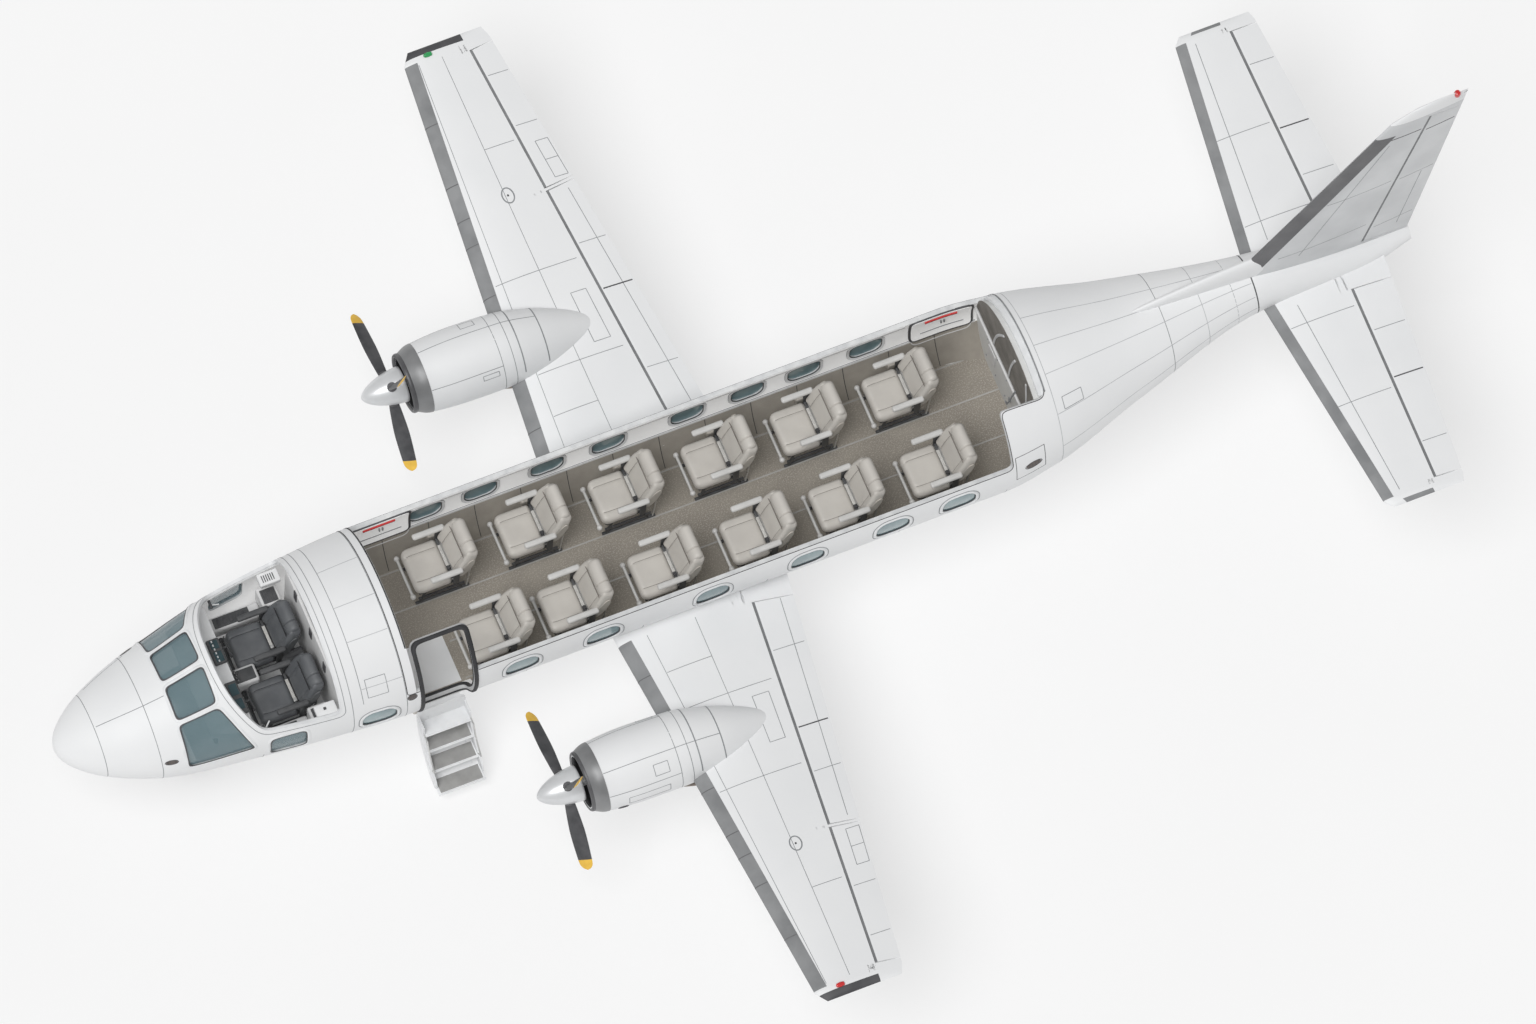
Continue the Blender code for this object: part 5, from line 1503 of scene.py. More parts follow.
ROWS_RIGHT = (4.50, 5.55, 6.60, 7.65, 8.66, 9.70)
ROWS_LEFT = (4.76, 5.64, 6.66, 7.70, 8.70, 9.74)
SEAT_Y, SEAT_HALF = 0.47, 0.255
CREW_STATION, CREW_Y, CREW_HALF = 2.46, 0.32, 0.235
PAD_TOP, PAD_BOTTOM, PAD_FRONT, PAD_REAR = -0.20, -0.315, -0.345, 0.060
BACK_FOOT, BACK_TOP, BACK_T = (0.138, -0.225), (0.318, 0.205), 0.120
SEAM_AT = 0.60  # of the half width, on either side of the middle
SEAM_DEPTH, SEAM_WIDTH = 0.010, 0.035
PUCKER, PUCKER_RUN = 0.0016, 0.021  # folds along a seam: their height and their spacing
ROLL_NOTCH = 0.36  # where the head roll is parted, as a part of the half width towards port
BELT_AT, BELT_Z = 0.068, -0.214
BELT = (
    (-0.92, -0.62, 0.030, 0.020, 1), (-0.64, 0.40, 0.034, 0.012, 3), (0.36, 0.52, 0.040, 0.028, 4),
    (0.50, 0.92, 0.030, 0.012, 1),
)  # from and to, as parts of the half width, then width, thickness and finish


# A seat seen from the side: up the back, and square to it towards the sitter
FOOT, TOP = np.array(BACK_FOOT), np.array(BACK_TOP)
BACK_RUN = math.dist(BACK_FOOT, BACK_TOP)
UP = (TOP - FOOT) / BACK_RUN
AHEAD = np.array([-UP[1], UP[0]])


def bell(values, middle, width):
    """A smooth bump of height one."""
    return np.exp(-(((values - middle) / width) ** 2))


def seam_dip(across, along):
    """How far the seams pull a pad in: a groove on either side of the middle, with small folds."""
    groove = bell(np.abs(across), SEAM_AT, SEAM_WIDTH)
    beside = bell(np.abs(across), SEAM_AT, SEAM_WIDTH * 3) - groove
    folds = PUCKER * np.cos(2 * np.pi * along / PUCKER_RUN) * beside
    return SEAM_DEPTH * groove + folds


def seat_at(station, y):
    """Places a seat's points in the frame."""
    return lambda points: at(station + points[:, 0], y + points[:, 1], points[:, 2])


def pad_shape(half):
    """The seat pad's change: a crown, seams, a fold over the front and rounder front corners."""

    def change(points):
        across, along = points[:, 1] / half, (points[:, 0] - PAD_FRONT) / (PAD_REAR - PAD_FRONT)
        top = smoothstep(points[:, 2], PAD_BOTTOM + 0.03, PAD_TOP - 0.01)
        rise = 0.020 * (1 - across**4) * (1 - (2 * along - 1) ** 4) - seam_dip(across, points[:, 0])
        dish = -0.008 * bell(across, 0, 0.5) * bell(along, 0.6, 0.3) + 0.008 * bell(along, 0.10, 0.12)
        corner = np.clip((0.25 - along) / 0.25, 0, 1) ** 2
        out = points.copy()
        out[:, 2] += (rise + dish) * top - 0.05 * (points[:, 0] - PAD_FRONT) * top * 0.4
        out[:, 1] *= 1 - 0.13 * corner
        return out

    return change


def seat_pad(half):
    """The seat's pad, a rounded box with its change."""
    low, high = (PAD_FRONT, -half, PAD_BOTTOM), (PAD_REAR, half, PAD_TOP)
    return block(Shape(), low, high, 0.045, 0, 5, (18, 30, 1), pad_shape(half))


def back_shape(half):
    """The back's change: shoulders, seams, a hollow for the sitter, and the lean. Heights run up the back."""

    def change(points):
        across, up = points[:, 1] / half, points[:, 2] / BACK_RUN
        front = smoothstep(-points[:, 0], -0.02, 0.03)
        wings = 0.026 * smoothstep(np.abs(across), 0.62, 0.95)
        rise = 0.016 * np.sin(np.pi * np.clip(up, 0, 1)) + wings - seam_dip(across, points[:, 2])
        shoulder = 1 - 0.17 * np.clip((up - 0.55) / 0.45, 0, 1) ** 2
        thick = -points[:, 0] + rise * front
        place = FOOT + UP * points[:, 2:] + AHEAD * thick[:, None]
        return np.stack([place[:, 0], points[:, 1] * shoulder, place[:, 1]], -1)

    return change


def seat_back(half):
    """The seat's back, a rounded box with its change."""
    low, high = (-BACK_T / 2, -half, 0.0), (BACK_T / 2, half, BACK_RUN)
    return block(Shape(), low, high, 0.05, 0, 5, (1, 30, 20), back_shape(half))


def head_roll(half):
    """The roll along the back's top: an oval section that thins at the notch and rounds off at the ends."""
    ends = 0.12 * np.linspace(0, 1, 10) ** 2
    u = np.concatenate([ends - 1, np.linspace(-0.86, 0.86, 50), 1 - ends[::-1]])
    angle = 2 * np.pi * np.arange(24) / 24
    end = np.sqrt(np.clip(1 - np.abs(u) ** 14, 0, 1))
    size = end * (1 - 0.20 * bell(u, ROLL_NOTCH, 0.030)) + 1e-4
    section = UP * (0.092 * np.cos(angle))[:, None] + AHEAD * (0.070 * np.sin(angle))[:, None]
    section = TOP - UP * 0.055 + AHEAD * 0.020 + section * size[:, None, None]
    y = np.broadcast_to((u * half * 0.80)[:, None], section.shape[:2])
    return Shape().grid(np.stack([section[..., 0], y, section[..., 1]], -1), wrap_v=True, cap=True)


def seams_of(half):
    """The stitched lines of a seat: two along the pad and up the back."""
    shape = Shape()
    for side in (1, -1):
        y = side * SEAM_AT * half
        run = np.linspace(PAD_FRONT + 0.045, PAD_REAR - 0.045, 12)
        on_pad = np.array([(along, y, PAD_TOP) for along in run])
        tube(shape, pad_shape(half)(on_pad) + (0, 0, 0.001), 0.0028, 6)
        on_back = np.array([(-BACK_T / 2, y, up * BACK_RUN) for up in np.linspace(0.12, 0.72, 12)])
        tube(shape, back_shape(half)(on_back) + (-0.001, 0, 0.001), 0.0028, 6)
    front = TOP - UP * 0.124 + AHEAD * 0.080
    tube(shape, [(front[0], y, front[1]) for y in (-0.78 * half, 0.78 * half)], 0.0055, 8)
    return shape


def seat_frame(half):
    """Arms, base, rails, front bar and belt. Finishes: 0 arm, 1 dark metal, 2 silver, 3 belt, 4 buckle."""
    shape = Shape()
    for side in (1, -1):
        y = side * (half + 0.006)
        block(shape, (-0.195, y - 0.034, -0.030), (0.165, y + 0.034, 0.020), 0.025, 0, 5, (2, 1, 1))
        block(shape, (0.06, y - 0.014, -0.31), (0.13, y + 0.014, -0.01), 0.012, 1)
        rail_y = side * (half - 0.055)
        for front, rear, low, high, wide, rounding in (
            (-0.33, 0.27, 0.001, 0.030, 0.015, 0.006), (-0.30, 0.22, 0.10, 0.13, 0.010, 0.005),
        ):
            corners = (front, rail_y - wide, FLOOR_Z + low), (rear, rail_y + wide, FLOOR_Z + high)
            block(shape, *corners, rounding, 1)
        for foot, head in ((-0.28, -0.20), (0.18, 0.06)):
            tube(shape, [(foot, rail_y, FLOOR_Z + 0.02), (head, rail_y, -0.32)], 0.015, 12, 1)
        tube(shape, [(0.24, rail_y, FLOOR_Z + 0.03), (0.265, side * half * 0.9, -0.05)], 0.011, 12, 2)
    block(shape, (-0.31, -half + 0.02, -0.350), (0.10, half - 0.02, -0.305), 0.012, 1)
    bar = [(-0.375, y, -0.350) for y in (-half * 0.90, half * 0.90)]
    tube(shape, bar, 0.017, 14)
    turn = np.linspace(0, np.pi, 11)
    for end in bar:
        revolved(shape, np.stack([0.031 * np.sin(turn), -0.031 * np.cos(turn)], -1), end, (0, 1, 0), 20)
    block(shape, (0.02, -half + 0.03, -0.30), (0.12, half - 0.03, -0.235), 0.02)
    for low, high, width, thick, finish in BELT:
        ends = (BELT_AT - width / 2, low * half, BELT_Z), (BELT_AT + width / 2, high * half, BELT_Z + thick)
        block(shape, *ends, 0.004, finish)
    return shape


def side_caps(half):
    """The oval trim on either side of the back, with piping round it, in the seams' second finish."""
    shape = Shape()
    middle = FOOT + (TOP - FOOT) * 0.45
    angle = 2 * np.pi * np.arange(32) / 32
    edge = middle + UP * (0.17 * np.cos(angle))[:, None] + AHEAD * (0.048 * np.sin(angle))[:, None]
    for side in (1, -1):
        y = side * (half - 0.004)
        points = np.stack([edge[:, 0], np.full(32, y), edge[:, 1]], -1)
        tube(shape, points, 0.006, 8, 1, closed=True)
        tops = [points * 0 + (middle[0], y + side * off, middle[1]) for off in (0.010, -0.006)]
        shape.grid(np.array([tops[0], points + (0, side * 0.006, 0), points, tops[1]]), 1, wrap_v=True)
    return shape


def make_seat(name, station, y, half, kind=""):
    """One seat: its frame, its seams, and each pad as an object of its own."""
    place, slot = seat_at(station, y), "dark_leather" if kind else "beige_leather"
    finishes = ("arm_grey", "rail_dark", "silver", "belt_pale", "belt_dark")
    if kind:
        finishes = ("panel_dark", "rail_dark", "rail_dark", "belt_pale", "silver")
    piece(f"{name}_base", seat_frame(half).transformed(place), finishes, slot=slot, stands_for=name)
    stitched = seams_of(half).join(side_caps(half)).transformed(place)
    piece(f"{name}_seams", stitched, (kind + "leather_seam", kind + "leather_trim"), slot=slot)
    for part, pad, fill in (("pad", seat_pad, 0.8), ("back", seat_back, 0.8), ("roll", head_roll, 0.9)):
        made = piece(f"{name}_{part}", pad(half).transformed(place), kind + "leather", slot=slot, sharp=70)


def make_seats():
    """The passengers' seats by rows and the pilots' two."""
    for rows, side, word in ((ROWS_RIGHT, -1, "right"), (ROWS_LEFT, 1, "left")):
        for number, station in enumerate(rows, 1):
            make_seat(f"seat_{number}_{word}", station, side * SEAT_Y, SEAT_HALF)
    for side, word in SIDES:
        make_seat(f"crew_seat_{word}", CREW_STATION, side * CREW_Y, CREW_HALF, "crew_")


# The cabin

HATCHES = (("exit_hatch_front", 4.02), ("exit_hatch_rear", 10.36))
HATCH_LENGTH, HATCH_LOW, HATCH_HIGH = 0.66, -104.0, -76.5
BULKHEAD = 10.76
LINING_ANGLES = (105.2, 160.0)
JOINT_END = 132.0
TRACKS_Y = (-0.69, -0.25, 0.25, 0.69)


def sheet(shape, keep, stations, angles, outer, inner, finish=0, spacing=0.04, step=2.0):
    """Adds a cut sheet of the body between two depths."""
    cut = trimmed(lines_between(*stations, spacing), lines_between(*angles, step), keep)
    return walled(shape, skin, cut, outer, inner, (finish, finish, finish))


def round_patch(stations, angles, radius, grow=0.0):
    """A patch of the body with round corners, as a distance that is above zero inside it."""

    def inside(station, degrees):
        edges = (station - stations[0] + grow, stations[1] - station + grow)
        edges += (arc_of(station, degrees - angles[0]) + grow, arc_of(station, angles[1] - degrees) + grow)
        return soft_least(*edges, radius=radius)

    return inside


def finish_node(name, finish):
    """Gives a solid that shows itself a finish."""
    solid = bpy.data.objects[name]
    solid.data.materials.clear()
    solid.data.materials.append(material(finish))


def make_lining():
    """The lower lining with its joints, the trim over it, ledges beside the seats and the floor's tracks."""
    lining, trim = Shape(), Shape()
    for side, rows, start in ((-1, ROWS_RIGHT, 3.70), (1, ROWS_LEFT, 4.38)):
        low, high = sorted(side * angle for angle in LINING_ANGLES)

        def above_floor(station, degrees):
            return skin(station, degrees, WALL)[..., 2] - AXIS_Z - FLOOR_Z + 0.004

        sheet(lining, above_floor, (start, BULKHEAD + 0.004), (low, high), WALL - 0.004, WALL + 0.006)
        for station in np.arange(start + 0.35, 10.7, 0.52):
            path = [(station, side * LINING_ANGLES[0]), (station, side * JOINT_END)]
            bead(lining, inner_wall, path, strip(0.008, 0.008), False, 1)
        edge = side * (LINING_ANGLES[0] - 0.7)
        for off, section, finish in ((0.0, strip(0.022, 0.010), 0), (1.1, strip(0.006, 0.004), 1)):
            path = [(start, edge - side * off), (10.74, edge - side * off)]
            bead(trim, inner_wall, path, section, False, finish, 0.1)
        for row in rows:
            low, high = at(row + 0.02, side * 0.80, -0.47), at(row + 0.24, side * 0.885, -0.36)
            block(trim, low, high, 0.02, 2)
        reading = side * 79.0
        bead(trim, inner_wall, [(start + 0.75, reading), (9.95, reading)], strip(0.05, 0.008), False, 0, 0.1)
    for y in TRACKS_Y:
        front = 4.34 if y > 0 else 3.68
        block(trim, at(front, y - 0.008, FLOOR_Z), at(BULKHEAD, y + 0.008, FLOOR_Z + 0.003), 0, 3)
    piece("lower_lining", lining, ("lining_brown", "seam_dark"), slot="grey_plastic")
    piece("cabin_trim", trim, ("panel_pale", "seam_grey", "leather_trim", "track_pale"), slot="grey_plastic")


def make_hatches():
    """The exit hatches: a padded panel in a frame, with a red handle, a latch and a sill."""
    for name, middle in HATCHES:
        stations, angles = (middle - HATCH_LENGTH / 2, middle + HATCH_LENGTH / 2), (HATCH_LOW, HATCH_HIGH)
        spans = (stations[0] - 0.05, stations[1] + 0.05), (HATCH_LOW - 9, HATCH_HIGH + 3)
        shape = Shape()
        sheet(shape, round_patch(stations, angles, 0.06), *spans, WALL - 0.020, WALL + 0.022, 0, 0.022, 1.2)
        edge = outline_of(round_patch(stations, angles, 0.06, 0.016), *spans)
        bead(shape, inner_wall, edge, strip(0.024, 0.016, 0.004), True, 1)
        edge = outline_of(round_patch(stations, (HATCH_LOW - 5, HATCH_HIGH), 0.08, 0.004), *spans)
        bead(shape, inner_wall, edge, strip(0.012, 0.010), True, 2)
        face = skin_at(WALL + 0.022, -1)
        handle = ((-0.19, -81.0), (0.17, -81.0)), strip(0.042, 0.016), 3
        latches = [(((off, -91.5), (off, -88.0)), strip(0.014, 0.018), 4) for off in (0.002, 0.038)]
        sill = ((-0.23, -97.5), (0.25, -97.5)), strip(0.010, 0.006), 4
        for path, section, finish in (handle, *latches, sill):
            bead(shape, face, [(middle + along, angle) for along, angle in path], section, False, finish)
        # The panel's lining glows: painted light.
        finishes = ("lining_white", "seam_dark", "panel_pale", "stripe_red", "seam_grey")
        piece(name + "_panel", shape, finishes, slot="white_paint", stands_for=name, merge=4e-4)


def make_bulkhead():
    """The aft bulkhead's dark upper part with its arches, a strut, bolts and two plates."""
    shape = Shape()
    y = np.linspace(-0.925, 0.925, 41)
    top = np.sqrt(0.945**2 - y**2)
    low = np.minimum(0.12, top - 0.001)
    faces = BULKHEAD - 0.006, BULKHEAD + 0.001
    front, rear = ([at(station, y, z) for z in (low, top)] for station in faces)
    for rows in (front, [row[::-1] for row in rear], (front[0], rear[0]), (rear[1], front[1])):
        shape.grid(np.stack(rows))
    for foot, lean in ((-0.45, 0.20), (-0.05, 0.10), (0.40, -0.06)):
        rise = np.linspace(0, 1, 12)
        line = at(BULKHEAD - 0.012, foot + lean * rise**2, 0.13 + rise * 0.66)
        tube(shape, line, 0.016, 8, 1, squash=0.5)
    tube(shape, at(BULKHEAD - 0.02, np.array([-0.93, 0.93]), 0.11), 0.016, 10, 2)
    strut = ((0.05, 0.02, -0.34), (0.07, 0.10, -0.20), (0.03, 0.16, 0.22))
    tube(shape, [at(BULKHEAD - ahead, y, z) for ahead, y, z in strut], 0.009, 8, 3, rounds=6)
    plate, bolt = ((0.03, 0.004), (0.03, 0.012), (0.0, 0.016)), ((0.012, 0.0), (0.009, 0.006), (0.0, 0.008))
    revolved(shape, [(0.0, 0.0), *plate], at(BULKHEAD, 0.02, -0.34), (1, 0, 0), 16, 3)
    for y in (-0.6, -0.35, -0.1, 0.35, 0.6):
        for height in (-0.5, -0.08):
            revolved(shape, [(0.0, 0.0), *bolt], at(BULKHEAD, y, height), (1, 0, 0), 10, 3)
    for y, height in ((-0.48, -0.25), (0.48, -0.30)):
        corner = at(BULKHEAD - 0.008, y - 0.09, height - 0.12)
        block(shape, corner, at(BULKHEAD + 0.002, y + 0.09, height + 0.12), 0.003, 2)
    finishes = ("bulkhead_brown", "panel_grey", "panel_pale", "seam_grey")
    piece("bulkhead_fittings", shape, finishes, slot="grey_plastic")


def make_rims():
    """The trim and the rubber lines along the cabin's roof opening, which stop at the doorway."""
    rim = Shape()
    bead(rim, skin_at(0.03), [(10.852, -76.0), (10.852, 33.6)], strip(0.072, 0.012, 0.02), False, 0)
    bead(rim, skin, [(10.892, -72.5), (10.892, 32.0)], strip(0.012, 0.004), False, 1)
    spans = (BARREL_END - 0.1, OPENING_REAR + 0.1), (-100.0, 100.0)
    path = outline_of(lambda station, degrees: cabin_opening(station, degrees) + 0.008, *spans)
    crossing = doorway(path[:, 0], path[:, 1], 0.04) > 0
    last = np.flatnonzero(crossing & ~np.roll(crossing, -1))[0]
    bead(rim, skin, np.roll(path, -last - 1, 0)[: (~crossing).sum()], strip(0.008, 0.003), False, 2)
    bead(rim, skin, [(BARREL_END - 0.010, -74.0), (BARREL_END - 0.010, 41.0)], strip(0.014, 0.004), False, 2)
    piece("opening_rims", rim, ("white_trim", "seam_grey", "rubber"), slot="white_paint")


# The door and its stairs

HINGE_Y, HINGE_Z, OPEN_DEG = 0.785, -0.688, -145.0
LEAF_TOP, LEAF_BOTTOM, LEAF_T, LEAF_CLEAR = 63.0, 128.4, 0.03, 0.012
STEP_ANGLES, STEP_DEPTH, STEP_T = np.linspace(113.0, 68.0, 4), 0.19, 0.022
STRINGER_T, STRINGER_DEPTH, RAIL_ANGLES = 0.022, 0.15, (112.0, 78.0)
HINGE_ROOM = 0.0706  # from the doorway's edge to the leaf's part of the hinge


def opened(points):
    """Points of the closed door turned down about the hinge."""
    turn = math.radians(OPEN_DEG)
    hinge = at(0.0, HINGE_Y, HINGE_Z)
    offset = np.asarray(points, float) - hinge
    y = offset[..., 1] * math.cos(turn) - offset[..., 2] * math.sin(turn)
    z = offset[..., 1] * math.sin(turn) + offset[..., 2] * math.cos(turn)
    return np.stack([offset[..., 0], y, z], -1) + hinge


def make_door_frame():
    """The doorway's frame with a thick seal and the fixed halves of the hinge."""
    frame = Shape()
    spans = (DOOR_FRONT - 0.06, DOOR_REAR + 0.06), (DOOR_TOP - 4, DOOR_SILL + 4)

    def border(station, degrees):
        return np.minimum(doorway(station, degrees, FRAME_W), -doorway(station, degrees))

    cut = trimmed(lines_between(*spans[0], 0.02), lines_between(*spans[1], 1.0), border)
    walled(frame, skin, cut, 0.0, WALL, (0, 0, 1))
    half = ((-0.022, -0.003), (-0.020, 0.010), (-0.010, 0.018))
    seal = (*half, *((-across, up) for across, up in reversed(half)))
    edge = outline_of(lambda station, degrees: doorway(station, degrees, 0.014), *spans)
    for surface in (skin, inner_wall):
        bead(frame, surface, edge, seal)
    for start, end in ((DOOR_FRONT, DOOR_FRONT + 0.07), (DOOR_REAR - 0.07, DOOR_REAR)):
        tube(frame, [at(start, HINGE_Y, HINGE_Z), at(end, HINGE_Y, HINGE_Z)], 0.014, 16, 2)
        block(frame, at(start, 0.762, -0.698), at(end, 0.790, -0.662), 0.003, 2)
    finishes = ("rubber", "panel_grey", "silver")
    piece("door_seal", frame, finishes, slot="black_seal", stands_for="door_frame", merge=4e-4)


def make_stairs():
    """The door's leaf with its stringers and rails, made closed and turned open, and its level steps."""
    front, rear = DOOR_FRONT + LEAF_CLEAR, DOOR_REAR - LEAF_CLEAR
    knuckle = DOOR_FRONT + HINGE_ROOM, DOOR_REAR - HINGE_ROOM
    closed = Shape()
    leaf = round_patch((front, rear), (LEAF_TOP, LEAF_BOTTOM), 0.11)
    spans = (front - 0.01, rear + 0.01), (LEAF_TOP - 1, LEAF_BOTTOM + 1)
    sheet(closed, leaf, *spans, 0.0, LEAF_T, 0, 0.03, 1.5)
    inner = LEAF_T + STRINGER_DEPTH
    for start, end in ((front + 0.001, front + STRINGER_T), (rear - STRINGER_T, rear - 0.001)):
        angle = np.linspace(LEAF_TOP + 0.7, 121.0, 24)
        depth = inner - STRINGER_DEPTH * 0.55 * np.clip(1 - (angle - angle[0]) / 7, 0, 1) ** 2
        corners = (start, LEAF_T - 0.01), (start, depth), (end, depth), (end, LEAF_T - 0.01)
        rows = [skin(station + 0 * angle, angle, inset + 0 * angle) for station, inset in corners]
        closed.grid(np.stack(rows, 1), 1, wrap_v=True, cap=True)
        middle = (start + end) / 2
        posts = [skin(middle, angle, inner - 0.02) for angle in RAIL_ANGLES]
        heads = [skin(middle, angle, inner + 0.085) for angle in np.linspace(*RAIL_ANGLES, 9)]
        tube(closed, [posts[0], *heads, posts[1]], 0.009, 10, 2)
    tube(closed, [at(station, HINGE_Y, HINGE_Z) for station in knuckle], 0.014, 16, 2)
    block(closed, at(knuckle[0], 0.789, HINGE_Z), at(knuckle[1], 0.7985, -0.618), 0.003, 1)
    for off in (0.12, 0.46):
        bead(closed, skin_at(LEAF_T, -1), across(front + off, (70.0, 118.0)), strip(0.012, 0.004), False, 1)
    stairs = closed.transformed(opened)
    for number, angle in enumerate(STEP_ANGLES):
        back = opened(skin(front, angle, LEAF_T / 2))
        low = np.array([NOSE_X - rear + 0.01, back[1], back[2]])
        high = np.array([NOSE_X - front - 0.01, back[1] + STEP_DEPTH, back[2] + STEP_T])
        block(stairs, low, high, 0.005, 1)
        if number:
            block(stairs, low + (0.025, 0.004, STEP_T - 0.001), high + (-0.025, -0.024, 0.003), 0.001, 3)
        tube(stairs, [(x, high[1] - 0.006, high[2] - 0.004) for x in (low[0], high[0])], 0.010, 10, 1)
    finishes, door = ("white_paint", "white_trim", "silver", "tread"), "airstair_door"
    piece("airstair", stairs, finishes, door, "white_paint", door, merge=2e-4)


PALE_BOX, LIGHT_BOX, DARK_BOX, DISPLAY_BOX, SEAM_BOX = range(5)  # the cockpit fittings' finishes
MIDDLE_BOXES = (
    (1.83, 1.97, -0.36, -0.07, 0.215, 0.262, DARK_BOX, 0.015),
    (1.83, 1.965, 0.15, 0.53, 0.215, 0.262, DARK_BOX, 0.015),
    *((1.86, 1.945, y - half, y + half, 0.258, 0.266, DISPLAY_BOX, 0.004)
      for y, half in ((-0.29, 0.05), (-0.15, 0.06), (0.25, 0.065), (0.42, 0.06))),
    *((1.88, 1.895, -0.34 + k * 0.045, -0.315 + k * 0.045, 0.262, 0.270, LIGHT_BOX, 0.003) for k in range(6)),
    (1.90, 2.27, -0.10, 0.10, -0.30, -0.12, PALE_BOX, 0.03),
    (2.00, 2.24, -0.07, 0.07, -0.125, -0.110, DARK_BOX, 0.006),
    (2.57, 2.82, -0.13, 0.12, -0.62, -0.22, DARK_BOX, 0.02),
    (2.865, 2.90, -0.72, 0.72, -0.62, 0.50, PALE_BOX, 0.01),
    *((2.855, 2.87, y - 0.035, y + 0.035, z - 0.09, z + 0.09, SEAM_BOX, 0.004)
      for y, z in ((-0.42, 0.42), (0.0, 0.36), (0.38, 0.30))),
)  # stations, distances to port, heights, finish, rounding
SIDE_BOXES = (
    (1.98, 2.58, 0.60, 0.765, -0.42, -0.24, PALE_BOX, 0.03),
    (2.06, 2.46, 0.625, 0.745, -0.245, -0.232, DARK_BOX, 0.006),
    *((2.10 + k * 0.07, 2.13 + k * 0.07, 0.65, 0.72, -0.234, -0.222, SEAM_BOX, 0.004) for k in range(5)),
    (2.58, 2.80, 0.60, 0.83, -0.32, -0.06, PALE_BOX, 0.02),
    (2.61, 2.77, 0.63, 0.79, -0.065, -0.050, DARK_BOX, 0.006),
    *((2.625 + k * 0.024, 2.635 + k * 0.024, 0.645, 0.775, -0.052, -0.044, SEAM_BOX, 0.002)
      for k in range(6)),
    (2.60, 2.83, 0.72, 0.865, 0.16, 0.235, LIGHT_BOX, 0.015),
    (2.03, 2.06, 0.70, 0.80, 0.18, 0.20, DARK_BOX, 0.008),
)  # the same for the boxes that both sides have


def boxes(shape, rows, side=1):
    """Rounded boxes from a table, on either side."""
    for front, rear, inner, outer, low, high, finish, rounding in rows:
        block(shape, at(front, side * inner, low), at(rear, side * outer, high), rounding, finish, 2)


def make_controls(shape, side):
    """A pilot's yoke, pedals and side boxes with their switches."""
    y = side * CREW_Y
    turn = np.linspace(-0.3, math.pi + 0.3, 14)
    tube(shape, [at(1.93, y, -0.02), at(2.06, y, 0.0)], 0.014, 12, DARK_BOX)
    tube(shape, at(2.07, y + 0.115 * np.cos(turn), -0.02 - 0.085 * np.sin(turn)), 0.010, 8, DARK_BOX)
    tube(shape, [at(2.07, y - 0.10, -0.01), at(2.06, y, 0.0), at(2.07, y + 0.10, -0.01)], 0.010, 8, DARK_BOX)
    for foot in (y - 0.09, y + 0.09):
        boxes(shape, [(1.62, 1.66, foot - 0.04, foot + 0.04, -0.55, -0.40, DARK_BOX, 0.015)])
    boxes(shape, SIDE_BOXES, side)
    if side < 0:
        places = 2.64 + 0.024 * np.arange(6)
        switches = [(s, s + 0.01, -0.83, -0.75, 0.233, 0.238, SEAM_BOX, 0.001) for s in places]
    else:
        switches = [(2.69, 2.72, 0.77, 0.80, 0.233, 0.241, DARK_BOX, 0.002)]
    boxes(shape, switches)
    tube(shape, [at(2.05, side * 0.75, 0.16), at(2.12, side * 0.70, 0.24)], 0.008, 8, LIGHT_BOX)


def make_cockpit():
    """Consoles, instruments, the pedestal, the yokes and the boxes behind the pilots."""
    shape = Shape()
    boxes(shape, MIDDLE_BOXES)
    for k, y in enumerate((-0.045, -0.015, 0.015, 0.045)):
        lean = 0.02 * (k % 2)
        tube(shape, [at(2.05, y, -0.12), at(2.02 + lean, y, -0.04)], 0.005, 8, LIGHT_BOX)
        low, high = at(2.01 + lean, y - 0.009, -0.045), at(2.035 + lean, y + 0.009, -0.02)
        block(shape, low, high, 0.006, DARK_BOX)
    for k in range(5):
        low = at(2.60, -0.10 + k * 0.045, -0.215)
        cable = [low, low + (-0.10, 0.015, 0.012), low + (-0.19, -0.01, 0.0)]
        tube(shape, cable, 0.004, 6, SEAM_BOX, rounds=4)
    for side, _word in SIDES:
        make_controls(shape, side)
    finishes = ("panel_pale", "panel_light", "panel_dark", "display", "seam_dark")
    piece("cockpit_fittings", shape, finishes, slot="grey_plastic")
    rim = Shape()
    spans = (COCKPIT_FRONT - 0.1, COCKPIT_REAR + 0.1), (-89.0, 89.0)
    cap = (-0.003, -0.03), (-0.003, 0.004), (0.012, 0.004), (0.012, -0.03)
    bead(rim, skin, outline_of(cockpit_opening, *spans), cap)
    outside = outline_of(lambda station, degrees: cockpit_opening(station, degrees) + 0.045, *spans)
    bead(rim, skin, outside, strip(0.006, 0.003), True, 1)
    piece("cockpit_rim", rim, ("white_trim", "seam_grey"), slot="white_paint")


def make_cabin():
    """The floors' and walls' finishes, and all that furnishes the cabin and the cockpit."""
    for name, finish in (
        ("cabin_floor", "carpet"), ("entry_floor", "entry_grey"), ("cockpit_floor", "panel_light"),
        ("aft_bulkhead", "bulkhead_grey"), ("instrument_panel", "panel_light"),
    ):
        finish_node(name, finish)
    make_lining()
    make_hatches()
    make_bulkhead()
    make_rims()
    make_door_frame()
    make_stairs()
    shape = Shape()
    block(shape, at(3.665, 0.50, -0.60), at(3.72, 0.90, -0.08), 0.025, 0)
    block(shape, at(3.66, 0.40, -0.64), at(3.735, 0.47, -0.02), 0.012, 1)
    piece("entry_panel", shape, ("leather", "panel_light"), slot="beige_leather")
    make_cockpit()


# Lines, lamps and vents on the outside

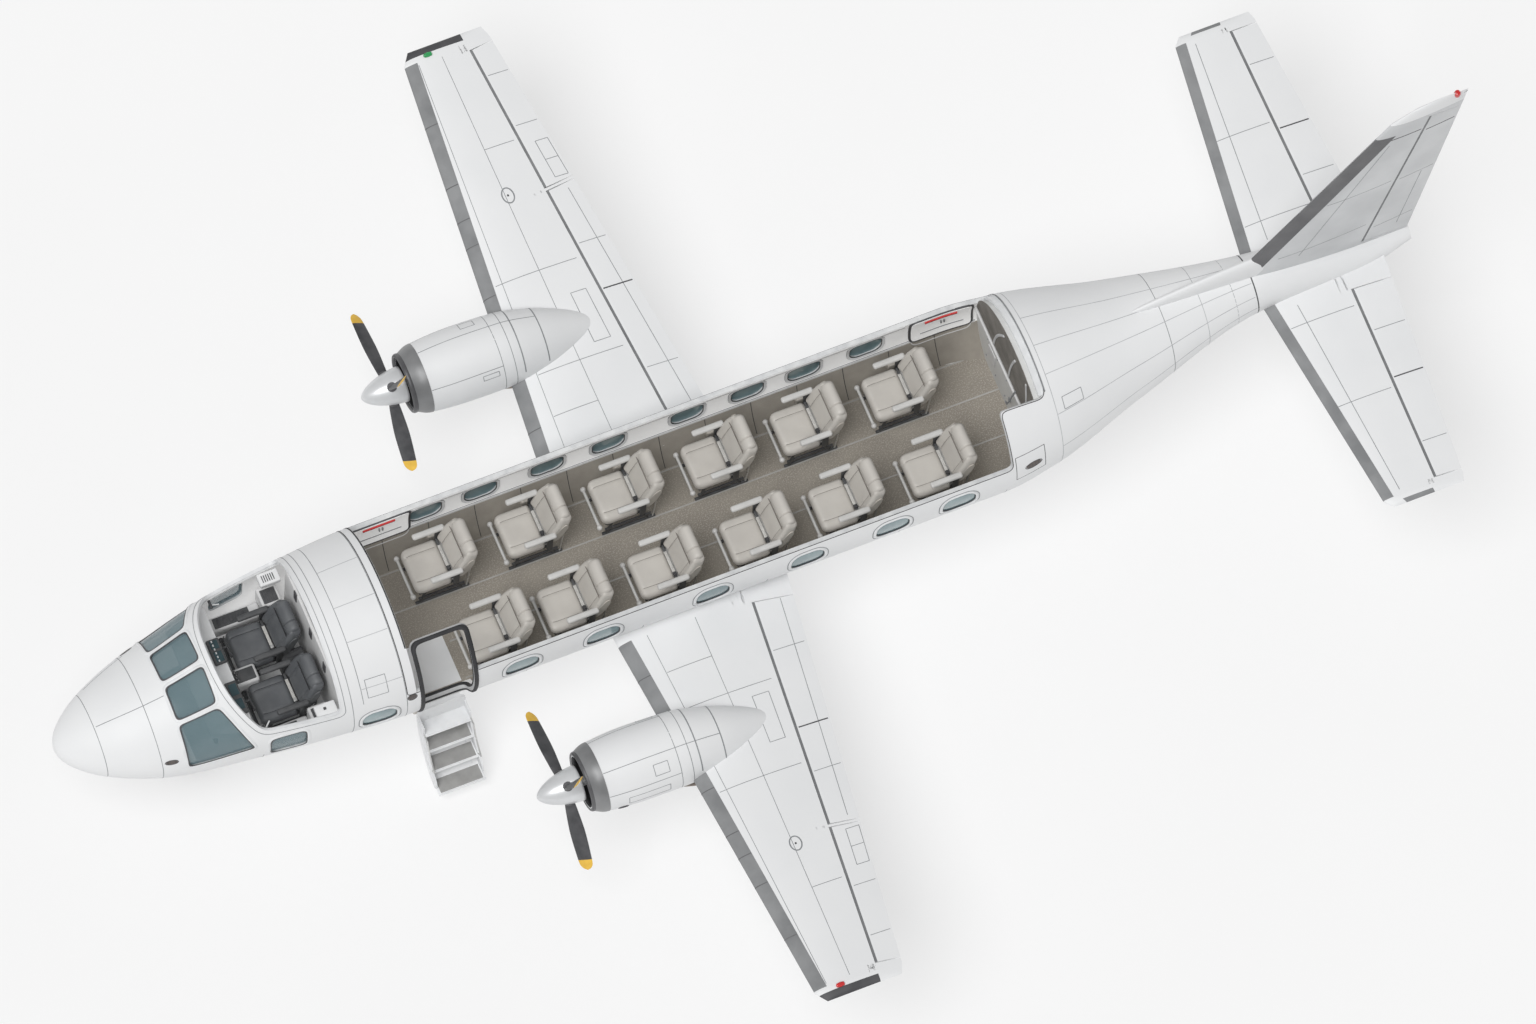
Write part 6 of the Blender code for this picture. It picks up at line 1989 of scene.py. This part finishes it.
LINE, HEAVY = strip(0.007, 0.0012), strip(0.014, 0.0016)
DARK, VENT, PALE, AERIAL = 1, 2, 3, 4  # the body lines' finishes past the plain one
MOVING = np.array((0.73, 0.86, 0.98))  # chord fractions of a line across a moving surface


def draw(shape, surface, paths, section=LINE, finish=0, spacing=0.06):
    """Thin raised lines along paths on a surface."""
    for path in paths:
        bead(shape, surface, path, section, False, finish, spacing)


def along(start, end, value, count):
    """A path of even places at one second value."""
    return [(place, value) for place in np.linspace(start, end, count)]


def across(place, values):
    """A path at one place, through the second values."""
    return [(place, value) for value in values]


def ring(station, low=-180.0, high=180.0):
    """A path round the body between two angles."""
    return across(station, np.linspace(low, high, 60))


def oval_on(shape, surface, centre, half_u, half_v, finish, height=0.004, rim=None):
    """A low oval pad on a surface, with a rim of another finish. Its sizes are in surface values."""
    oval_edge = circle(1.0, 28) * (half_u, half_v)
    rows = [
        surface(*(centre + oval_edge * size).T, -rise)
        for size, rise in ((0.0, -0.003), (1.0, -0.003), (1.0, height * 0.4), (0.8, height), (0.0, height))
    ]
    shape.grid(np.array(rows), finish, wrap_v=True)
    if rim is not None:
        bead(shape, surface, centre + oval_edge * 1.15, strip(0.008, 0.003), True, rim, 0.02)


def frame_on(shape, surface, places, values, finish=0):
    """The outline of a hatch: four lines."""
    corners = [(places[i], values[j]) for i, j in ((0, 0), (1, 0), (1, 1), (0, 1))]
    draw(shape, surface, zip(corners, corners[1:] + corners[:1]), LINE, finish)


def make_body_lines():
    """Joints, hatches, rims round the windows and vents all over the body."""
    shape = Shape()
    joints = map(ring, (NOSE_END - 0.006, COCKPIT_END + 0.01, BARREL_END - 0.11, 12.38))
    draw(shape, skin, [ring(0.42, -100, 100), ring(3.08, -70, 70), *joints])
    draw(shape, skin, [ring(13.42)], HEAVY, DARK)
    draw(shape, skin, [along(0.44, 1.18, 8.0, 12), along(0.5, 1.0, -60.0, 8), along(2.96, 3.62, -66.0, 6)])
    faint = [ring(station) for station in (10.955, 12.82, 13.18)]
    faint += [along(3.08, 3.53, angle, 4) for angle in (-23.0, 4.0, 26.0, 58.0)]
    faint += [along(10.96, 13.40, angle, 24) for angle in (-62.0, -20.0, 2.0, 22.0, 50.0, 78.0)]
    low_lines = ((1.0, DOOR_FRONT - 0.06, 118.0), (DOOR_REAR + 0.06, 13.2, 118.0), (1.0, 13.0, 150.0))
    faint += [along(start, end, side * angle, 60) for side in (1, -1) for start, end, angle in low_lines]
    draw(shape, skin, faint, finish=PALE)
    draw(shape, skin, [ring(s, 100, 260) for s in (2.0, 4.9, 6.2, 7.6, 9.1, 10.3)])
    for stations, angles in (
        ((3.14, 3.36), (52.0, 66.0)), ((2.56, 2.78), (118.0, 134.0)), ((11.05, 11.28), (40.0, 49.0)),
        ((11.1, 11.6), (-92.0, -76.0)),
    ):
        frame_on(shape, skin, stations, angles)
    frame_on(shape, skin, (10.40, 10.74), (66.0, 88.0), DARK)
    for spot in WINDOW_SPOTS:
        bead(shape, skin, window_edge(*spot, 0.228, 0.205, 0.165), strip(0.008, 0.003))
    for _name, middle in HATCHES:
        patch = round_patch((middle - 0.35, middle + 0.35), (HATCH_LOW - 2, HATCH_HIGH + 1), 0.08)
        path = outline_of(patch, (middle - 0.4, middle + 0.4), (HATCH_LOW - 4, HATCH_HIGH + 3))
        bead(shape, skin, path, strip(0.010, 0.002), True, DARK)
        latch = (skin(middle + off, -88.0 - off * 8, -0.002) + (0, -0.004, 0) for off in (-0.05, 0.05))
        block(shape, *latch, 0.002, DARK)
    vents = (1.06, -66.0, 0.06), (1.05, 70.0, 0.06), (10.60, 79.0, 0.085), (3.60, 78.0, 0.045)
    for station, angle, half in vents:
        oval_on(shape, skin, (station, angle), half, 2.4, VENT, 0.005, DARK)
        slots = [across(station - half * (0.6 - k * 0.4), (angle - 1.6, angle + 1.6)) for k in range(4)]
        draw(shape, skin, slots, strip(0.006, 0.007), DARK, 0.02)
    for front, low in ((4.52, -1.20), (8.62, -1.16)):
        block(shape, at(front, -0.012, low), at(front + 0.22, 0.012, -1.0), 0.01, AERIAL)
    finishes = ("seam_grey", "seam_dark", "vent_brown", "seam_pale", "white_trim")
    piece("body_lines", shape, finishes, slot="grey_plastic", merge=1e-5)


def make_wing_lines():
    """Joints, hatches, a filler and a lamp on each wing, and what moves with its flap and aileron."""
    for side, word in SIDES:
        surface = panel(WING, side)
        shape, fittings, breaks, flap, aileron = (Shape() for _ in range(5))
        for face in (1, -1):
            spars = [along(1.06, 5.55, face * fraction, 30) for fraction in (0.40, 0.145)]
            draw(shape, surface, spars, strip(0.006, 0.0012))
            ribs = ((1.55, 0.15, 0.40), (2.02, 0.15, 0.66), (3.06, 0.10, 0.66), (4.46, 0.40, 0.66))
            draw(shape, surface, [across(y, face * np.linspace(low, high, 16)) for y, low, high in ribs])
            draw(flap, surface, [along(1.16, 3.80, face * 0.90, 20)])
            draw(flap, surface, [across(y, face * MOVING) for y in (1.72, 3.20)])
            draw(flap, surface, [across(2.66, face * np.array((0.725, 0.82, 0.92, 0.985)))], HEAVY, DARK)
            draw(aileron, surface, [across(y, face * np.array((0.74, 0.86, 0.98))) for y in (4.6, 5.2)])
            for start, end in ((3.95, 4.16), (4.16, 4.38)):
                frame_on(aileron, surface, (start, end), sorted((face * 0.84, face * 0.975)))
        frame_on(shape, surface, (2.15, 2.72), (0.52, 0.62))
        frame_on(shape, surface, (4.62, 4.95), (-0.58, -0.46))
        filler_cap = (3.92, 0.42) + circle(0.085, 32, 0.7 / 1.35)
        bead(fittings, surface, filler_cap, HEAVY, True, 0, 0.02)
        oval_on(fittings, surface, (3.92, 0.42), 0.012, 0.008, 1)
        bulb = [(0.0, -0.052), (0.022, -0.040), (0.028, 0.0), (0.022, 0.040), (0.0, 0.052)]
        revolved(fittings, bulb, surface(5.62, 0.27, -0.004), (1, 0, 0), 16, 2 if side > 0 else 3)
        for y in (1.5, 2.98, 3.55, 3.84, 4.22, 4.9):
            reach = boot_reach(WING, y, 0.138)
            around = across(y, round_the_front(reach, reach, 9))
            draw(breaks, surface, [around], strip(0.010, 0.0030), 0, 0.01)
        piece(f"wing_lines_{word}", shape, "seam_grey", slot="grey_plastic")
        lamps = ("seam_grey", "seam_dark", "lamp_red", "lamp_green")
        piece(f"wing_fittings_{word}", fittings, lamps, slot="grey_plastic")
        piece(f"boot_breaks_{word}", breaks, "boot_dark", slot="black_seal")
        piece(f"flap_lines_{word}", flap, ("seam_grey", "seam_dark"), f"flap_{word}", "grey_plastic")
        piece(f"aileron_lines_{word}", aileron, "seam_grey", f"aileron_{word}", "grey_plastic")


def make_tail_lines():
    """Joints on the tailplanes, the fin and their moving surfaces, and the lamps at the tail."""
    lines = ("seam_grey", "seam_dark")
    for side, word in SIDES:
        surface = panel(TAIL, side)
        shape, moving = Shape(), Shape()
        for face in (1, -1):
            draw(shape, surface, [along(0.40, 2.72, face * 0.24, 20)])
            draw(shape, surface, [across(y, face * np.linspace(0.10, 0.66, 12)) for y in (0.62, 1.62)])
            draw(moving, surface, [across(y, face * MOVING) for y in (0.95, 2.3)])
            draw(moving, surface, [across(1.52, face * np.array((0.725, 0.86, 0.985)))], HEAVY, DARK)
        piece(f"tailplane_lines_{word}", shape, "seam_grey", slot="grey_plastic")
        piece(f"elevator_lines_{word}", moving, lines, f"elevator_{word}", "grey_plastic")
    surface = panel(FIN, 1, True)
    shape, moving = Shape(), Shape()
    for face in (1, -1):
        draw(shape, surface, [along(0.85, 2.9, face * 0.30, 20)])
        draw(shape, surface, [across(3.02, face * np.linspace(0.10, 0.66, 12))], HEAVY, DARK)
        draw(shape, surface, [across(z, face * np.linspace(0.16, 0.66, 12)) for z in (0.95, 1.9)])
        draw(moving, surface, [across(z, face * MOVING) for z in (0.78, 1.85)])
        draw(moving, surface, [across(2.95, face * MOVING)], HEAVY, DARK)
        draw(moving, surface, [along(0.62, 1.82, face * 0.90, 12)])
    piece("fin_lines", shape, lines, slot="grey_plastic")
    piece("rudder_lines", moving, lines, "rudder", "grey_plastic")
    lamps = Shape()
    beacon = [(0.0, -0.055), (0.030, -0.045), (0.038, 0.0), (0.028, 0.03), (0.0, 0.042)]
    revolved(lamps, beacon, at(15.60, 0, 3.545), (0, 0, 1), 20)
    tube(lamps, [at(15.66, 0, 3.50), at(15.715, 0, 3.53)], 0.004, 6, 1)
    lens = [(0.0, -0.03), (0.026, -0.02), (0.026, 0.0), (0.0, 0.018)]
    revolved(lamps, lens, at(15.245, 0, 0.23), (-1, 0, 0), 16, 2)
    piece("tail_lamps", lamps, ("lamp_red", "seam_dark", "lamp_clear"), slot="clear_glass")


def make_nacelle_lines():
    """Joints, hatches, a scoop and two exhaust pipes on each nacelle."""
    for side, word in SIDES:
        surface = nacelle(side)
        shape = Shape()
        draw(shape, surface, [ring(5.90), ring(6.03)])
        draw(shape, surface, [ring(station, -75, 75) for station in (6.13, 6.42)], HEAVY)
        draw(shape, surface, [along(5.10, 5.90, angle, 16) for angle in (-48.0, 20.0, 62.0, 120.0, 200.0)])
        draw(shape, surface, [along(5.90, 6.42, 20.0, 8)])
        for front, rear, low, high in (
            (5.66, 5.84, -62.0, -54.0), (5.62, 5.78, 34.0, 52.0), (5.30, 5.76, 76.0, 92.0),
        ):
            frame_on(shape, surface, (front, rear), (low, high))
        oval_on(shape, surface, (5.24, 104.0), 0.06, 6.0, DARK, 0.008)
        for turn in (-1, 1):
            foot, out = surface(5.98, turn * 148.0), turn * side
            bends = ((0.10, 0, 0.02), (0.02, 0.03 * out, -0.01), (-0.17, 0.07 * out, -0.05))
            tube(shape, [foot + bend for bend in bends], 0.045, 16, 2, rounds=5)
        piece(f"nacelle_lines_{word}", shape, ("seam_grey", "seam_dark", "exhaust"), slot="grey_plastic")


def make_outside():
    """All the lines, lamps and vents."""
    make_body_lines()
    make_wing_lines()
    make_tail_lines()
    make_nacelle_lines()


# The stage

SIGHT = (0.174, 0.337, 0.925)  # from the aircraft towards the camera
CAMERA_TURN = (0.937, 0.349)  # how the nose's direction lies in the picture
LOOK_AT = (0.26, 0.0, AXIS_Z)
SHIFT = (0.381, -0.234)  # of the picture's middle to its right and up, in metres
LENS, SENSOR, FRAME_WIDTH = 500.0, 36.0, 16.0
SUN_FROM, SUN_SPREAD, SUN_POWER = (0.36, 0.24, 0.90), 35.0, 2.0
WORLD_POWER = 0.42


def make_stage():
    """The camera, the light and a floor."""
    sight = unit(np.array(SIGHT))
    tail = np.array([-1.0, 0, 0])
    tail = unit(tail - sight * (tail @ sight))
    port = np.cross(sight, tail)
    port = port if port[1] > 0 else -port
    right = CAMERA_TURN[0] * tail + CAMERA_TURN[1] * port
    up = CAMERA_TURN[1] * tail - CAMERA_TURN[0] * port
    target = np.array(LOOK_AT) + SHIFT[0] * right + SHIFT[1] * up
    data = bpy.data.cameras.new("photo_camera")
    data.lens, data.sensor_width, data.clip_end = LENS, SENSOR, 2000.0
    camera = bpy.data.objects.new("photo_camera", data)
    camera.matrix_world = Matrix(np.stack([right, up, sight], 1).tolist()).to_4x4()
    camera.location = Vector(target + sight * FRAME_WIDTH * LENS / SENSOR)
    bpy.context.scene.collection.objects.link(camera)
    bpy.context.scene.camera = camera
    world = bpy.data.worlds.new("soft_white")
    world.use_nodes = True
    world.node_tree.nodes["Background"].inputs["Color"].default_value = (1.0, 1.0, 1.0, 1.0)
    world.node_tree.nodes["Background"].inputs["Strength"].default_value = WORLD_POWER
    bpy.context.scene.world = world
    light = bpy.data.lights.new("key", "SUN")
    light.angle, light.energy = math.radians(SUN_SPREAD), SUN_POWER
    lamp = bpy.data.objects.new("key", light)
    lamp.rotation_euler = Vector(SUN_FROM).to_track_quat("Z", "Y").to_euler()
    lamp.location = Vector(SUN_FROM) * 20
    bpy.context.scene.collection.objects.link(lamp)
    mesh = bpy.data.meshes.new("stage_floor")
    mesh.from_pydata([(-60, -60, 0), (60, -60, 0), (60, 60, 0), (-60, 60, 0)], [], [(0, 1, 2, 3)])
    mesh.materials.append(material("stage_floor"))
    floor = bpy.data.objects.new("stage_floor", mesh)
    bpy.context.scene.collection.objects.link(floor)
    bpy.context.scene.view_settings.view_transform = "Standard"


# The add-on


class AirlinerSizes(bpy.types.PropertyGroup):
    """Sizes of the looks that a user may change."""

    window_length: bpy.props.FloatProperty(
        name="Window length",
        description="Length of a cabin window along the body",
        default=0.38,
        min=0.1,
        max=0.5,
        unit="LENGTH",
    )
    window_height: bpy.props.FloatProperty(
        name="Window height",
        description="Height of a cabin window round the body",
        default=0.33,
        min=0.1,
        max=0.45,
        unit="LENGTH",
    )


def colour_property(name, description, default):
    """A colour that a user may change."""
    return bpy.props.FloatVectorProperty(
        name=name, description=description, default=default, min=0.0, max=1.0, subtype="COLOR"
    )


class AirlinerColours(bpy.types.PropertyGroup):
    """Colours that a user may change."""

    paint: colour_property("Paint", "Body, wings and tail", (0.80, 0.806, 0.812))
    glass: colour_property("Windscreen", "Tint of the windscreen's glass", (0.16, 0.25, 0.28))
    leather: colour_property("Seats", "Leather of the passengers' seats", (0.55, 0.525, 0.485))
    crew_leather: colour_property("Crew seats", "Leather of the pilots' seats", (0.10, 0.106, 0.114))
    carpet: colour_property("Carpet", "Cabin carpet", (0.37, 0.335, 0.285))
    blade_tip: colour_property("Blade tips", "Paint on the propellers' tips", (0.83, 0.52, 0.07))


class AIRLINER_OT_body(bpy.types.Operator):
    """Make the smooth body with its openings"""

    bl_idname = "airliner.body"
    bl_label = "Body"

    def execute(self, _context):
        make_body()
        return {"FINISHED"}


class AIRLINER_OT_glass(bpy.types.Operator):
    """Make the windows and the windscreen"""

    bl_idname = "airliner.glass"
    bl_label = "Windows"

    def execute(self, _context):
        make_windows()
        make_cockpit_glass()
        return {"FINISHED"}


class AIRLINER_OT_wings(bpy.types.Operator):
    """Make the wings with their flaps and ailerons"""

    bl_idname = "airliner.wings"
    bl_label = "Wings"

    def execute(self, _context):
        make_wings()
        return {"FINISHED"}


class AIRLINER_OT_tail(bpy.types.Operator):
    """Make the tailplane, the fin and their moving surfaces"""

    bl_idname = "airliner.tail"
    bl_label = "Tail"

    def execute(self, _context):
        make_tail()
        return {"FINISHED"}


class AIRLINER_OT_engines(bpy.types.Operator):
    """Make the nacelles, engines and propellers"""

    bl_idname = "airliner.engines"
    bl_label = "Engines"

    def execute(self, _context):
        make_engines()
        return {"FINISHED"}


class AIRLINER_OT_gear(bpy.types.Operator):
    """Make the landing gear"""

    bl_idname = "airliner.gear"
    bl_label = "Landing gear"

    def execute(self, _context):
        make_gear()
        return {"FINISHED"}


class AIRLINER_OT_seats(bpy.types.Operator):
    """Make the passengers' and the pilots' seats"""

    bl_idname = "airliner.seats"
    bl_label = "Seats"

    def execute(self, _context):
        make_seats()
        return {"FINISHED"}


class AIRLINER_OT_cabin(bpy.types.Operator):
    """Furnish the cabin and the cockpit"""

    bl_idname = "airliner.cabin"
    bl_label = "Cabin"

    def execute(self, _context):
        make_cabin()
        return {"FINISHED"}


class AIRLINER_OT_outside(bpy.types.Operator):
    """Add panel lines, lamps and vents"""

    bl_idname = "airliner.outside"
    bl_label = "Lines and lamps"

    def execute(self, _context):
        make_outside()
        return {"FINISHED"}


class AIRLINER_OT_stage(bpy.types.Operator):
    """Set the camera, the light and the floor"""

    bl_idname = "airliner.stage"
    bl_label = "Stage"

    def execute(self, _context):
        make_stage()
        return {"FINISHED"}


OPERATORS = (
    AIRLINER_OT_body,
    AIRLINER_OT_glass,
    AIRLINER_OT_wings,
    AIRLINER_OT_tail,
    AIRLINER_OT_engines,
    AIRLINER_OT_gear,
    AIRLINER_OT_seats,
    AIRLINER_OT_cabin,
    AIRLINER_OT_outside,
    AIRLINER_OT_stage,
)


class AIRLINER_PT_panel(bpy.types.Panel):
    """The airliner's sizes, colours and pieces"""

    bl_idname = "AIRLINER_PT_panel"
    bl_label = "Cut-away airliner"
    bl_space_type = "VIEW_3D"
    bl_region_type = "UI"
    bl_category = "Airliner"

    def draw(self, context):
        layout = self.layout
        for group in (context.scene.airliner_sizes, context.scene.airliner_colours):
            for name in group.bl_rna.properties.keys():
                if name not in ("rna_type", "name"):
                    layout.prop(group, name)
        for operator in OPERATORS:
            layout.operator(operator.bl_idname)


CLASSES = (AirlinerSizes, AirlinerColours, *OPERATORS, AIRLINER_PT_panel)


def register():
    """Adds the add-on's classes and its two groups of properties."""
    for kind in CLASSES:
        bpy.utils.register_class(kind)
    bpy.types.Scene.airliner_sizes = bpy.props.PointerProperty(type=AirlinerSizes)
    bpy.types.Scene.airliner_colours = bpy.props.PointerProperty(type=AirlinerColours)


def unregister():
    """Takes away what register added."""
    del bpy.types.Scene.airliner_colours
    del bpy.types.Scene.airliner_sizes
    for kind in reversed(CLASSES):
        bpy.utils.unregister_class(kind)


def main():
    """Registers the add-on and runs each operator."""
    register()
    for operator in OPERATORS:
        group, name = operator.bl_idname.split(".")
        if getattr(getattr(bpy.ops, group), name)() != {"FINISHED"}:
            raise RuntimeError(operator.bl_label + " wasn't made")


if __name__ == "__main__":
    main()
